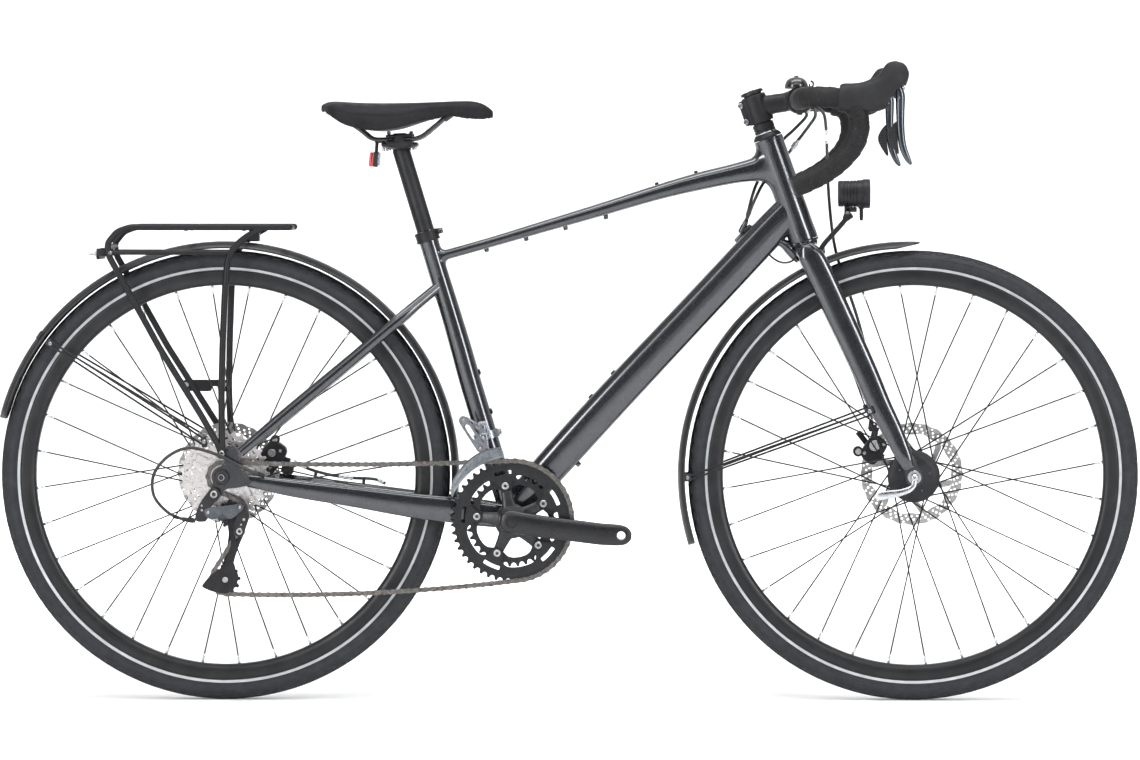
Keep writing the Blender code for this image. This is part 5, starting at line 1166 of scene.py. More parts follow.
def make_stem():
    bar = Vector((BAR_X, 0, BAR_Z))
    raw = Skin()
    raw.add(rod(on_head(26.6), on_head(70.2), 19.2, n=48, chamfer=0.8))
    rows = [(*on_head(48, 0), 16.5, 16.5), (*on_head(49, 12), 15.6, 15.8), (*on_head(47, 28), 15.4, 15.0), (*on_head(44, 44), 16.5, 14.8),
            (*(bar - Vector((8, 0, -1.5))), 20, 15.5)]
    path, sections = stations(rows, 24, 2.6, 40)
    raw.add(sweep(path, sections, (0, 1, 0)))
    raw.add(ring_y((BAR_X, BAR_Z), [(0, -23.6), (20.2, -23.6), (20.8, -23.0), (20.8, 23.0), (20.2, 23.6), (0, 23.6)], 56))
    for y in (-7.2, 7.2):
        raw.add(block(on_head(48, -19.2, y), (12.6, 9.0, 40), turn=0, r=2.4, seg=3,
                      rotation=Matrix.Rotation(math.radians(-19.5), 4, "Y")))
    done = remeshed(raw, 0.9, 8, "stem_shell")
    done.materials.clear()
    done.materials.append(ANODISED_SATIN)
    obj = bpy.data.objects.new("stem_body", done)
    bpy.context.scene.collection.objects.link(obj)
    done.shade_smooth()
    done.set_sharp_from_angle(angle=math.radians(45))
    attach(obj, "fork")
    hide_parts("stem")
    # Dark strips of painted shade stand in for the gap where the faceplate meets the body; then the faceplate's four
    # screws.
    seam = Skin()
    for sign in (-1, 1):
        x = BAR_X + 3.0
        z = BAR_Z + sign * 20.55
        seam.add(block((x, 0, z), (1.3, 46.6, 1.2), r=0.3))
    finish(seam, "stem_gap_shade", BLACK_GLOSS, "fork")
    screws = Skin()
    for y in (-16, 16):
        for dz in (-1, 1):
            a = math.radians(52 * dz)
            d = Vector((math.cos(a * 0.35), 0, math.sin(a * 0.35)))
            at = Vector((BAR_X + 13.5, y, BAR_Z + dz * 15.6))
            screws.add(bolt(at, d, 3.6, 3.4, 1.9, 2.2))
    for along_it in (61, 35):
        screws.add(bolt(on_head(along_it, -23.4, -11.2), (0, -1, 0), 4.3, 2.8, 2.3, 1.9))
        screws.add(rod(on_head(along_it, -23.4, -11), on_head(along_it, -23.4, 12.5), 2.3, n=16))
    finish(screws, "stem_screws", SILVER, "fork")


make_stem()


# ---------------------------------------------------------------- wheels
def make_tyre(which, centre):
    """A tyre with rounded shoulders and blocks in rows round its tread, and a reflective band on each wall."""
    name = which + "_tyre"
    profile = [(316.9, -11.6), (318.5, -12.9), (321.0, -14.6), (324.5, -16.9), (329.0, -18.5), (333.5, -18.9), (337.8, -17.9), (341.4, -15.3),
               (344.3, -11.5), (346.2, -7.2), (347.2, -3.4), (347.5, 0)]
    profile = profile + [(r, -y) for r, y in reversed(profile[:-1])]
    inner = [(316.9, 11.6), (315.0, 10.4), (313.4, 8.0), (313.4, -8.0), (315.0, -10.4)]
    even = [tuple(p) for p in dense(profile, 40)]
    body = even + inner[1:]
    skin = Skin()
    skin.add(ring_y(centre, body, 240))
    finish(skin, name + "_casing", M[name], which + "_wheel", [name], angle=80)
    # Tread: a centre row of long blocks, two rows of slanted blocks and the shoulder's lugs.
    blocks = Skin()
    count = 104

    def surface(y):
        """Radius of the casing at this y, on the tread."""
        y = abs(y)
        for (r0, y0), (r1, y1) in zip(profile[:-1], profile[1:]):
            if -y1 <= y <= -y0 and r0 > 330:
                t = (y + y0) / (y0 - y1) if y0 != y1 else 0
                return r0 + (r1 - r0) * t
        return 340.0

    def lug(a, y0, y1, width_deg, lean_deg, height):
        ys = [y0, y0 + 0.25 * (y1 - y0), y0 + 0.75 * (y1 - y0), y1]
        verts, faces = [], []
        for k, y in enumerate(ys):
            lean = lean_deg * (k / 3 - 0.5)
            for side in (-0.5, 0.5):
                base = surface(y) - 0.5
                top = surface(y) + height
                verts.append(tuple(polar(centre, base, a + lean + side * width_deg, y)))
                verts.append(tuple(polar(centre, top, a + lean + side * width_deg * 0.86, y)))
        n = len(ys)
        for k in range(n - 1):
            i = 4 * k
            a0, a1, b0, b1 = i, i + 1, i + 2, i + 3
            c0, c1, d0, d1 = i + 4, i + 5, i + 6, i + 7
            faces += [(a1, b1, d1, c1), (a0, a1, c1, c0), (b0, d0, d1, b1), (a0, c0, d0, b0)]
        faces += [(0, 2, 3, 1), (4 * (n - 1), 4 * (n - 1) + 1, 4 * (n - 1) + 3, 4 * (n - 1) + 2)]
        return verts, faces

    for i in range(count):
        a = 360 / count * i
        blocks.add(lug(a, -2.7, 2.7, 2.5, 0.5 if i % 2 else -0.5, 1.35))
        for sign in (-1, 1):
            b = a + 360 / count / 2
            blocks.add(lug(b, sign * 4.0, sign * 7.6, 2.2, sign * 0.8, 1.5))
            blocks.add(lug(a, sign * 9.2, sign * 13.0, 2.0, -sign * 0.7, 1.6))
            if i % 2:
                blocks.add(lug(a + 1.2, sign * 14.2, sign * 16.6, 1.8, 0, 1.1))
    finish(blocks, name + "_tread", M[name], which + "_wheel", angle=30)
    # The band stands 0.15 mm proud of the wall, and a fine moulded line runs inside and outside it.
    band = Skin()
    for sign in (-1, 1):
        band.add(ring_y(centre, [(318.7, sign * 13.35), (321.0, sign * 14.95), (322.6, sign * 15.95), (322.6, sign * 15.0), (321.0, sign * 14.2), (318.9, sign * 12.7)], 240))
    finish(band, name + "_band", M["band"], which + "_wheel", angle=60)
    lines = Skin()
    for sign in (-1, 1):
        for r, y in ((317.9, 12.75), (324.4, 17.0), (327.5, 18.25), (336.6, 18.6)):
            lines.add(ring_y(centre, [(r - 0.45, sign * (y - 0.6)), (r - 0.3, sign * (y + 0.18)), (r + 0.3, sign * (y + 0.3)), (r + 0.45, sign * (y - 0.6))], 240))
    finish(lines, name + "_ribs", M[name], which + "_wheel", angle=60)


def make_rim(which, centre):
    profile = [(317.0, -12.1), (316.2, -12.6), (314.0, -12.65), (308.0, -12.6), (303.0, -12.0), (298.0, -10.0), (295.6, -7.6), (294.6, -4.6),
               (294.3, -1.5)]
    outer = [tuple(p) for p in dense(profile, 26)]
    ring = outer + [(r, -y) for r, y in reversed(outer)] + [(317.0, 10.8), (312.0, 10.0), (309.6, 8.0), (309.6, -8.0), (312.0, -10.0), (317.0, -10.8)]
    skin = Skin()
    skin.add(ring_y(centre, ring, 240))
    finish(skin, which + "_rim_profile", M[which + "_rim"], which + "_wheel", [which + "_rim"], angle=50)
    valve = Skin()
    a = 111.5 if which == "front" else 42.9
    d = Vector((math.cos(math.radians(a)), 0, math.sin(math.radians(a))))
    at = polar(centre, 294.2, a)
    valve.add(rod(at + d * 1, at - d * 2.2, 4.4, n=24, chamfer=0.5))
    valve.add(rod(at, at - d * 30, 3.0, n=24, chamfer=0.4))
    # Threads of the stem and its cap.
    turns = []
    side, fwd = Vector((0, 1, 0)), Vector((-d.z, 0, d.x))
    for k in range(0, 14 * 10 + 1):
        t = k / 14
        ang = 2 * math.pi * t
        turns.append(at - d * (3 + 1.0 * t) + (side * math.cos(ang) + fwd * math.sin(ang)) * 3.0)
    valve.add(tube(turns, 0.28, 6, round_ends=False))
    valve.add(rod(at - d * 18, at - d * 33, 3.7, 3.3, n=12, chamfer=0.7))
    finish(valve, which + "_valve", GREY_ALLOY, which + "_wheel", angle=30)


def make_spokes(which, centre):
    flanges = {"front": [(-31, 36.5, -3), (27, 28.5, 3)], "rear": [(-20.5, 28, -3), (33.5, 28, 3)]}[which]
    spokes, nipples = Skin(), Skin()
    for s, (y, r, rim_y) in enumerate(flanges):
        outward = -1 if y < 0 else 1
        for i in range(16):
            rim_a = 11.25 * (2 * i + s) + 4
            hub_a = rim_a + (62 if i % 2 else -62)
            y_hub = y + (outward * 1.9 if i % 2 else -outward * 1.9)
            hub = polar(centre, r, hub_a, y_hub)
            rim = polar(centre, 292.6, rim_a, rim_y)
            along = (rim - hub).normalized()
            # The elbow goes through the flange and ends in a head on its far side.
            far = Vector((hub.x, y - (y_hub - y) * 0.9, hub.z))
            head = Vector((hub.x, y - (y_hub - y) * 1.5, hub.z))
            start = hub + along * 2.6
            points = [tuple(far), tuple(hub.lerp(far, 0.45)), tuple(hub + along * 0.7), tuple(start)]
            spokes.add(tube(points + [tuple(hub.lerp(rim, 0.5)), tuple(rim - along * 6)], [1.3, 1.3, 1.3, 1.25, 1.15, 1.2], 10, round_ends=False))
            spokes.add(rod(far, head, 1.9, 1.7, n=12, chamfer=0.4))
            nipples.add(rod(rim - along * 11.5, rim + along * 2.2, 1.75, 2.0, n=12, chamfer=0.35))
    finish(spokes, which + "_spokes", SPOKE_BLACK, which + "_wheel", angle=50)
    finish(nipples, which + "_nipples", SILVER, which + "_wheel", angle=50)


def rotor_holes(centre, start=0.0):
    holes = []
    for k in range(48):
        a = 7.5 * k + start
        holes.append(full(tuple((polar(centre, 66.4, a).x, polar(centre, 66.4, a).z)), 1.7, 10))
        b = a + 2.6
        holes.append(full(tuple((polar(centre, 71.2, b).x, polar(centre, 71.2, b).z)), 1.9, 10))
        c = a + 5.2
        if k % 2 == 0:
            holes.append(full(tuple((polar(centre, 75.9, c).x, polar(centre, 75.9, c).z)), 1.6, 10))
    return holes


def make_rotor(which, centre, y):
    name = which + "_rotor"
    thick = 0.9
    # The braking ring: a scalloped rim, three rows of holes and a wavy inner edge.
    outer = []
    for k in range(360):
        a = k * 1.0
        r = 79.2 + 0.75 * math.cos(math.radians(a * 24))
        p = polar(centre, r, a)
        outer.append((p.x, p.z))
    inner = []
    for k in range(240):
        a = k * 1.5
        r = 62.6 - 1.5 * math.cos(math.radians(a * 12))
        p = polar(centre, r, a)
        inner.append((p.x, p.z))
    skin = Skin()
    skin.add(plate(outer, y - thick, y + thick, [inner] + rotor_holes(centre)))
    finish(skin, name + "_track", M[name], which + "_wheel", [name], bevel=0.15, segments=1)
    # Six swept arms to a ring with six screws.
    arms = Skin()
    outer2 = []
    for k in range(6):
        a = 60 * k + 8
        def at(r, d):
            p = polar(centre, r, a + d)
            return (p.x, p.z)
        outer2 += [at(28.5, -13), at(28.0, -2), at(33, 9), at(42, 20), at(52, 28.5), at(61.5, 33.5), at(64, 36.5), at(64, 41.5), at(61.5, 43.5),
                   at(52, 39.5), at(42, 33), at(34, 26), at(29.5, 24.5), at(27.2, 33)]
    arms.add(plate(softened(outer2, 2, 0.22), y - thick * 0.95, y + thick * 0.95,
                   [full(centre, 17.5, 60)] + [full((polar(centre, 22.2, 60 * k + 20).x, polar(centre, 22.2, 60 * k + 20).z), 2.0, 12) for k in range(6)]))
    finish(arms, name + "_arms", M[name], which + "_wheel", bevel=0.2, segments=1)
    screws = Skin()
    for k in range(6):
        p = polar(centre, 22.2, 60 * k + 20, y + thick)
        screws.add(bolt(p, (0, 1, 0), 3.6, 1.7, 1.9, 1.2))
        q = polar(centre, 22.2, 60 * k + 20, y - thick)
        screws.add(rod(q, q - Vector((0, 2.5, 0)), 2.4, n=16, chamfer=0.3))
    finish(screws, name + "_screws", ANODISED, which + "_wheel")


def make_front_hub():
    skin = Skin()
    # The generator's drum: stepped rings, a broad matt face towards the drive side.
    drum = [(11.0, -48.5), (13.4, -48.0), (14.2, -46.5), (14.4, -45.0), (15.5, -44.6), (28.0, -42.9), (32.4, -41.9), (33.4, -41.4), (34.0, -40.4), (38.6, -38.4),
            (40.0, -37.2), (40.4, -36.0), (40.4, -33.8), (39.6, -33.2), (39.6, -30.0), (40.4, -29.4), (40.4, -27.0), (39.8, -26.2), (33.0, -23.8),
            (27.0, -22.2), (26.2, -21.4), (26.0, -20.0), (26.0, 18.6), (26.4, 20.0), (28.0, 21.6), (31.6, 23.0), (32.4, 23.8), (32.4, 25.2), (31.4, 26.0),
            (31.4, 28.4), (32.4, 29.2), (32.4, 30.2), (31.2, 31.0), (24.0, 32.4), (21.0, 33.2), (20.6, 34.2), (20.6, 43.4), (19.8, 44.2), (12.4, 48.0), (11.2, 48.5),
            (5.7, 48.5), (5.7, -48.5)]
    skin.add(ring_y(FRONT, drum, 96))
    finish(skin, "generator_hub_shell", ANODISED_SATIN, "front_wheel", ["front_hub"], angle=24)
    trim = Skin()
    # Screws round the drum's face; the plug for the lamp's wire, on the fixed axle side, is not made.
    for k in range(5):
        p = polar(FRONT, 24.5, 72 * k + 12, -43.2)
        trim.add(bolt(p, (0.0, -1, 0.0), 1.7, 0.9, 0.9, 0.7))
    finish(trim, "generator_hub_screws", GREY_ALLOY, "front_wheel")
    bearing = Skin()
    bearing.add(ring_y(FRONT, [(5.8, -49.6), (9.6, -49.6), (10.2, -49.2), (10.2, -48.3), (5.8, -48.3)], 48))
    finish(bearing, "generator_hub_cap", STEEL, "front_wheel")


def make_rear_hub():
    skin = Skin()
    shell = [(17.0, -25.4), (18.2, -25.0), (30.6, -24.4), (31.8, -23.8), (32.2, -22.6), (32.2, -18.4), (31.6, -17.4), (30.4, -16.8), (23.0, -15.2), (18.8, -13.6),
             (17.6, -11.0), (16.6, -4.0), (16.4, 4.0), (16.8, 16.0), (17.8, 24.0), (19.6, 26.8), (24.0, 28.4), (30.4, 29.4), (31.8, 30.2), (32.2, 31.4),
             (32.2, 35.8), (31.6, 36.8), (30.4, 37.6), (24.0, 39.2), (21.0, 40.0), (20.6, 41.0), (20.6, 53.2), (19.8, 54.2), (13.0, 63.8), (11.4, 65.3),
             (5.7, 65.3), (5.7, -25.4)]
    skin.add(ring_y(REAR, shell, 96))
    finish(skin, "rear_hub_shell", ANODISED_SATIN, "rear_wheel", ["rear_hub"], angle=24)


def make_axles():
    front = Skin()
    front.add(ring_y(FRONT, [(0, -60.8), (9.6, -60.8), (10.4, -60.2), (10.5, -59.2), (10.5, -58.4), (9.8, -57.5), (5.0, -57.3), (5.0, 57.2), (9.3, 57.4), (9.5, 58.2),
                             (9.5, 64.6), (8.2, 66.8), (6.0, 67.8), (0, 67.8)], 48))
    finish(front, "front_skewer", BRUSHED, "fork", ["front_axle"], angle=35)
    # Knurls on the nut's rim.
    knurl = Skin()
    for k in range(30):
        a = 12 * k
        knurl.add(rod(polar(FRONT, 9.5, a, 58.6), polar(FRONT, 9.5, a, 64.2), 0.45, n=8))
    finish(knurl, "front_skewer_knurls", BRUSHED, "fork")
    rear = Skin()
    rear.add(ring_y(REAR, [(0, -84.0), (5.0, -84.0), (5.0, 84.6), (9.6, 84.9), (10, 85.4), (10, 86.4),
                            (9.4, 87.0), (0, 87.0)], 48))
    finish(rear, "rear_skewer", BRUSHED, "frame", ["rear_axle"], angle=35)
    hexes = Skin()
    hexes.add(ring_y(REAR, [(5.0, -84.6), (7.2, -84.9), (10.2, -83.6), (11.2, -82.4), (11.2, -77.4), (10.4, -76.4), (5.0, -76.0)], 56))
    for k in range(32):
        a = 360 / 32 * k
        hexes.add(rod(polar(REAR, 11.1, a, -82.0), polar(REAR, 11.1, a, -77.8), 0.5, n=8))
    finish(hexes, "rear_skewer_nut", PLASTIC, "frame")
    end = Skin()
    end.add(bolt(Vector((REAR[0], -84.0, REAR[1])), (0, -1, 0), 4.0, 1.2, 2.2, 0.9))
    finish(end, "rear_skewer_end", DARK_ALLOY, "frame")

    def lever(at, o, points, body, name):
        """A cam lever: its rows are (x, z) from the axle, a lift outward, and half its width and thickness."""
        at, o = Vector(at), Vector(o)
        skin = Skin()
        even = dense(points, 40)
        path = [at + Vector((p[0], 0, p[1])) + o * p[2] for p in even]
        skin.add(sweep(path, [superellipse(p[4], p[3], 28, 2.6) for p in even], (0, 1, 0)))
        skin.add(lathe([(0, -6.4), (2.5, -5.9), (4.5, -4.5), (5.9, -2.5), (6.4, 0), (5.9, 2.5), (4.5, 4.5), (3.2, 5.3), (0, 5.4)], 48, axis_matrix(at, o)))
        finish(skin, name, SILVER, body, [body], angle=45)
        pin = Skin()
        pin.add(bolt(at + o * 5.2, o, 2.5, 0.9, 1.4, 0.6))
        finish(pin, name + "_pin", BRUSHED, body)

    lever((533.3, -67.8, 349), (0, -1, 0), [(-0.5, -5, 0, 4.4, 4.2), (-2, -12, 1.5, 4.3, 3.7), (-5.4, -16.2, 2.4, 4.4, 3.3), (-10, -19, 3.0, 4.7, 3.0), (-22, -23, 4.4, 5.3, 2.6),
                                            (-40, -26, 5.2, 6.3, 2.3), (-52, -28.2, 4.6, 6.6, 2.0), (-58, -29.2, 3.4, 5.4, 1.7), (-61, -29.8, 2.7, 2.6, 1.1)], "front_qr_lever", "front_quick_lever")
    lever((-533.3, 93.8, 349), (0, 1, 0), [(0, 0, 0, 6, 4.5), (-5.8, 1.4, 1.4, 5.4, 4.0), (-13.6, 3.4, 3, 5, 3.1), (-29.1, 7.2, 5.5, 6.2, 2.4), (-44.6, 11.0, 5, 7.2, 2.1),
                                          (-53.4, 13.2, 3.8, 6.6, 1.9), (-58.2, 14.4, 2.6, 4.4, 1.5)], "rear_qr_lever", "rear_quick_lever")


for wheel_name, wheel_centre in (("front", FRONT), ("rear", REAR)):
    make_tyre(wheel_name, wheel_centre)
    make_rim(wheel_name, wheel_centre)
    make_spokes(wheel_name, wheel_centre)
make_rotor("front", FRONT, 39.6)
make_rotor("rear", REAR, 50.4)
make_front_hub()
make_rear_hub()
make_axles()


# ---------------------------------------------------------------- drivetrain
def toothed(centre, teeth, outer_cut=0.0, phase=0.0, depth=1.0):
    """Outline of a chain wheel: rounded seats for the rollers and blunt teeth between them."""
    r = pitch_r(teeth)
    out = []
    for k in range(teeth):
        a = 360 / teeth * k + phase
        half = 360 / teeth / 2
        tip = r + 3.3 - outer_cut
        for share, rr in ((-1.0, r - 3.9), (-0.72, r - 3.5), (-0.5, r - 2.1), (-0.36, r + 0.2), (-0.25, r + 1.9), (-0.13, tip), (0.13, tip),
                          (0.25, r + 1.9), (0.36, r + 0.2), (0.5, r - 2.1), (0.72, r - 3.5)):
            p = polar(centre, min(rr, tip), a + half * share)
            out.append((p.x, p.z))
    return out


def window(centre, r0, r1, a0, a1, corner=0.2, count=8):
    """A rounded opening between two radii and two angles."""
    pts = []
    for k in range(count + 1):
        p = polar(centre, r1, a0 + (a1 - a0) * k / count)
        pts.append((p.x, p.z))
    for k in range(count + 1):
        p = polar(centre, r0, a1 - (a1 - a0) * k / count)
        pts.append((p.x, p.z))
    return softened(pts, 2, corner)


def make_cassette():
    teeth = [11, 13, 15, 17, 20, 23, 26, 30, 34]
    for i, t in enumerate(teeth):
        y = -61 + 4 * i
        skin = Skin()
        r = pitch_r(t)
        cut = 1.4
        holes = []
        if t >= 17:
            n = 6 if t < 30 else 8
            for k in range(n):
                a0 = 360 / n * k + 7 * i
                holes.append(window(REAR, 19.5, r - 9.5, a0 + (6 if t < 23 else 5), a0 + 360 / n - (7 if t < 23 else 6)))
        skin.add(plate(toothed(REAR, t, cut, phase=3 * i), y - 0.85, y + 0.85, [full(REAR, 15.4 if t > 12 else 11.5, 48)] + holes))
        finish(skin, "sprocket_%d_teeth" % t, M["sprocket"], "cassette", ["cassette"] if i == 0 else [], bevel=0.14, segments=1)
    core = Skin()
    core.add(ring_y(REAR, [(5.8, -64.2), (14.8, -64.2), (15.2, -63.8), (15.2, -62.1), (16.2, -62.0), (16.2, -26.6), (15.6, -26.2), (5.8, -26.2)], 60))
    for i in range(8):
        core.add(ring_y(REAR, [(15.4, -61 + 4 * i + 1.0), (18.6, -61 + 4 * i + 1.0), (18.9, -61 + 4 * i + 1.3), (18.9, -61 + 4 * i + 2.7),
                               (18.6, -61 + 4 * i + 3.0), (15.4, -61 + 4 * i + 3.0)], 60))
    finish(core, "freehub_spacers", ANODISED, "cassette")
    lock = Skin()
    notched = []
    for k in range(12):
        a = 30 * k
        for d, rr in ((0, 10.0), (9, 10.0), (11, 8.4), (19, 8.4), (21, 10.0)):
            p = polar(REAR, rr, a + d)
            notched.append((p.x, p.z))
    lock.add(plate(full(REAR, 16.4, 60), -65.6, -62.4, [notched]))
    finish(lock, "cassette_lockring", GREY_ALLOY, "cassette", bevel=0.5, segments=2)


BOLT_R = 55.0  # the chainring bolts' circle
TEETH = 46


def make_chainrings():
    big, small = Skin(), Skin()
    phase = 4.0
    bolts_at = [29 + 72 * i for i in range(5)]
    # The big ring: teeth, a band with slots, and five tabs.
    inner = []
    for i in range(5):
        mid = bolts_at[i]
        for d, rr in ((-36, 72.0), (-26, 72.0), (-19, 71.4), (-14.5, 68.5), (-11.4, 63), (-9.2, 56), (-7.0, 50), (-3.6, 47.4), (0, 46.8), (3.6, 47.4), (7.0, 50),
                      (9.2, 56), (11.4, 63), (14.5, 68.5), (19, 71.4), (26, 72.0)):
            p = polar(BB, rr, mid + d)
            inner.append((p.x, p.z))
    inner = softened(inner, 1, 0.2)
    holes = [full((polar(BB, BOLT_R, a).x, polar(BB, BOLT_R, a).z), 4.4, 20) for a in bolts_at]
    slots = []
    for a in bolts_at:
        slots.append(window(BB, 72.8, 78.6, a - 10, a + 10, 0.22, 10))
    big.add(plate(toothed(BB, TEETH, 1.5, phase), RING_Y - 1.25, RING_Y + 1.25, [inner] + holes + slots))
    # Ramps and pins on the inner face.
    finish(big, "chainring_outer", CRANK_BLACK, "crankset", ["chainring_large"], bevel=0.35, segments=2)
    lip = Skin()
    lip.add(ring_y(BB, [(83.6, RING_Y - 1.2), (84.2, RING_Y - 1.6), (86.0, RING_Y - 1.6), (86.4, RING_Y - 1.2), (86.4, RING_Y - 0.8), (83.6, RING_Y - 0.8)], 180))
    for k in range(8):
        p = polar(BB, 82.0, 45 * k + 11, RING_Y + 1.1)
        lip.add(rod(p, p + Vector((0, 1.1, 0)), 1.9, n=16, chamfer=0.4))
    finish(lip, "chainring_outer_ramps", CRANK_BLACK, "crankset")
    inner = []
    for i in range(5):
        mid = bolts_at[i]
        for d, rr in ((-36, 57.4), (-26, 57.2), (-18, 55.6), (-12, 51.8), (-7, 48.8), (0, 47.6), (7, 48.8), (12, 51.8), (18, 55.6), (26, 57.2)):
            p = polar(BB, rr, mid + d)
            inner.append((p.x, p.z))
    inner = softened(inner, 1, 0.2)
    small.add(plate(toothed(BB, 34, 0.9, 2.0), SMALL_RING_Y - 1.0, SMALL_RING_Y + 1.0, [inner] + holes))
    finish(small, "chainring_inner", CRANK_BLACK, "crankset", ["chainring_small"], bevel=0.3, segments=1)
    # Chainring bolts: a bright flanged head whose socket is darkened with painted shade, and the sleeve between the
    # rings.
    heads, sleeves = Skin(), Skin()
    for a in bolts_at:
        p = polar(BB, BOLT_R, a, RING_Y - 1.35)
        heads.add(bolt(p, (0, -1, 0), 5.6, 1.5, 2.6, 1.2, n=32, dome=0.0))
        q = polar(BB, BOLT_R, a, SMALL_RING_Y + 1.0)
        heads.add(rod(q, q + Vector((0, 1.2, 0)), 5.2, n=28, chamfer=0.4))
        sleeves.add(rod(polar(BB, BOLT_R, a, RING_Y + 1.2), polar(BB, BOLT_R, a, SMALL_RING_Y - 1.0), 4.9, n=24))
    finish(heads, "chainring_bolts", BRUSHED, "crankset")
    finish(sleeves, "chainring_bolt_sleeves", ANODISED, "crankset")
    # Painted shade: a black hexagon near the bottom of each bolt's socket stands in for the shade inside it.
    dark = Skin()
    for a in bolts_at:
        p = polar(BB, BOLT_R, a, RING_Y - 1.6)
        dark.add(rod(p, p - Vector((0, 0.25, 0)), 2.75, n=6))
    finish(dark, "chainring_bolt_socket_shade", BLACK_GLOSS, "crankset")


def make_cranks():
    along_rows = [(-17.0, 62.4, 11.0, 6.5), (-12, 62.2, 15.2, 8.2), (-4, 62.1, 18.0, 9.6), (4, 62.3, 18.3, 10.0), (14, 62.7, 17.7, 9.8), (25, 63.0, 17.6, 9.0),
                  (70, 64.0, 17.0, 7.7), (130, 65.5, 17.0, 6.7), (156, 66, 16.8, 6.4), (168, 66, 16.2, 6.2), (177, 66, 14.0, 5.9), (183, 66, 9.4, 5.2), (186, 66, 4.4, 3.6)]

    def arm(sign, angle, name, node, spider):
        a = math.radians(angle)
        d = Vector((math.cos(a), 0, math.sin(a)))
        up = Vector((-d.z, 0, d.x))
        raw = Skin()
        even = dense(along_rows, 60)
        # The arm bows down a little between its two ends.
        bow = [2.0 * max(0.0, min(1.0, p[0] / 45)) * max(0.0, min(1.0, (168 - p[0]) / 30)) for p in even]
        path = [Vector((BB[0], 0, BB[1])) + d * p[0] - up * b + Vector((0, sign * p[1], 0)) for p, b in zip(even, bow)]
        raw.add(sweep(path, [superellipse(p[2], p[3], 36, 2.5) for p in even], tuple(up)))
        y0, y1 = sign * 44.8, sign * 60
        profile = [(0, y0), (18.4, y0), (18.4, sign * 52), (17.0, y1), (0, y1)]
        raw.add(ring_y(BB, profile, 48))
        if spider:
            raw.add(ring_y(BB, [(0, -47), (26.5, -47), (27.5, -48.5), (26.0, -53), (20, -57), (0, -57)], 60))
            for i in range(5):
                b = 29 + 72 * i
                e, t = polar((0, 0), 1, b), polar((0, 0), 1, b + 90)
                rows = [(8, 52.5, 6.5, 14.5), (20, 50.5, 5.4, 12.0), (32, 48.6, 4.2, 9.8), (42, 46.6, 3.2, 8.8), (46.5, 46.0, 2.6, 8.5)]
                even = dense(rows, 18)
                path = [Vector((BB[0], 0, BB[1])) + e * p[0] + Vector((0, sign * p[1], 0)) for p in even]
                raw.add(sweep(path, [superellipse(p[3], p[2], 28, 2.4) for p in even], tuple(t)))
        done = remeshed(raw, 0.85, 10, name + "_shell")
        done.materials.clear()
        done.materials.append(CRANK_BLACK)
        obj = bpy.data.objects.new(name, done)
        bpy.context.scene.collection.objects.link(obj)
        # The pedal's eye is cut from the forging; the spindle's bore is not cut.
        eye = BB[0] + d.x * 170, BB[1] + d.z * 170
        for cname, centre, r, depth in (("eye", eye, 7.1, (40, 90)),):
            cut = bpy.data.meshes.new(cname)
            verts, faces = rod((centre[0], sign * depth[0], centre[1]), (centre[0], sign * depth[1], centre[1]), r, n=48)
            cut.from_pydata([(x * MM, y * MM, z * MM) for x, y, z in verts], [], faces)
            bm = bmesh.new()
            bm.from_mesh(cut)
            bmesh.ops.recalc_face_normals(bm, faces=bm.faces)
            bm.to_mesh(cut)
            bm.free()
            cutter = bpy.data.objects.new(cname, cut)
            bpy.context.scene.collection.objects.link(cutter)
            mod = obj.modifiers.new("eye", "BOOLEAN")
            mod.operation = "DIFFERENCE"
            mod.solver = "EXACT"
            mod.object = cutter
            bpy.context.view_layer.update()
            graph = bpy.context.evaluated_depsgraph_get()
            cut_mesh = bpy.data.meshes.new_from_object(obj.evaluated_get(graph), depsgraph=graph)
            obj.modifiers.remove(mod)
            obj.data = cut_mesh
            bpy.data.objects.remove(cutter, do_unlink=True)
        obj.data.shade_smooth()
        obj.data.set_sharp_from_angle(angle=math.radians(50))
        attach(obj, "crankset")
        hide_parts(*node)
        if spider:
            tabs = Skin()
            for i in range(5):
                b = 29 + 72 * i
                shape2 = []
                for r, w in ((42, -8.2), (50, -8.4), (57.5, -8.0), (61.7, -5.2), (63.1, 0), (61.7, 5.2), (57.5, 8.0), (50, 8.4), (42, 8.2)):
                    p = polar(BB, r, b) + (polar((0, 0), 1, b + 90)) * w
                    shape2.append((p.x, p.z))
                tabs.add(plate(softened(shape2, 2, 0.2), -45.3, -42.2, [full((polar(BB, BOLT_R, b).x, polar(BB, BOLT_R, b).z), 4.4, 20)]))
            finish(tabs, "crank_spider_tabs", CRANK_BLACK, "crankset", bevel=0.5)
        # The end of the spindle: a preload cap in the arm's boss.
        boss = Skin()
        y = sign * 72.0
        boss.add(ring_y(BB, [(0, sign * 66), (9.6, sign * 66), (9.9, y), (9.4, y + sign * 0.6), (7.0, y + sign * 0.6), (6.4, y - sign * 0.9), (0, y - sign * 0.9)], 48))
        finish(boss, name + "_cap", ANODISED_SATIN, "crankset")
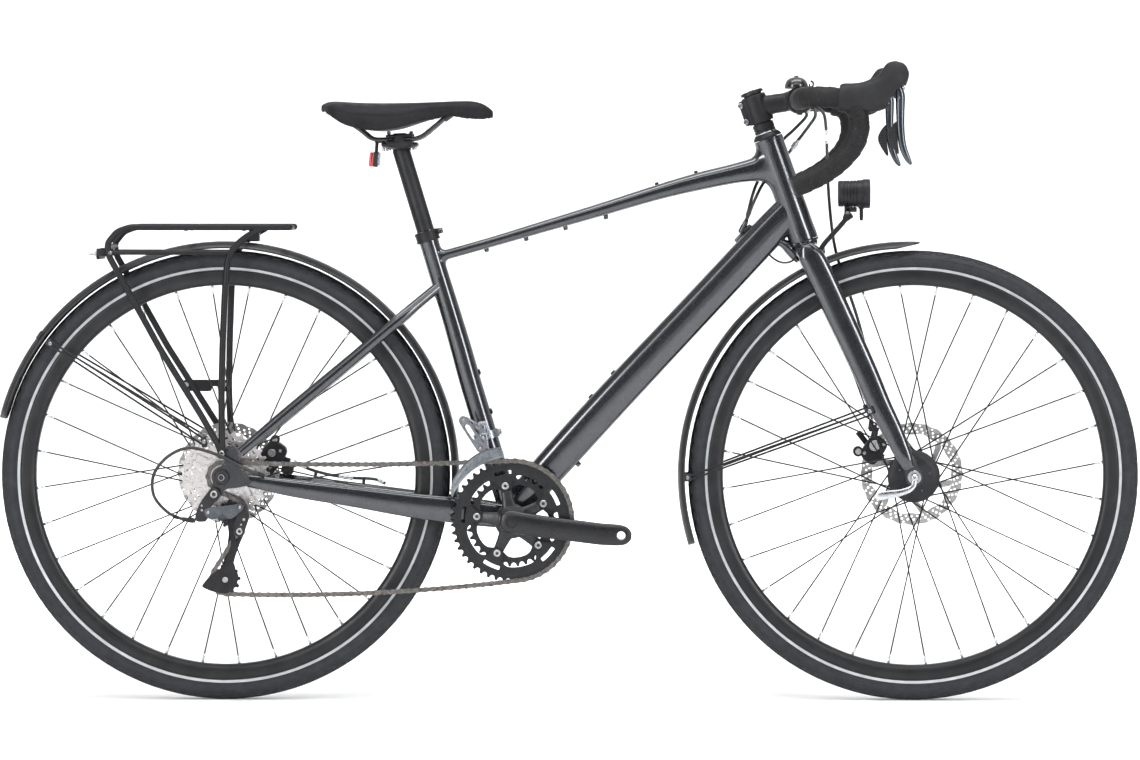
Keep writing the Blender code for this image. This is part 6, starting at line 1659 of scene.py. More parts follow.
        # Steel thread insert of the pedal's eye.
        insert = Skin()
        insert.add(ring_y(eye, [(6.3, sign * 61.2), (7.4, sign * 61.2), (7.4, sign * 71.6), (6.3, sign * 71.6)], 40))
        for k in range(5):
            y_t = sign * (62.4 + 1.9 * k)
            insert.add(ring_y(eye, [(6.35, y_t), (5.95, y_t + sign * 0.45), (6.35, y_t + sign * 0.9)], 40))
        finish(insert, name + "_thread", STEEL, "crankset")
        if not spider:
            pinch = Skin()
            for off in (9, 17):
                at = Vector((BB[0], 0, BB[1])) + d * off * -0.2 + up * 14.6 + Vector((0, sign * (50 + off * 0.55), 0))
                pinch.add(bolt(at, tuple(up), 3.1, 3.2, 1.9, 1.8))
            finish(pinch, name + "_pinch_bolts", STEEL, "crankset")

    arm(-1, CRANK_ANGLE, "crank_arm_right", ["crank_right"], True)
    arm(1, CRANK_ANGLE + 180, "crank_arm_left", ["crank_left"], False)
    spindle = Skin()
    spindle.add(rod((BB[0], -60, BB[1]), (BB[0], 57, BB[1]), 12.0, n=48, chamfer=0.4))
    finish(spindle, "crank_spindle", STEEL, "crankset")


def tangent_points(c1, r1, s1, c2, r2, s2):
    dx, dz = c2[0] - c1[0], c2[1] - c1[1]
    dist = math.hypot(dx, dz)
    base = math.atan2(dz, dx)
    off = math.acos((s1 * r1 - s2 * r2) / dist)
    a = base + off
    n = (math.cos(a), math.sin(a))
    return (c1[0] + s1 * r1 * n[0], c1[1] + s1 * r1 * n[1]), (c2[0] + s2 * r2 * n[0], c2[1] + s2 * r2 * n[1])


def chain_route():
    wheels = [(REAR, pitch_r(11), 1, COG_Y, 24), (BB, pitch_r(TEETH), 1, RING_Y, 60), (PULLEY_LOW, pitch_r(11), 1, COG_Y, 24),
              (PULLEY_UP, pitch_r(11), -1, COG_Y, 24)]
    runs = []
    for i, (c, r, s, y, n) in enumerate(wheels):
        c2, r2, s2, y2, _ = wheels[(i + 1) % 4]
        runs.append(tangent_points(c, r, s, c2, r2, s2))
    points = []
    for i, (c, r, s, y, n) in enumerate(wheels):
        enter, leave = runs[i - 1][1], runs[i][0]
        a0 = math.atan2(enter[1] - c[1], enter[0] - c[0])
        a1 = math.atan2(leave[1] - c[1], leave[0] - c[0])
        turn = (a0 - a1) % (2 * math.pi) if s > 0 else -((a1 - a0) % (2 * math.pi))
        for k in range(n + 1):
            a = a0 - turn * k / n
            points.append(Vector((c[0] + r * math.cos(a), y, c[1] + r * math.sin(a))))
        if i == 0:
            # The upper run hangs a little.
            start, stop = points[-1], Vector((runs[0][1][0], RING_Y, runs[0][1][1]))
            for k in range(1, 14):
                t = k / 14
                p = start.lerp(stop, t) - Vector((0, 0, 4.6 * 4 * t * (1 - t)))
                points.append(Vector((p.x, y + (RING_Y - y) * max(0.0, t - 0.08) / 0.92, p.z)))
        if i == 1:
            start, stop = points[-1], Vector((runs[1][1][0], COG_Y, runs[1][1][1]))
            for k in range(1, 12):
                t = k / 12
                points.append(start.lerp(stop, t) - Vector((0, 0, 8.5 * 4 * t * (1 - t))))
    return points


def make_chain():
    route = chain_route()
    loop = route + [route[0]]
    lengths = [0.0]
    for p, q in zip(loop[:-1], loop[1:]):
        lengths.append(lengths[-1] + (q - p).length)
    total = lengths[-1]
    count = int(round(total / 12.7 / 2)) * 2
    step = total / count
    pins = []
    k = 0
    for i in range(count):
        want = step * i
        while lengths[k + 1] < want:
            k += 1
        t = (want - lengths[k]) / (lengths[k + 1] - lengths[k])
        pins.append(loop[k].lerp(loop[k + 1], t))
    plates, rollers = Skin(), Skin()

    def link(p, q, y_in, y_out):
        d = q - p
        flat = Vector((d.x, 0, d.z)).normalized()
        angle = math.atan2(flat.z, flat.x)
        half = d.length / 2
        mid = (p + q) / 2
        shape2 = []
        r = 4.05
        for a in range(-90, 91, 22):
            shape2.append((half + r * math.cos(math.radians(a)), r * math.sin(math.radians(a))))
        shape2.append((half * 0.35, 3.15))
        shape2.append((-half * 0.35, 3.15))
        for a in range(90, 271, 22):
            shape2.append((-half + r * math.cos(math.radians(a)), r * math.sin(math.radians(a))))
        shape2.append((-half * 0.35, -3.15))
        shape2.append((half * 0.35, -3.15))
        lean = math.asin(max(-1, min(1, (q.y - p.y) / d.length)))
        place = (Matrix.Translation(mid) @ Matrix.Rotation(-angle, 4, "Y") @ Matrix.Rotation(lean, 4, "Z"))
        for sign in (-1, 1):
            a, b = sorted((sign * y_in, sign * y_out))
            plates.add(moved(plate(shape2, a, b), place))

    for i in range(count):
        p, q = pins[i], pins[(i + 1) % count]
        if i % 2:
            link(p, q, 2.15, 2.95)
        else:
            link(p, q, 1.25, 2.05)
        rollers.add(rod(p - Vector((0, 1.2, 0)), p + Vector((0, 1.2, 0)), 3.85, n=16, chamfer=0.3))
        rollers.add(rod(p - Vector((0, 3.25, 0)), p + Vector((0, 3.25, 0)), 1.75, n=12, chamfer=0.3))
    finish(plates, "chain_plates", M["chain"], "frame", ["chain"], angle=35)
    finish(rollers, "chain_rollers_and_pins", M["chain"], "frame", angle=35)


def make_rear_derailleur():
    pin = Vector((0.212, 0.785, 0.583)).normalized()
    b = Skin()
    b.add(rod((-544.5, -88, 323.5), (-544.5, -76, 323.5), 9.6, n=48, chamfer=1.0))
    body = softened([(-552, 329), (-537, 329), (-535.5, 318), (-545, 309), (-549.5, 303), (-551.8, 290), (-557, 281.6), (-560, 281.0), (-569, 280.8), (-574, 284),
                     (-572, 296), (-565, 312)], 2, 0.2)
    b.add(plate(body, -87, -77.2))
    finish(b, "derailleur_b_knuckle", PLASTIC, "frame", ["rd_body"], bevel=1.4, segments=4)
    silver = Skin()
    silver.add(bolt(Vector((-544.5, -87.8, 323.5)), (0, -1, 0), 5.6, 1.6, 3.0, 1.5, n=40))
    silver.add(rod((-544.5, -76, 323.5), (-544.5, -66.5, 323.5), 4.2, n=24))
    finish(silver, "derailleur_b_bolt", BRUSHED, "frame")
    # Painted shade: a black hexagon inside the screw's socket stands in for the shade in it.
    hexes = Skin()
    hexes.add(rod((-544.5, -88.1, 323.5), (-544.5, -88.35, 323.5), 3.7, n=6))
    finish(hexes, "derailleur_b_bolt_socket_shade", BLACK_GLOSS, "frame")
    barrel = Skin()
    at, to = Vector((-573, -82, 282.5)), Vector((-593.5, -82, 285.2))
    barrel.add(rod(at, to, 3.4, n=24, chamfer=0.4))
    axis = (to - at).normalized()
    for k in range(12):
        a = math.radians(30 * k)
        off = Vector((0, 1, 0)) * math.cos(a) * 3.6 + Vector((-axis.z, 0, axis.x)) * math.sin(a) * 3.6
        barrel.add(rod(at + axis * 3 + off, at + axis * 12 + off, 0.55, n=8, chamfer=0.15))
    finish(barrel, "derailleur_barrel", PLASTIC, "frame")
    limit = Skin()
    for z in (299, 306):
        limit.add(bolt(Vector((-563, -87, z)), (0, -1, 0), 1.8, 0.9, 1.0, 0.6))
    limit.add(rod((-573.5, -80, 300), (-577.5, -80, 301.5), 1.7, n=14, chamfer=0.3))
    finish(limit, "derailleur_limit_screws", STEEL, "frame")

    link = Skin()
    rows = [(-556.5, -79, 296, 4, 4.5), (-549, -79.5, 295.5, 5, 7), (-540, -80, 294.5, 6.5, 9.2), (-518, -80, 296, 6.5, 9.2), (-511, -79.5, 300, 5, 6.5), (-503, -79, 302, 4, 4.5)]
    path, sections = stations(rows, 40, 2.9, 36)
    # The outer plate of the parallelogram has an arch below, so it is made as a shaped plate over the rounded body.
    shell = sweep(path, sections, (0, 1, 0))
    link.add(shell)
    finish(link, "derailleur_link", DARK_ALLOY, "rd_link", ["rd_link"], angle=50)
    face = Skin()
    outline = softened([(-560, 299), (-552, 303.5), (-535, 305.0), (-516, 307), (-504, 309.2), (-498.6, 305.6), (-499.5, 299.2), (-505, 296.0), (-509, 291.5), (-516, 286.4),
                        (-523, 285.6), (-526.5, 290.5), (-531.5, 293), (-536.5, 290.4), (-540, 285.0), (-549, 285.2), (-557, 289)], 2, 0.2)
    face.add(plate(outline, -88.6, -84.6))
    finish(face, "derailleur_link_face", GREY_ALLOY, "rd_link", bevel=1.4, segments=4)
    pins = Skin()
    for at in ((-553.5, -84, 295.5), (-504.5, -84, 303.2)):
        c = Vector(at)
        pins.add(rod(c - Vector((0, 5.4, 0)), c, 2.4, n=20, chamfer=0.5))
    finish(pins, "derailleur_link_pins", STEEL, "rd_link")

    kn = Skin()
    kn.add(rod((-505.5, -85, 266.2), (-505.5, -67.7, 266.2), 8.4, n=48, chamfer=1.2))
    outline = softened([(-513, 305), (-502, 307), (-495, 303), (-490.5, 295), (-490.5, 287), (-495, 274), (-499, 262), (-512, 263), (-514, 272), (-513, 281), (-509, 289)], 2, 0.2)
    kn.add(plate(outline, -84.2, -73))
    finish(kn, "derailleur_p_knuckle", PLASTIC, "rd_knuckle", ["rd_knuckle"], bevel=1.6, segments=4)
    dots = Skin()
    for x, z, r in ((-498.5, 284.5, 2.1), (-502.8, 276.5, 1.6)):
        dots.add(bolt(Vector((x, -84.0, z)), (0, -1, 0), r, 0.9, r * 0.5, 0.6, n=20))
    dots.add(bolt(Vector((-505.5, -84.8, 266.2)), (0, -1, 0), 5.0, 0.9, 2.2, 0.8, n=28))
    dots.add(rod((-489.5, -79, 297), (-486.8, -79, 296), 2.0, n=16, chamfer=0.3))
    finish(dots, "derailleur_p_screws", BRUSHED, "rd_knuckle")

    outer = softened([(-497, 272), (-498.7, 263), (-506, 247), (-512, 230), (-516.5, 215), (-516, 206), (-511, 200), (-510.5, 189), (-515, 177.5), (-522, 170.8), (-531, 168.4),
                      (-549, 172), (-564, 178.5), (-565, 182), (-552.5, 197), (-540.5, 205.5), (-532, 210), (-524, 233), (-519, 247), (-524, 272), (-527, 290), (-518, 300),
                      (-509, 292)], 2, 0.2)
    cage = Skin()
    cage.add(plate(outer, -66.6, -65.0, [softened([(-509, 262), (-513.5, 262), (-513.5, 252), (-509.5, 250)], 2, 0.2)]))
    cage.add(plate([(x + 0.0, z) for x, z in softened([(-514, 214), (-512.5, 205), (-508.5, 199), (-509, 189), (-513.6, 178.4), (-521, 171.6), (-531, 169.2), (-548, 172.6), (-558, 177.5),
                                                   (-549, 190), (-538, 203), (-529, 207), (-522, 226)], 2, 0.2)], -67.5, -66.5,
                   [full(PULLEY_LOW, 9.5, 32)]))
    finish(cage, "derailleur_cage_outer", ANODISED_SATIN, "rd_cage", ["rd_cage"], bevel=0.35)
    inner = softened([(-502, 272), (-504, 258), (-512, 238), (-517, 215), (-518, 203), (-519, 190), (-522, 181), (-532, 179), (-541, 186), (-540, 198), (-533, 215), (-527, 240),
                      (-524, 262), (-528, 284), (-526, 296), (-518, 301), (-509, 297), (-506, 286)], 2, 0.2)
    cage2 = Skin()
    cage2.add(plate(inner, -57.3, -55.9))
    cage2.add(rod((-508, -65.5, 262), (-508, -56, 262), 1.8, n=16))
    finish(cage2, "derailleur_cage_inner", ANODISED_SATIN, "rd_cage", bevel=0.3)
    low = Skin()
    low.add(bolt(Vector((PULLEY_LOW[0], -67.2, PULLEY_LOW[1])), (0, -1, 0), 4.4, 1.3, 1.9, 1.0))
    low.add(rod((PULLEY_LOW[0], -66, PULLEY_LOW[1]), (PULLEY_LOW[0], -55, PULLEY_LOW[1]), 2.6, n=20))
    low.add(bolt(Vector((PULLEY_UP[0], -66.5, PULLEY_UP[1])), (0, -1, 0), 3.6, 1.0, 1.7, 0.8))
    low.add(rod((PULLEY_UP[0], -66, PULLEY_UP[1]), (PULLEY_UP[0], -55, PULLEY_UP[1]), 2.6, n=20))
    finish(low, "derailleur_pulley_bolts", BRUSHED, "rd_cage")

    for centre, name, body in ((PULLEY_UP, "jockey_wheel_upper", "rd_upper_pulley"), (PULLEY_LOW, "jockey_wheel_lower", "rd_lower_pulley")):
        w = Skin()
        holes = [full(centre, 7.4, 32)]
        for k in range(5):
            holes.append(window(centre, 9.6, 14.4, 72 * k + 12, 72 * k + 60, 0.22, 5))
        w.add(plate(toothed(centre, 11, 2.4, 5), -62.05, -59.95, holes))
        finish(w, name, PLASTIC, body, [body], bevel=0.3)
        hub = Skin()
        hub.add(ring_y(centre, [(3.5, -63.5), (7.2, -63.5), (7.8, -63.1), (7.8, -58.9), (7.2, -58.5), (3.5, -58.5)], 40))
        finish(hub, name + "_bush", GREY_ALLOY, body)


def make_front_derailleur():
    m = axis_matrix(on_seat(404.2) + Vector((-1.9, 0, 0)), SEAT_DIR)
    band = Skin()
    band.add(lathe([(16.6, 0), (19.8, 0), (20.2, 0.5), (20.2, 12.1), (19.8, 12.6), (16.6, 12.6)], 64, m))
    band.add(block((-108.3, 3, 416.5), (7, 12, 9), turn=17, r=1.6))
    finish(band, "front_derailleur_clamp", FD_GREY, "frame", ["fd_body"])
    body = Skin()
    body.add(block((-128, -20.5, 411), (15, 11, 12), turn=17, r=2.2, seg=3))
    body.add(block((-133, -25.2, 423), (15, 4.6, 20), turn=17, r=2.0, seg=3))
    body.add(block((-131.5, -27.2, 416), (13.5, 3.2, 12), turn=17, r=1.4, seg=3))
    finish(body, "front_derailleur_body", FD_GREY, "frame", angle=40)
    screws = Skin()
    screws.add(bolt(Vector((-109, -3.2, 416.3)), (0, -1, 0), 3.2, 1.4, 1.5, 1.0))
    for dx in (-3.4, 3.4):
        screws.add(bolt(Vector((-133 + dx, -27.6, 429.6)), (0, -1, 0), 1.6, 0.9, 0.9, 0.6))
    finish(screws, "front_derailleur_screws", STEEL, "frame")

    def sector(r0, r1, a0, a1, y0, y1, n=30, taper=0.0):
        pts = []
        for k in range(n + 1):
            a = a0 + (a1 - a0) * k / n
            edge = min(1.0, min(k, n - k) / 4)
            p = polar(BB, r1 - (1 - edge) * (r1 - r0) * 0.35 - taper * max(0.0, (a - 118) / 40) ** 1.2, a)
            pts.append((p.x, p.z))
        for k in range(n + 1):
            a = a1 - (a1 - a0) * k / n
            p = polar(BB, r0, a)
            pts.append((p.x, p.z))
        return plate(softened(pts, 1, 0.2), y0, y1)

    cage = Skin()
    cage.add(sector(98.8, 115, 97, 158, -54.4, -53.0, taper=8.5))
    cage.add(sector(98.8, 117, 99, 155, -42.6, -41.2, taper=9.0))
    for r0, r1, a0, a1 in ((112.2, 116.5, 99.5, 116), (100, 108.0, 152, 154.6)):
        cage.add(sector(r0, r1, a0, a1, -53.6, -41.8, 8))
    finish(cage, "front_derailleur_cage", FD_GREY, "fd_cage", ["fd_cage"], bevel=0.4)
    # Two rolled ribs along the outer plate; the stamped recess on it is not made.
    rib = Skin()
    pts = [tuple(polar(BB, 100.2, a, -54.7)) for a in range(101, 154, 3)]
    rib.add(tube(pts, 0.75, 10, round_ends=True))
    pts = [tuple(polar(BB, 111.6 - 8.5 * max(0.0, (a - 118) / 40) ** 1.2, a, -54.7)) for a in range(104, 148, 3)]
    rib.add(tube(pts, 0.6, 10, round_ends=True))
    finish(rib, "front_derailleur_cage_ribs", FD_GREY, "fd_cage")
    arms = Skin()
    arms.add(block((-133.5, -33.4, 420), (11, 8, 28), turn=8, r=2.4, seg=3))
    arms.add(block((-129.5, -38.4, 399), (12, 8, 34), turn=8, r=2.2, seg=3))
    arms.add(block((-149, -35, 430), (30, 6, 10), turn=-32, r=2.4, seg=3))
    outer = softened([(-170, 437), (-165, 443), (-157, 441), (-152, 434), (-130, 398), (-128, 390), (-133, 385), (-140, 387), (-144, 393), (-168, 430)], 2, 0.2)
    arms.add(plate(outer, -44.5, -39.5, [softened([(-158, 430), (-153, 428), (-142, 409), (-145, 405), (-149, 408), (-160, 425)], 2, 0.2)]))
    finish(arms, "front_derailleur_links", FD_GREY, "fd_cage", angle=40)
    pins = Skin()
    for x, y, z in ((-134.5, -37.2, 430), (-132, -42.2, 408), (-136.5, -44.6, 391.5), (-162.5, -44.6, 435.5)):
        pins.add(rod((x, y + 1.4, z), (x, y - 1.0, z), 2.5, n=20, chamfer=0.4))
    finish(pins, "front_derailleur_pins", STEEL, "fd_cage")


make_cassette()
make_chainrings()
make_cranks()
make_chain()
make_rear_derailleur()
make_front_derailleur()


# ---------------------------------------------------------------- calipers
def make_calipers():
    def body(front):
        cx, cz, turn, y0, y1 = (474, 387.5, 55, 26.5, 46.2) if front else (-466, 374.5, 55, 38.5, 64.5)
        slot_y = 39.6 if front else 50.4
        w, h = (44, 31) if front else (50, 35)
        rot = Matrix.Translation((cx, 0, cz)) @ Matrix.Rotation(-math.radians(turn), 4, "Y")
        shape2 = softened([(-w / 2, -h / 2 + 5), (-w / 2 + 6, -h / 2), (w / 2 - 8, -h / 2), (w / 2, -h / 2 + 7), (w / 2, h / 2 - 9), (w / 2 - 9, h / 2), (-w / 2 + 8, h / 2),
                           (-w / 2, h / 2 - 8)], 2, 0.2)
        s = Skin()
        s.add(moved(plate(shape2, y0, slot_y - 2.2), rot))
        s.add(moved(plate(shape2, slot_y + 2.2, y1), rot))
        # The bridge over the rotor's edge, on the side away from the axle.
        bridge = [(-w / 2 + 7, h / 2 - 4.6), (w / 2 - 8, h / 2 - 4.6), (w / 2 - 9, h / 2 - 0.8), (-w / 2 + 8, h / 2 - 0.8)]
        if not front:
            bridge = [(w / 2 - 9, -h / 2 + 8), (w / 2 - 0.8, -h / 2 + 9), (w / 2 - 0.8, h / 2 - 11), (w / 2 - 9, h / 2 - 10)]
        s.add(moved(plate(bridge, slot_y - 2.4, slot_y + 2.4), rot))
        finish(s, ("front" if front else "rear") + "_caliper_body", ANODISED_SATIN, "fork" if front else "frame",
               ["front_caliper" if front else "rear_caliper"], bevel=1.4, segments=4)
        return rot, y0, y1, slot_y

    rot, y0, y1, slot_y = body(True)
    d = Skin()
    # Mounting posts with their screws, and the pad's adjuster on the near side.
    d.add(rod((474, 47, 404), (478, 50, 421), 5.2, n=28, chamfer=0.6))
    d.add(rod((470, 57, 420), (471.2, 57, 431), 4.0, n=28, chamfer=0.6))
    d.add(block((473, 52, 420), (14, 13, 9), turn=15, r=2.5, seg=3))
    d.add(block((482, 46.5, 374), (18, 6, 13), turn=55, r=2.5, seg=3))
    d.add(rod((449.5, 26, 384.4), (449.5, 44, 384.4), 8.0, n=36, chamfer=0.8))
    finish(d, "front_caliper_mounts", ANODISED_SATIN, "fork")
    screws = Skin()
    near = rot @ Vector((5.5, y0, 2.6))
    screws.add(bolt(near, (0, -1, 0), 8.4, 2.6, 3.0, 1.5, n=40))
    screws.add(bolt(Vector((449.5, 26.1, 384.4)), (0, -1, 0), 4.6, 1.2, 2.2, 0.9, n=32))
    for x, z in ((15, -8), (-13, 9)):
        screws.add(bolt(rot @ Vector((x, y0, z)), (0, -1, 0), 2.6, 1.4, 1.4, 1.0))
    finish(screws, "front_caliper_screws", BRUSHED, "fork")
    ring = Skin()
    c = rot @ Vector((5.5, 0, 2.6))
    ring.add(ring_y((c.x, c.z), [(8.7, y0 - 1.2), (10.4, y0 - 1.0), (11.0, y0 - 0.4), (11.0, y0 + 0.4), (8.7, y0 + 0.4)], 48))
    for k in range(16):
        p = polar((c.x, c.z), 10.7, 22.5 * k, y0 - 1.0)
        ring.add(rod(p, p + Vector((0, 1.2, 0)), 0.7, n=8))
    finish(ring, "front_caliper_adjuster", ANODISED, "fork")

    rot, y0, y1, slot_y = body(False)
    d = Skin()
    d.add(rod((-456, 56, 372), (-438, 56, 366), 5.6, n=28, chamfer=0.6))
    d.add(rod((-460.5, 42, 401.5), (-460.5, 60, 401.5), 7.0, n=28, chamfer=0.8))
    d.add(block((-441, 52, 357), (19, 19, 18), turn=-12, r=3.0, seg=3))
    d.add(rod((-443, 42, 350), (-443, 60, 350), 5.0, n=28, chamfer=0.8))
    finish(d, "rear_caliper_mount", ANODISED_SATIN, "frame")
    screws = Skin()
    screws.add(bolt(rot @ Vector((6, y0, 3)), (0, -1, 0), 6.4, 2.0, 2.6, 1.3, n=32))
    screws.add(bolt(Vector((-460.5, 42.2, 401.5)), (0, -1, 0), 4.2, 1.4, 2.0, 1.0, n=28))
    for x, z in ((-15, -8), (-13, 8), (16, -6)):
        screws.add(bolt(rot @ Vector((x, y0, z)), (0, -1, 0), 2.4, 1.3, 1.3, 0.9))
    screws.add(rod((-432.4, 56, 366), (-427.5, 56, 364.6), 4.2, n=6, chamfer=0.5))
    finish(screws, "rear_caliper_screws", BRUSHED, "frame")

    # The cable's arms.
    arm = Skin()
    arm.add(ring_y((471, 386), [(0, 61.4), (8.6, 61.4), (9.0, 61.8), (9.0, 66.0), (8.6, 66.4), (0, 66.4)], 48))
    arm.add(block((460.5, 64, 400), (34, 3.8, 9), turn=128, r=1.2, seg=3))
    finish(arm, "front_caliper_lever", ANODISED, "front_caliper_arm", ["front_caliper_arm"])
    b = Skin()
    b.add(bolt(Vector((471, 66.3, 386)), (0, 1, 0), 4.2, 1.8, 2.0, 1.2))
    b.add(bolt(Vector((451.5, 65.8, 411.5)), (0, 1, 0), 3.0, 1.6, 1.6, 1.0))
    finish(b, "front_caliper_lever_screws", STEEL, "front_caliper_arm")
    arm = Skin()
    arm.add(ring_y((-466, 372), [(0, 65.4), (8.1, 65.4), (8.5, 65.8), (8.5, 70.0), (8.1, 70.4), (0, 70.4)], 48))
    arm.add(block((-461, 68, 383), (26, 3.8, 8), turn=66, r=1.2, seg=3))
    finish(arm, "rear_caliper_lever", ANODISED, "rear_caliper_arm", ["rear_caliper_arm"])
    b = Skin()
    b.add(bolt(Vector((-466, 70.3, 372)), (0, 1, 0), 4.2, 1.6, 2.0, 1.2))
    b.add(bolt(Vector((-457, 69.8, 392.5)), (0, 1, 0), 2.8, 1.4, 1.5, 1.0))
    finish(b, "rear_caliper_lever_screws", STEEL, "rear_caliper_arm")


# ---------------------------------------------------------------- mudguards
def guard_blade(centre, a0, a1, r_top=363.0, flat=0.0):
    """The mudguard's shell: a domed strip with rolled edges, swept round the wheel."""
    half, t = 23.0, 1.7

    # Outer line from edge to edge, then the inner line back.
    def line(offset, depth, rows=18):
        pts = []
        for k in range(rows + 1):
            u = -1 + 2 * k / rows
            y = u * half
            drop = depth * (abs(u) ** 2.6)
            pts.append((r_top - drop + offset, y))
        return pts

    def section(depth):
        outer, inner = line(0.0, depth), line(-t, depth)
        edge_hi = [(outer[-1][0] - 1.2, half + 0.55), (inner[-1][0] - 0.9, half + 0.3)]
        return outer + edge_hi + list(reversed(inner)) + [(inner[0][0] - 0.9, -half - 0.3), (outer[0][0] - 1.2, -half - 0.55)]

    n = 160
    rings = []
    for k in range(n + 1):
        a = a0 + (a1 - a0) * k / n
        # Both ends are rounded off, seen from above.
        arc_in = min(k, n - k) * abs(a1 - a0) / n * math.pi / 180 * r_top
        squeeze = 1.0
        if arc_in < 16:
            squeeze = max(0.30, math.sqrt(max(0.0, 1 - ((16 - arc_in) / 16.8) ** 2)))
        # One end may run out flat and narrow, and lean towards the tyre.
        depth, lean = 8.6, 0.0
        if flat:
            u = min(1.0, abs(a - a0) / flat)
            depth *= u ** 0.8
            squeeze *= 0.72 + 0.28 * u
            lean = 2.4 * max(0.0, 1 - abs(a - a0) / (3 * flat))
        rings.append([tuple(polar(centre, r - lean, a, y * squeeze)) for r, y in section(depth)])
    return skinned(rings)


def make_guards():
    rear = Skin()
    rear.add(guard_blade(REAR, -8.0, 165.7))
    finish(rear, "rear_mudguard_blade", FENDER, "frame", ["rear_fender"], angle=50)
    front = Skin()
    front.add(guard_blade(FRONT, 88.4, 197.4, 364.8, 6.0))
    finish(front, "front_mudguard_blade", FENDER, "fork", ["front_fender"], angle=50)

    def stay(points, body, name):
        s = Skin()
        for path in points:
            s.add(tube(path, 1.55, 14, round_ends=True))
        finish(s, name, POWDER, body)

    # Rear: a bracket at the back, two lugs and two pairs of stays.
    b = Skin()
    for sign in (-1, 1):
        b.add(block((-803, sign * 25.5, 553.5), (13, 6, 11), turn=-32, r=1.6, seg=3))
        b.add(block((-560, sign * 78.2, 404), (9, 5.6, 17), turn=8, r=1.6, seg=3))
    b.add(block((-820.1, 0, 566.5), (6, 40, 15), turn=-38, r=2.0, seg=3))
    finish(b, "rear_mudguard_brackets", PLASTIC, "frame")
    stays = [[(-803, sign * 25.8, z0), (-795, sign * 28.4, z0 - 4.5), (-560 - dx, sign * 78.3, z1)] for sign in (-1, 1) for z0, z1, dx in ((557, 408.5, 0), (550, 399.5, 2))]
    stay(stays, "frame", "rear_mudguard_stays")
    screws = Skin()
    for sign in (-1, 1):
        screws.add(bolt(Vector((-803, sign * 28.4, 553.5)), (0, sign, 0), 2.7, 1.5, 1.4, 0.9))
        screws.add(bolt(Vector((-560, sign * 81.0, 404)), (0, sign, 0), 3.1, 1.8, 1.6, 1.1))
    d = polar((0, 0), 1, 142)
    screws.add(bolt(Vector((-822.6, 0, 568.4)), tuple(d), 3.0, 1.4, 1.5, 0.9))
    finish(screws, "rear_mudguard_screws", STEEL, "frame")
    # Front: bracket near the lower end, lugs and two pairs of stays.
    b = Skin()
    for sign in (-1, 1):
        b.add(block((184, sign * 25.5, 346.5), (11, 6, 12), turn=5, r=1.6, seg=3))
        b.add(block((464, sign * 63.2, 451), (10, 5.4, 12), turn=20, r=1.6, seg=3))
    b.add(block((176.5, 0, 347), (6, 40, 14), turn=0, r=2.0, seg=3))
    finish(b, "front_mudguard_brackets", PLASTIC, "fork")
    stays = [[(186, sign * 26.0, z0), (196, sign * 28.2, z0 + 3.4), (464, sign * 63.0, z1)] for sign in (-1, 1) for z0, z1 in ((348.5, 451.5), (342.5, 444.5))]
    stay(stays, "fork", "front_mudguard_stays")
    screws = Skin()
    for sign in (-1, 1):
        screws.add(bolt(Vector((184, sign * 28.3, 346.5)), (0, sign, 0), 2.7, 1.5, 1.4, 0.9))
        screws.add(bolt(Vector((464, sign * 65.8, 451)), (0, sign, 0), 3.1, 1.8, 1.6, 1.1))
    finish(screws, "front_mudguard_screws", STEEL, "fork")


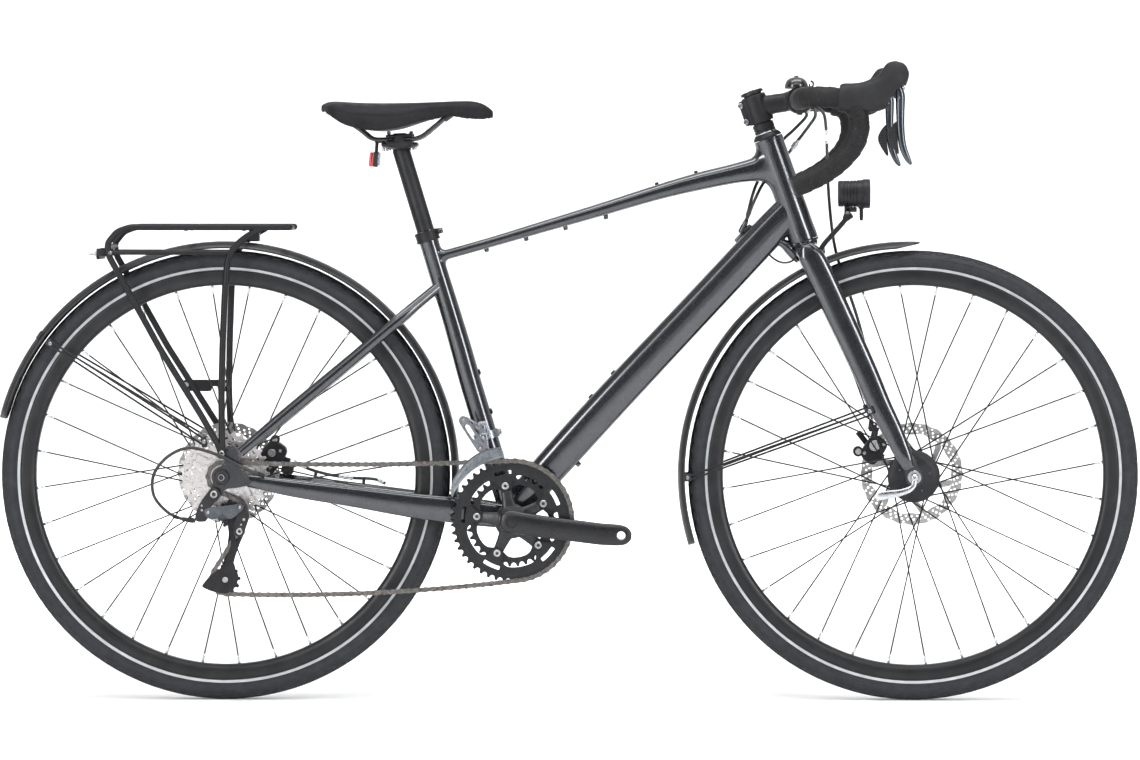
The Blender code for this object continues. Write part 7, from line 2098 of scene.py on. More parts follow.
# ---------------------------------------------------------------- rack
def make_rack():
    s = Skin()

    def bent(points, r, n=20, corner=14):
        return tube(rounded_path([tuple(p) for p in points], corner, 8), r, n, round_ends=True)

    for sign in (-1, 1):
        rail = [(-432.5, 38, 734), (-428.5, 48, 734), (-437, 53, 734), (-676, 53, 734), (-696, 53, 727), (-711, 53, 709), (-709, 54, 690),
                (-630, 60, 547.5), (-567, 68, 447), (-538, 80, 399), (-534, 81, 388)]
        s.add(bent([(x, sign * y, z) for x, y, z in rail], 5.0, corner=7))
        strut = [(-476, 53, 731), (-492, 53.5, 722), (-506, 54, 712), (-517, 55, 700), (-525.6, 56.5, 683), (-529.2, 58, 636), (-532.6, 62, 552), (-534.2, 66, 477),
                 (-532.4, 80, 405), (-531.5, 81, 388)]
        s.add(bent([(x, sign * y, z) for x, y, z in strut], 5.1, corner=9))
        s.add(tube([(-706, sign * 54, 695), (-521, sign * 55.5, 694.6)], 3.8, 18, round_ends=True))
        foot = softened([(-538.3, 378), (-526.7, 378), (-525.8, 384), (-526.6, 393), (-529, 396), (-536, 396), (-538.6, 391), (-539.3, 384)], 2, 0.2)
        s.add(plate(foot, sign * 77.9, sign * 84.1))
    s.add(rod((-432.5, -38.5, 733), (-432.5, 38.5, 733), 4.25, n=20))
    for x in (-500, -590):
        s.add(rod((x, -53, 733), (x, 53, 733), 3.9, n=20))
    s.add(rod((-709.5, -55, 704), (-709.5, 55, 704), 4.0, n=20))
    s.add(rod((-496, 0, 733), (-594, 0, 733), 3.9, n=20))
    # Small weld beads where the tubes meet.
    for sign in (-1, 1):
        for x, z in ((-500, 733), (-590, 733)):
            s.add(lathe([(0, -1.6), (4.6, -1.4), (5.2, 0), (4.6, 1.4), (0, 1.6)], 20, axis_matrix((x, sign * 49.0, z), (0, 1, 0))))
        s.add(lathe([(0, -1.6), (4.9, -1.4), (5.6, 0), (4.9, 1.4), (0, 1.6)], 20, axis_matrix((-477.5, sign * 53, 730.5), (1, 0, 0.55))))
    finish(s, "rack_tubes", POWDER, "frame", ["rear_rack"], angle=50)
    p = Skin()
    side = softened([(-608, 477), (-610, 494.5), (-532, 494.5), (-532, 476), (-551, 476), (-552, 484), (-560, 484), (-562, 476)], 1, 0.12)
    p.add(plate(side, 63, 67))
    p.add(block((-727, 0, 692.5), (5, 86, 17), r=1.6, seg=3))
    p.add(block((-717, 0, 699), (20, 30, 5), r=1.4, seg=3))
    p.add(block((-488, 0, 722), (16, 20, 21), r=2.2, seg=3))
    for sign in (-1, 1):
        p.add(block((-719, sign * 50.5, 694), (18, 4.5, 9.5), turn=-4, r=1.2, seg=3))
    finish(p, "rack_plates", POWDER, "frame", bevel=0.6)
    screws = Skin()
    for sign in (-1, 1):
        screws.add(rod((-729, sign * 34, 692.5), (-731.4, sign * 34, 692.5), 5.4, n=6, chamfer=0.6))
        screws.add(rod((-731.2, sign * 34, 692.5), (-741.6, sign * 34, 692.5), 2.5, n=18, chamfer=0.5))
        screws.add(bolt(Vector((-532.5, sign * 83.9, 386)), (0, sign, 0), 4.6, 2.9, 2.2, 1.6))
        screws.add(bolt(Vector((-706, sign * 57.6, 694)), (0, sign, 0), 2.9, 1.6, 1.5, 1.0))
    finish(screws, "rack_bolts", STEEL, "frame")
    silver = Skin()
    for x in (-600.5, -541.5):
        silver.add(bolt(Vector((x, 63.1, 487)), (0, -1, 0), 4.0, 2.0, 2.0, 1.3))
        silver.add(bolt(Vector((x, 66.9, 487)), (0, 1, 0), 4.0, 2.0, 2.0, 1.3))
    finish(silver, "rack_plate_bolts", BRUSHED, "frame")


# ---------------------------------------------------------------- seatpost and saddle
def make_seatpost():
    s = Skin()
    low, high = on_seat(588), on_seat(855)
    length = (high - low).length
    s.add(lathe([(0, 0), (13.2, 0), (13.6, 0.6), (13.6, length - 2), (13.0, length), (0, length)], 64, axis_matrix(low, SEAT_DIR)))
    finish(s, "seatpost_tube", ANODISED_SATIN, "seatpost", ["seatpost"])
    # The faint scale lines that ring the tube's lower part are not made. The head follows: its cradle and clamp blocks,
    # fused into one body.
    raw = Skin()
    raw.add(rod(on_seat(838), on_seat(861), 13.6, 12.4, n=48))
    rows = [(-290, 0, 862, 24, 3.2), (-276, 0, 860.6, 27.5, 5.6), (-262, 0, 859.6, 28, 6.8), (-248, 0, 860.6, 27.5, 5.6), (-234, 0, 862, 24, 3.2)]
    path, sections = stations(rows, 20, 2.6, 36)
    raw.add(sweep(path, sections, (0, 1, 0)))
    for sign in (-1, 1):
        raw.add(rod((-262, sign * 22.5 - 7.5, 870.4), (-262, sign * 22.5 + 7.5, 870.4), 7.2, n=32))
        raw.add(block((-262, sign * 22.5, 864), (40, 15, 8), r=2.5, seg=3))
    done = remeshed(raw, 0.8, 8, "seatpost_head_shell")
    done.materials.clear()
    done.materials.append(ANODISED_SATIN)
    obj = bpy.data.objects.new("seatpost_head", done)
    bpy.context.scene.collection.objects.link(obj)
    done.shade_smooth()
    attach(obj, "seatpost")
    c = Skin()
    for sign in (-1, 1):
        c.add(block((-262, sign * 22.3, 875.2), (42, 14, 5.2), turn=3, r=2.0, seg=3))
    c.add(block((-262, 0, 877.2), (20, 40, 4.2), turn=3, r=1.6, seg=3))
    c.add(block((-262, 0, 868), (18, 30, 10), turn=3, r=2.4, seg=3))
    finish(c, "seatpost_clamp", ANODISED, "seatpost")
    screws = Skin()
    for x in (-279.5, -244.5):
        screws.add(bolt(Vector((x, 0, 878.5)), (0, 0, 1), 3.4, 2.6, 1.7, 1.4))
        screws.add(rod((x, 0, 853), (x, 0, 879), 2.3, n=16))
        screws.add(nut(Vector((x, 0, 856.5)), (0, 0, -1), 8.0, 4.0))
        screws.add(rod((x, -4.6, 880), (x, 4.6, 880), 3.0, n=18, chamfer=0.4))
    for x, z in ((-283.5, 851), (-238.5, 854)):
        screws.add(rod((x, -3.6, z + 8), (x, -3.6, z), 3.2, n=20, chamfer=0.5))
        screws.add(rod((x - 4.5, 3.2, z + 8), (x - 4.5, 3.2, z + 1), 2.8, n=20, chamfer=0.5))
    finish(screws, "seatpost_bolts", STEEL, "seatpost")


SADDLE = [(-383, 22, 923, 914), (-378.5, 44, 928, 911.5), (-368, 60, 929, 908.5), (-357, 67, 928.5, 898), (-342, 73, 927.5, 890.5), (-318, 76, 926.3, 885),
          (-290, 71, 926, 882.5), (-262, 58, 926.4, 886), (-236, 43, 927.3, 894.5), (-212, 32, 928.6, 902), (-184, 25.5, 929.8, 908.5),
          (-162, 21.5, 930, 904), (-140, 17.5, 928, 903), (-128, 13, 923.5, 903.2), (-121.5, 8.5, 918.5, 905), (-117.5, 3, 913.5, 908.5)]


def saddle_at(x):
    """(half width, top, low) of the saddle at this station."""
    rows = SADDLE
    x = max(rows[0][0], min(rows[-1][0], x))
    for p, q in zip(rows[:-1], rows[1:]):
        if p[0] <= x <= q[0]:
            t = (x - p[0]) / (q[0] - p[0])
            return tuple(p[i] + (q[i] - p[i]) * t for i in (1, 2, 3))
    return rows[-1][1:]


def saddle_section(x, half, top, low, k=44):
    """One open arch of the cover, from the right skirt's hem over the crown to the left hem: (y, z) points."""
    pts = []
    dip = 2.6 * max(0.0, min(1.0, (-150 - x) / 60)) * max(0.0, min(1.0, (x + 370) / 60))
    for i in range(k + 1):
        u = -1 + 2 * i / k
        a = abs(u)
        # The crown is flat, its shoulders turn down, and the skirt hangs nearly straight.
        if a < 0.66:
            y = half * 0.93 * (a / 0.66)
            z = top - (top - low) * 0.34 * (a / 0.66) ** 3.4
        else:
            s = (a - 0.66) / 0.34
            y = half * (0.93 + 0.07 * math.sin(s * math.pi * 0.55))
            z = top - (top - low) * (0.34 + 0.66 * s)
        groove = dip * math.exp(-((a * half) / 8.5) ** 2)
        pts.append((math.copysign(y, u) if u else 0.0, z - groove))
    return pts


def make_saddle():
    rows = []
    for x0 in np.linspace(SADDLE[0][0], SADDLE[-1][0], 90):
        x0 = float(x0)
        rows.append((x0,) + tuple(saddle_at(x0)))
    # Smooth the stations a little so that no facet of the table shows.
    table = np.array(rows)
    for _ in range(14):
        table[1:-1, 1:] = (table[:-2, 1:] + 2 * table[1:-1, 1:] + table[2:, 1:]) / 4
    sections = [saddle_section(*row) for row in table.tolist()]
    skins = Skin()
    thick_in = 3.4
    rings = []
    for (x, half, top, low), sec in zip(table.tolist(), sections):
        outer = [(x, y, z) for y, z in sec]
        inner = []
        for y, z in sec:
            s = max(0.05, 1 - thick_in / max(half, 4.0))
            inner.append((x, y * s, min(z, top - 3.6) if z > low + 6 else z + 0.2))
        # The cushion is thick over the crown and thin at the hem.
        inner = [(px, py, (pz - 9.0 * (1 - abs(py) / max(half, 1.0)) ** 0.5 if abs(py) < half * 0.9 else pz)) for px, py, pz in inner]
        rings.append(outer + list(reversed(inner)))
    skins.add(skinned(rings))
    mesh = bpy.data.meshes.new("saddle_cushion")
    mesh.from_pydata([(x * MM, y * MM, z * MM) for x, y, z in skins.v], [], skins.f)
    bm = bmesh.new()
    bm.from_mesh(mesh)
    bmesh.ops.recalc_face_normals(bm, faces=bm.faces)
    bm.to_mesh(mesh)
    bm.free()
    obj = bpy.data.objects.new("saddle_cushion", mesh)
    bpy.context.scene.collection.objects.link(obj)
    mod = obj.modifiers.new("fuse", "REMESH")
    mod.mode = "VOXEL"
    mod.voxel_size = 1.5 * MM
    mod.use_smooth_shade = True
    mod = obj.modifiers.new("smooth", "SMOOTH")
    mod.iterations = 8
    bpy.context.view_layer.update()
    graph = bpy.context.evaluated_depsgraph_get()
    done = bpy.data.meshes.new_from_object(obj.evaluated_get(graph), depsgraph=graph)
    obj.modifiers.clear()
    obj.data = done
    bpy.data.meshes.remove(mesh)
    # Soft wrinkles of a stretched cover: shallow long waves near the shoulders, and the seam between crown and skirt.
    co = np.empty(len(done.vertices) * 3)
    done.vertices.foreach_get("co", co)
    co = co.reshape(-1, 3) / MM
    n = np.empty(len(done.vertices) * 3)
    done.vertices.foreach_get("normal", n)
    n = n.reshape(-1, 3)
    xs = table[:, 0]
    half = np.interp(co[:, 0], xs, table[:, 1])
    top = np.interp(co[:, 0], xs, table[:, 2])
    low = np.interp(co[:, 0], xs, table[:, 3])
    level = (top - co[:, 2]) / np.maximum(top - low, 4)
    outside = n[:, 1] * np.sign(co[:, 1]) > 0.05
    seam = np.exp(-((level - 0.5) / 0.028) ** 2) * outside
    wave = 0.22 * np.sin(co[:, 0] * 0.21 + 1.7 * np.sin(co[:, 2] * 0.13)) * np.exp(-((level - 0.28) / 0.16) ** 2)
    wave += 0.16 * np.sin(co[:, 0] * 0.43 + co[:, 1] * 0.12) * np.exp(-((level - 0.72) / 0.2) ** 2) * outside
    co += n * (wave - 0.55 * seam)[:, None]
    done.vertices.foreach_set("co", (co * MM).reshape(-1))
    done.update()
    done.materials.clear()
    done.materials.append(M["saddle"])
    done.materials.append(M["saddle_panel"])
    for poly in done.polygons:
        c = poly.center / MM
        h = float(np.interp(c.x, xs, table[:, 1]))
        t = float(np.interp(c.x, xs, table[:, 2]))
        lo = float(np.interp(c.x, xs, table[:, 3]))
        # A perforated panel runs along the middle of the crown; the dark in its holes is painted shade.
        poly.material_index = 1 if poly.normal.z > 0.6 and abs(c.y) < h * 0.42 and -352 < c.x < -165 else 0
        poly.use_smooth = True
    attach(obj, "seatpost")
    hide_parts("saddle_cover")
    # Stitches beside the seam; the piped hem is not made.
    stitch = Skin()
    for sign in (-1, 1):
        points = []
        for (x, h, t, lo) in table.tolist()[4:-3]:
            lv = 0.43
            s = (lv - 0.34) / 0.66
            y = h * (0.93 + 0.07 * math.sin(s * math.pi * 0.55))
            points.append(Vector((x, sign * (y - 0.1), t - (t - lo) * lv)))
        run = []
        lengths = [0]
        for p, q in zip(points[:-1], points[1:]):
            lengths.append(lengths[-1] + (q - p).length)
        k, want = 0, 0.0
        while want < lengths[-1] - 3.4:
            ends = []
            for w in (want, want + 2.3):
                while lengths[k + 1] < w:
                    k += 1
                tt = (w - lengths[k]) / (lengths[k + 1] - lengths[k])
                ends.append(points[k].lerp(points[k + 1], tt))
            mid = (ends[0] + ends[1]) / 2 + Vector((0, sign * 0.25, 0))
            stitch.add(tube([tuple(ends[0]), tuple(mid), tuple(ends[1])], 0.42, 6, round_ends=False))
            want += 3.3
    finish(stitch, "saddle_stitches", RUBBER, "seatpost")
    # The shell under the cushion: its edge stands a little proud of the hem.
    base = Skin()
    rings = []
    for (x, h, t, lo) in table.tolist()[3:-2]:
        rings.append([(x, y, z) for y, z in ((-h + 3.2, lo + 1.2), (-h + 3.0, lo - 0.6), (-h + 5.4, lo - 0.6), (-h * 0.72, lo + 4.6), (-h * 0.3, (t + lo) / 2 + 1.5), (h * 0.3, (t + lo) / 2 + 1.5),
                                             (h * 0.72, lo + 4.6), (h - 5.4, lo - 0.6), (h - 3.0, lo - 0.6), (h - 3.2, lo + 1.2), (h * 0.7, lo + 7.0), (h * 0.28, (t + lo) / 2 + 3.6),
                                             (-h * 0.28, (t + lo) / 2 + 3.6), (-h * 0.7, lo + 7.0))])
    base.add(skinned(rings))
    finish(base, "saddle_shell", PLASTIC, "seatpost", ["saddle_base"], angle=60)
    rails = Skin()
    for sign in (-1, 1):
        pts = [(-345, 31, 903), (-335, 28, 893), (-321, 25, 883.5), (-307, 22.6, 871.5), (-298, 22, 869.2), (-238, 22, 870), (-226, 21, 874.5), (-203, 17, 893.5), (-188, 13, 907)]
        rails.add(tube(rounded_path([(x, sign * y, z) for x, y, z in pts], 7, 6), 3.5, 20, round_ends=True))
    finish(rails, "saddle_rails", BLACK_GLOSS, "seatpost")
    sockets = Skin()
    for sign in (-1, 1):
        sockets.add(rod((-350, sign * 32.5, 907.5), (-338, sign * 28.8, 896), 6.0, 5.2, n=28, chamfer=0.8))
        sockets.add(rod((-182, sign * 11.8, 910), (-194, sign * 14.6, 900.5), 5.6, 5.0, n=28, chamfer=0.8))
    finish(sockets, "saddle_rail_sockets", PLASTIC, "seatpost")


def make_reflector():
    s = Skin()
    s.add(block((-298.5, 0, 854.5), (5, 10, 25), turn=-4, r=1.4, seg=3))
    s.add(block((-293.2, 0, 866), (16, 10, 4), turn=-4, r=1.2, seg=3))
    s.add(block((-299.5, 0, 838.8), (7.4, 36, 24), turn=-4, r=2.4, seg=3))
    finish(s, "reflector_body", PLASTIC, "seatpost", ["rear_reflector"])
    red = Skin()
    red.add(block((-305.6, 0, 838.4), (7.2, 34.4, 22.6), turn=-4, r=2.2, seg=3))
    finish(red, "reflector_lens", M["red"], "seatpost")
    grey = Skin()
    grey.add(block((-294.6, 0, 839.2), (3.4, 32, 20), turn=-4, r=1.4, seg=3))
    finish(grey, "reflector_front_plate", FD_GREY, "seatpost")
    screw = Skin()
    screw.add(bolt(Vector((-296.5, 0, 848)), (1, 0, 0), 2.6, 2.0, 1.4, 1.0))
    finish(screw, "reflector_screw", STEEL, "seatpost")


make_calipers()
make_guards()
make_rack()
make_seatpost()
make_saddle()
make_reflector()


# ---------------------------------------------------------------- handlebar, hoods, levers
BAR_PATH = [(356.3, 28, 930), (356.3, 36, 930), (356.3, 46, 930), (356.3, 72, 930), (356.4, 110, 930), (357, 160, 930.5), (361, 180, 931), (372, 196, 931.5),
            (388, 204, 931.5), (408, 206, 930), (424, 206.5, 926), (436, 207, 916), (441.5, 207.5, 902), (442.5, 208, 886), (439.5, 209, 870), (432, 210.5, 855),
            (419, 212.5, 839.5), (403, 214.5, 825.5), (385, 216.5, 813.8), (366, 218.2, 804.5), (343.6, 219.8, 794.6)]


def make_bar():
    metal = Skin()
    metal.add(rod((BAR_X, -30, BAR_Z), (BAR_X, 30, BAR_Z), 15.7, n=48))
    for sign in (-1, 1):
        m = axis_matrix((BAR_X, sign * 24, BAR_Z), (0, sign, 0))
        metal.add(lathe([(0, 0), (15.8, 0), (15.8, 12), (15.2, 15), (13.6, 19.5), (12.7, 22.5), (12.6, 24), (12.6, 50), (0, 50)], 48, m))
    finish(metal, "handlebar_centre", ANODISED_SATIN, "fork", ["handlebar"])
    for sign, side in ((-1, "right"), (1, "left")):
        fine = [Vector((x, sign * y, z)) for x, y, z in dense([p for p in BAR_PATH[3:]], 700)]
        lengths = [0.0]
        for p, q in zip(fine[:-1], fine[1:]):
            lengths.append(lengths[-1] + (q - p).length)
        total = lengths[-1]
        # The tape winds round the bar: each turn overlaps the last one, so its edge stands up as a step.
        pitch, n = 17.0, 48
        count = int(total / 1.0)
        path = []
        k = 0
        for i in range(count + 1):
            want = total * i / count
            while k < len(lengths) - 2 and lengths[k + 1] < want:
                k += 1
            t = (want - lengths[k]) / max(1e-6, lengths[k + 1] - lengths[k])
            path.append(fine[k].lerp(fine[k + 1], min(1.0, max(0.0, t))))
        sections = []
        for i in range(count + 1):
            s = total * i / count
            ring = []
            for j in range(n):
                a = 2 * math.pi * j / n
                phase = (s / pitch + sign * j / n) % 1.0
                # A step up at the tape's edge, and a gentle fall across its width.
                step = 0.0
                if phase < 0.08:
                    step = phase / 0.08
                else:
                    step = 1 - (phase - 0.08) / 0.92
                r = 15.35 + 1.0 * step
                if s < 3:
                    r = 13.2 + (r - 13.2) * (s / 3)
                ring.append((r * math.cos(a), r * math.sin(a)))
            sections.append(ring)
        tape = Skin()
        tape.add(sweep(path, sections, (0, 0, 1)))
        finish(tape, "bar_tape_" + side, M["tape"], "fork", angle=32)
        # The finishing band beside the clamp, and the plug in the bar's end.
        end = Skin()
        end.add(ring_y((BAR_X, BAR_Z), [(13.2, sign * 71.4), (14.6, sign * 71.4), (15.0, sign * 72.2), (15.9, sign * 78.5), (15.7, sign * 79.2), (13.2, sign * 79.2)], 48))
        finish(end, "tape_finish_" + side, RUBBER, "fork")
        plug = Skin()
        d = (path[-1] - path[-6]).normalized()
        plug.add(lathe([(0, 0), (15.6, 0), (16.2, 0.8), (16.0, 2.4), (12.8, 3.9), (5, 4.3), (0, 4.2)], 40, axis_matrix(path[-1] - d * 0.6, d)))
        finish(plug, "bar_plug_" + side, PLASTIC, "fork")


HOOD = [(417, 928.8, 17.2, 21.0), (419.5, 929.2, 18.4, 22.6), (434, 930, 18.8, 22.4), (452, 931, 18, 23.8), (469, 935.5, 17, 25.3), (483, 944.5, 16, 24), (492, 955.5, 15, 22),
        (497.2, 966, 14.5, 21.0), (500.2, 975.5, 12.8, 18.0), (502.2, 981.5, 9.0, 12.0), (503.0, 984.4, 4.0, 6.0)]
LEVER = [(490.5, 951.0, 4.0, 2.4), (494, 948.5, 7.4, 3.6), (498, 946, 8.2, 5.2), (502, 942.0, 8.5, 6.8), (504.3, 934, 8.3, 7.4), (504.6, 922, 7.8, 7.2), (504.5, 905, 7.1, 6.6),
         (505.5, 878, 6.6, 6.0), (508.7, 856, 6.1, 5.7), (514.4, 841, 5.5, 5.0), (519.2, 832.5, 4.2, 3.4), (521.2, 829.5, 2.2, 1.8)]


def make_hoods():
    for sign, side in ((-1, "right"), (1, "left")):
        raw = Skin()
        even = dense([(x, 0, z, w, h) for x, z, w, h in HOOD], 60)
        path = [(p[0], sign * 206, p[2]) for p in even]
        raw.add(sweep(path, [superellipse(p[3], p[4], 36, 2.35) for p in even], (0, 1, 0)))
        # A collar that wraps the bar behind the grip.
        raw.add(sweep([(412, sign * 205.6, 929.6), (418, sign * 206, 929.2), (426, sign * 206.2, 928.6)], [superellipse(18.6, 19.6, 36, 2.2), superellipse(19.2, 21.2, 36, 2.2),
                                                                                                     superellipse(18.6, 20, 36, 2.2)], (0, 1, 0)))
        mesh = remeshed(raw, 1.0, 8, "hood_shell_" + side)
        # A hollow for the lever's root at the front and below.
        obj = bpy.data.objects.new("hood_grip_" + side, mesh)
        bpy.context.scene.collection.objects.link(obj)
        verts, faces = block((507, sign * 206, 913.5), (46, 27, 70), r=6, seg=3)
        cut = bpy.data.meshes.new("root")
        cut.from_pydata([(x * MM, y * MM, z * MM) for x, y, z in verts], [], faces)
        bm = bmesh.new()
        bm.from_mesh(cut)
        bmesh.ops.recalc_face_normals(bm, faces=bm.faces)
        bm.to_mesh(cut)
        bm.free()
        cutter = bpy.data.objects.new("root", cut)
        bpy.context.scene.collection.objects.link(cutter)
        mod = obj.modifiers.new("root", "BOOLEAN")
        mod.operation = "DIFFERENCE"
        mod.solver = "EXACT"
        mod.object = cutter
        bpy.context.view_layer.update()
        graph = bpy.context.evaluated_depsgraph_get()
        done = bpy.data.meshes.new_from_object(obj.evaluated_get(graph), depsgraph=graph)
        obj.modifiers.clear()
        obj.data = done
        bpy.data.objects.remove(cutter, do_unlink=True)
        # Moulded grip texture: fine ribs on the flanks.
        co = np.empty(len(done.vertices) * 3)
        done.vertices.foreach_get("co", co)
        co = co.reshape(-1, 3) / MM
        nn = np.empty(len(done.vertices) * 3)
        done.vertices.foreach_get("normal", nn)
        nn = nn.reshape(-1, 3)
        flank = np.clip((np.abs(nn[:, 1]) - 0.45) / 0.3, 0, 1) * np.clip((co[:, 0] - 428) / 6, 0, 1) * np.clip((486 - co[:, 0]) / 6, 0, 1)
        flank *= np.clip((co[:, 2] - 914) / 4, 0, 1) * np.clip((950 - co[:, 2]) / 4, 0, 1)
        ribs = 0.5 + 0.5 * np.cos((co[:, 0] * 0.8 - co[:, 2] * 0.6) * 2 * math.pi / 3.6)
        co += nn * (-0.45 * flank * ribs ** 2)[:, None]
        done.vertices.foreach_set("co", (co * MM).reshape(-1))
        done.update()
        done.materials.clear()
        done.materials.append(RUBBER)
        done.shade_smooth()
        done.set_sharp_from_angle(angle=math.radians(50))
        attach(obj, "fork")
        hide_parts("hood_" + side)
        # A painted cap closes the front of the grip above the lever.
        cap = Skin()
        rows = [(489.5, 976.5, 5.0, 2.6), (493.5, 971.5, 10.5, 5.4), (497.5, 962, 12.6, 8.2), (500.5, 952.5, 12.2, 8.0), (502, 947.5, 10.5, 6.0), (502.4, 945.6, 7.0, 3.0)]
        even = dense([(x, 0, z, w, h) for x, z, w, h in rows], 30)
        cap.add(sweep([(p[0] + 3.6, sign * 206, p[2]) for p in even], [superellipse(p[3], p[4], 36, 2.3) for p in even], (0, 1, 0)))
        finish(cap, "hood_cap_" + side, LEVER_GREY, "fork", angle=50)
        lever = Skin()
        even = dense([(x, 0, z, w, h) for x, z, w, h in LEVER], 60)
        lever.add(sweep([(p[0], sign * 206, p[2]) for p in even], [superellipse(p[3], p[4], 36, 2.5) for p in even], (0, 1, 0)))
        finish(lever, "brake_lever_blade_" + side, LEVER_GREY, "brake_lever_" + side, ["brake_lever_" + side], angle=50)
        root = Skin()
        root.add(block((498.5, sign * 206, 936.5), (10, 9, 14), turn=10, r=2.0, seg=3))
        root.add(rod((492, sign * 206 - 7.9, 937), (492, sign * 206 + 7.9, 937), 5.3, n=28, chamfer=0.5))
        finish(root, "brake_lever_root_" + side, DARK_ALLOY, "brake_lever_" + side)
        accent = Skin()
        accent.add(block((510.2, sign * 206, 943.6), (3.4, 11.5, 5.6), turn=-26, r=1.1, seg=3))
        for y in (-8.05, 8.05):
            accent.add(bolt(Vector((492, sign * 206 + y * 0.98, 937)), (0, 1 if y > 0 else -1, 0), 2.2, 0.5, 1.1, 0.35))
        accent.add(bolt(Vector((502.2, sign * 206 - 7.6, 930)), (0, -1, 0), 1.9, 0.8, 0.9, 0.5))
        finish(accent, "brake_lever_accents_" + side, SILVER, "brake_lever_" + side)
        paddle = Skin()
        outline = softened([(498.6, 896), (491, 887), (485.5, 876), (487, 866), (494, 854), (500, 845), (503.3, 846), (501.2, 860), (500, 875), (499.2, 890)], 3, 0.22)
        paddle.add(plate(outline, sign * 204 - 1.7, sign * 204 + 1.7))
        finish(paddle, "shift_paddle_blade_" + side, PLASTIC, "shift_paddle_" + side, ["shift_paddle_" + side], bevel=1.0, segments=3)
        # A raised finger pad with fine ridges on the paddle's outer face.
        pad = Skin()
        for k in range(6):
            z = 858 + 4.4 * k
            x0 = 489.6 + 0.0 * k + (2.4 if k == 0 else 0)
            pad.add(tube([(x0, sign * 204 - 1.8, z), (x0 + 8.6, sign * 204 - 1.8, z + 1.4)], 0.55, 8, round_ends=True))
        finish(pad, "shift_paddle_ridges_" + side, PLASTIC, "shift_paddle_" + side)


# ---------------------------------------------------------------- bell
def make_bell():
    s = Skin()
    s.add(ring_y((BAR_X, BAR_Z), [(12.9, -57), (15.4, -57), (16.0, -56.4), (16.0, -47.6), (15.4, -47), (12.9, -47)], 48))
    s.add(rod((354.6, -52, 943), (351.4, -52, 948.6), 6.2, 5.6, n=28, chamfer=0.4))
    s.add(block((356.3, -52, 911.5), (9, 8.4, 10), r=2.0, seg=3))
    finish(s, "bell_clamp", PLASTIC, "fork", ["bell"])
    m = axis_matrix((351.0, -52, 947.1), (0, 0, 1))
    dome = Skin()
    dome.add(lathe([(16.0, 0.6), (17.3, 0), (18.0, 1.0), (18.1, 3.0), (17.6, 6.5), (16.5, 9.8), (14.4, 13.0), (11.2, 15.6), (7.4, 17.2), (3.2, 17.9), (0, 18.0), (0, 16.6),
                    (6.6, 15.8), (10.4, 14.2), (13.4, 11.8), (15.4, 8.8), (16.4, 6.0), (16.8, 3.0)], 72, m))
    finish(dome, "bell_dome", BLACK_GLOSS, "fork", angle=50)
    n = Skin()
    n.add(lathe([(0, 0), (3.4, 0), (3.6, 0.8), (3.0, 1.9), (1.6, 2.5), (0, 2.6)], 28, axis_matrix((351.0, -52, 964.6), (0, 0, 1))))
    finish(n, "bell_nut", ANODISED, "fork")
    st = Skin()
    st.add(tube([(370.0, -52, 949.4), (372.8, -52, 949.0), (375.8, -52, 950.4), (377.4, -52, 953.6), (376.4, -52, 957.0), (374.2, -52, 958.4)], [1.5, 1.6, 1.5, 1.4, 1.5, 1.7], 16, round_ends=True))
    st.add(block((371.4, -52, 951.6), (2.4, 6.4, 6.0), r=0.9, seg=3))
    finish(st, "bell_striker_hook", PLASTIC, "bell_striker", ["bell_striker"])


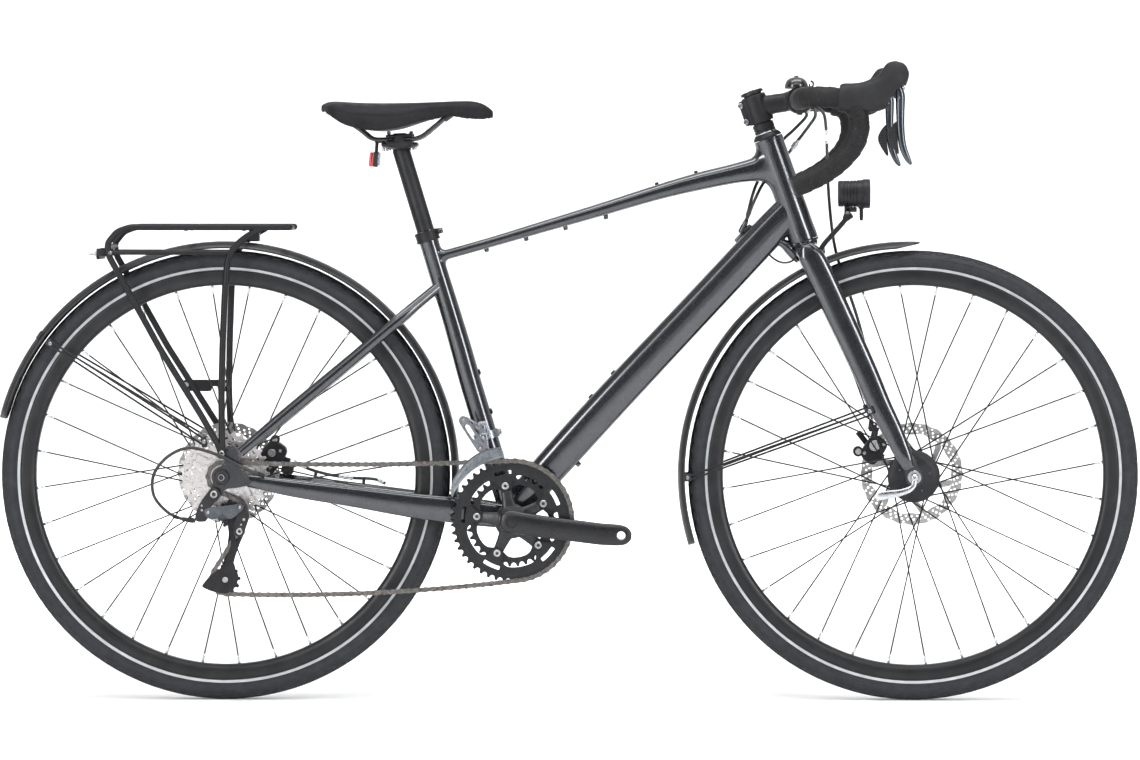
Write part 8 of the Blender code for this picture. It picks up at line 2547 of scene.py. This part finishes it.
# ---------------------------------------------------------------- headlight
def make_headlight():
    b = Skin()
    pts = [(390, 0, 689), (390.5, 0, 699), (396, 0, 708.5), (404, 0, 717.5), (412, 0, 726.5), (421.5, 0, 737), (430, 0, 747.5)]
    even = dense(pts, 36)
    b.add(sweep([tuple(p) for p in even], [superellipse(7, 3.9, 28, 3.2) for p in even], (0, 1, 0)))
    for y in (-6.2, 6.2):
        b.add(block((430, y, 752.5), (8.4, 3.0, 14), turn=-20, r=1.3, seg=3))
    b.add(block((433.5, 0, 749.5), (13, 9, 9), turn=35, r=2.0, seg=3))
    finish(b, "lamp_bracket_arm", ANODISED_SATIN, "fork", ["headlight_bracket"], angle=50)
    s = Skin()
    s.add(rod((393.6, 0, 697), (397.2, 0, 697), 4.6, n=6, chamfer=0.5))
    s.add(bolt(Vector((431, -7.6, 756)), (0, -1, 0), 3.0, 1.5, 1.5, 1.0))
    s.add(bolt(Vector((431, 7.6, 756)), (0, 1, 0), 3.0, 1.5, 1.5, 1.0))
    finish(s, "lamp_bracket_screws", STEEL, "fork")
    m = axis_matrix((416.6, 0, 785.5), (1, 0, 0))
    body = Skin()
    profile = [(0, 0), (17.6, 0), (19.4, 0.8), (20.2, 2.4)]
    z = 5.0
    # Cooling grooves ring the drum.
    r = 20.3
    while z < 29:
        profile += [(r, z), (r, z + 3.0), (r - 0.9, z + 3.3), (r - 0.9, z + 4.4), (r + 0.1, z + 4.7)]
        z += 4.9
        r += 0.12
    profile += [(21.1, 30.6), (21.3, 37.0), (21.6, 38.0), (22.4, 38.6), (22.6, 40.0), (22.7, 48.6), (22.2, 49.6), (20.6, 49.8), (19.8, 47.8), (0, 46.0)]
    body.add(lathe(profile, 84, m))
    body.add(block((431, 0, 760.6), (9, 8.4, 17), r=1.8, seg=3))
    body.add(block((437.5, 0, 761), (17, 8.4, 8), r=1.8, seg=3))
    finish(body, "headlight_drum", ANODISED_SATIN, "headlight", ["headlight"], angle=30)
    bezel = Skin()
    bezel.add(lathe([(19.4, 46.6), (21.8, 47.0), (22.0, 47.6), (21.8, 48.0), (21.3, 49.7), (19.8, 49.6)], 84, m))
    finish(bezel, "headlight_bezel", SILVER, "headlight")
    mirror_cup = Skin()
    mirror_cup.add(lathe([(0, 46.2), (4.0, 46.25), (8.0, 46.4), (14.0, 46.9), (19.3, 47.7), (19.3, 48.0), (13.6, 47.3), (7.8, 46.8), (4.0, 46.6), (0, 46.6)], 60, m))
    finish(mirror_cup, "headlight_reflector", M["mirror"], "headlight")
    lens = Skin()
    lens.add(lathe([(0, 48.4), (19.6, 48.4), (19.8, 49.0), (17.0, 49.7), (10.0, 50.3), (0, 50.5)], 60, m))
    finish(lens, "headlight_lens", M["clear"], "headlight")
    sw = Skin()
    sw.add(rod((453, 0, 766), (453, 0, 762), 5.2, 4.4, n=24, chamfer=0.5))
    sw.add(rod((453, 0, 763), (453, 0, 744), 3.0, 2.6, n=20, chamfer=0.5))
    for k in range(4):
        sw.add(rod((453, 0, 760.0 - 3.2 * k), (453, 0, 758.8 - 3.2 * k), 3.5, 3.4, n=20, chamfer=0.3))
    finish(sw, "headlight_gland", RUBBER, "headlight")


# ---------------------------------------------------------------- cables
def make_cables():
    def smooth_path(points, n=120):
        return [tuple(p) for p in dense(points, n)]

    def placed(points, n, s):
        """Point and direction a share s along."""
        path = [Vector(p) for p in smooth_path(points, n)]
        i = int(s * (n - 2))
        return path[i], (path[i + 1] - path[i]).normalized()

    front_brake = [(366, 82, 917), (376, 70, 919), (388, 54, 918), (396, 43, 909), (399.5, 42, 885), (400.5, 41, 862), (402, 40, 808), (407, 42, 745), (414, 50, 700), (424, 56, 665),
                   (437, 60.5, 628), (446.5, 62, 600), (456, 63, 567), (462, 64.5, 540), (464.5, 66, 505), (466, 63, 464), (471, 57, 430)]
    s = Skin()
    s.add(tube(smooth_path(front_brake, 160), 2.5, 18, round_ends=False))
    finish(s, "front_brake_housing", M["housing"], "fork", ["front_brake_cable"])
    metal = Skin()
    # The inline adjuster near the bar, with a knurled barrel, and the end ferrule at the caliper.
    at, d = placed(front_brake, 160, 0.17)
    metal.add(rod(at - d * 11, at - d * 4, 3.1, n=24, chamfer=0.4))
    metal.add(rod(at - d * 4, at + d * 6, 3.9, n=24, chamfer=0.6))
    side = d.orthogonal().normalized()
    other = d.cross(side)
    for k in range(14):
        a = 2 * math.pi * k / 14
        off = (side * math.cos(a) + other * math.sin(a)) * 3.95
        metal.add(rod(at - d * 3.4 + off, at + d * 5.4 + off, 0.42, n=8))
    metal.add(rod(at + d * 6, at + d * 10, 3.0, n=24, chamfer=0.4))
    p, q = Vector((466.5, 62.4, 460)), Vector((471, 57, 430))
    dd = (q - p).normalized()
    metal.add(rod(q - dd * 12, q - dd * 1.0, 3.1, n=24, chamfer=0.4))
    finish(metal, "front_brake_ferrules", SILVER, "fork")
    wire = Skin()
    wire.add(tube([(471, 57, 422), (463, 62, 417), (452, 65.6, 411.6)], 0.8, 10))
    finish(wire, "front_brake_inner", BRUSHED, "fork")

    control = [[(358, 78, 916), (365, 60, 915), (369, 44, 907), (348, 44, 884), (334, 46, 871), (318, 41, 847), (303, 31, 822), (291, 22.5, 801), (283, 16.5, 778), (279, 13.4, 762), (275.2, 12, 744.5)],
               [(364, 80, 918), (374, 62, 919), (382, 46, 916), (382, 38, 905), (374, 40, 893), (358.5, 45, 872), (346, 47, 855), (330, 41, 835), (313, 31, 815), (301, 22, 801), (289, 12, 778),
                (280.5, 6, 758), (275.2, 4, 744.5)]]
    s = Skin()
    for run in control:
        s.add(tube(smooth_path(run, 110), 2.5, 16, round_ends=False))
    # Adjusters in each run, as turned barrels with knurls.
    for run, share in ((control[0], 0.44), (control[1], 0.43)):
        at, d = placed(run, 110, share)
        s.add(rod(at - d * 12, at - d * 5, 3.1, n=24, chamfer=0.4), 1)
        s.add(rod(at - d * 5, at + d * 6, 4.0, n=24, chamfer=0.7), 1)
        side = d.orthogonal().normalized()
        other = d.cross(side)
        for k in range(14):
            a = 2 * math.pi * k / 14
            off = (side * math.cos(a) + other * math.sin(a)) * 4.0
            s.add(rod(at - d * 4.2 + off, at + d * 5.2 + off, 0.42, n=8), 1)
        s.add(rod(at + d * 6, at + d * 10, 3.0, n=24, chamfer=0.4), 1)
    for run in control:
        at, d = placed(run, 110, 0.955)
        s.add(rod(at - d * 1, at + d * 6, 2.95, n=20, chamfer=0.4))
    mesh_obj = raw_object(s, "control_housings", [M["housing"], SILVER])
    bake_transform(mesh_obj)
    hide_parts("control_cables")

    rear_brake = [(-288, 46, 333), (-303, 49, 339), (-340, 52, 341.5), (-375, 55, 346), (-405, 57, 354), (-430.5, 56, 365)]
    s = Skin()
    s.add(tube(smooth_path(rear_brake, 70), 2.5, 18))
    finish(s, "rear_brake_housing", M["housing"], "frame", ["rear_brake_cable"])
    metal = Skin()
    for share, n_b in ((0.02, 1), (0.97, -1)):
        at, d = placed(rear_brake, 70, share)
        metal.add(rod(at, at + d * 11 * n_b, 3.15, n=24, chamfer=0.4))
    at, d = placed(rear_brake, 70, 0.42)
    metal.add(rod(at - d * 8, at + d * 8, 3.6, n=24, chamfer=0.6))
    metal.add(rod(at + d * 8, at + d * 15, 2.9, n=20, chamfer=0.4))
    finish(metal, "rear_brake_ferrules", SILVER, "frame")
    clips = Skin()
    for x, y, z in ((-322, 50.6, 337.5), (-398, 56.2, 345.5)):
        clips.add(block((x, y, z), (5, 7, 9), turn=-8, r=1.4, seg=3))
    finish(clips, "rear_brake_clips", PLASTIC, "frame")

    rear_shift = [(-468, -70, 351), (-488, -80, 359), (-512, -89, 371), (-545, -91.5, 387), (-584, -89, 395), (-617, -87, 380), (-637.5, -85, 352), (-637, -83, 321), (-619, -82, 298),
                  (-605, -82, 289.2), (-593.5, -82, 285.2)]
    s = Skin()
    s.add(tube(smooth_path(rear_shift, 160), 2.5, 18))
    finish(s, "rear_shift_housing", M["housing"], "frame", ["rear_shift_cable"])
    metal = Skin()
    at, d = placed(rear_shift, 160, 0.0)
    metal.add(rod(at, at + d * 11, 2.95, n=24, chamfer=0.4))
    at, d = placed(rear_shift, 160, 0.99)
    metal.add(rod(at - d * 9, at, 2.95, n=24, chamfer=0.4))
    finish(metal, "rear_shift_ferrules", ANODISED, "frame")

    dynamo = [(308, -7, 696), (312, -8, 689.5), (318, -8.5, 684.5), (328, -9.5, 679.5), (338, -10.5, 679), (346, -11, 682), (350.5, -11, 688), (352.5, -10.5, 694)]
    s = Skin()
    s.add(tube(smooth_path(dynamo, 60), 1.6, 14))
    for share, way in ((0.0, 1), (0.975, -1)):
        at, d = placed(dynamo, 60, share)
        s.add(rod(at, at + d * 3.4 * way, 2.1, n=16, chamfer=0.4), 1)
    obj = raw_object(s, "dynamo_wire_loop", [M["housing"], RUBBER])
    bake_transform(obj)
    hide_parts("dynamo_wire")


def raw_object(skin, name, mats):
    """An object that rides on no body: for pieces that run between two. Nothing makes it bend."""
    mesh = bpy.data.meshes.new(name)
    mesh.from_pydata([(x * MM, y * MM, z * MM) for x, y, z in skin.v], [], skin.f)
    for mat in mats:
        mesh.materials.append(mat)
    mesh.polygons.foreach_set("material_index", skin.m)
    bm = bmesh.new()
    bm.from_mesh(mesh)
    bmesh.ops.recalc_face_normals(bm, faces=bm.faces)
    bm.to_mesh(mesh)
    bm.free()
    mesh.shade_smooth()
    mesh.set_sharp_from_angle(angle=math.radians(35))
    obj = bpy.data.objects.new(name, mesh)
    bpy.context.scene.collection.objects.link(obj)
    return obj


make_bar()
make_hoods()
make_bell()
make_headlight()
make_cables()
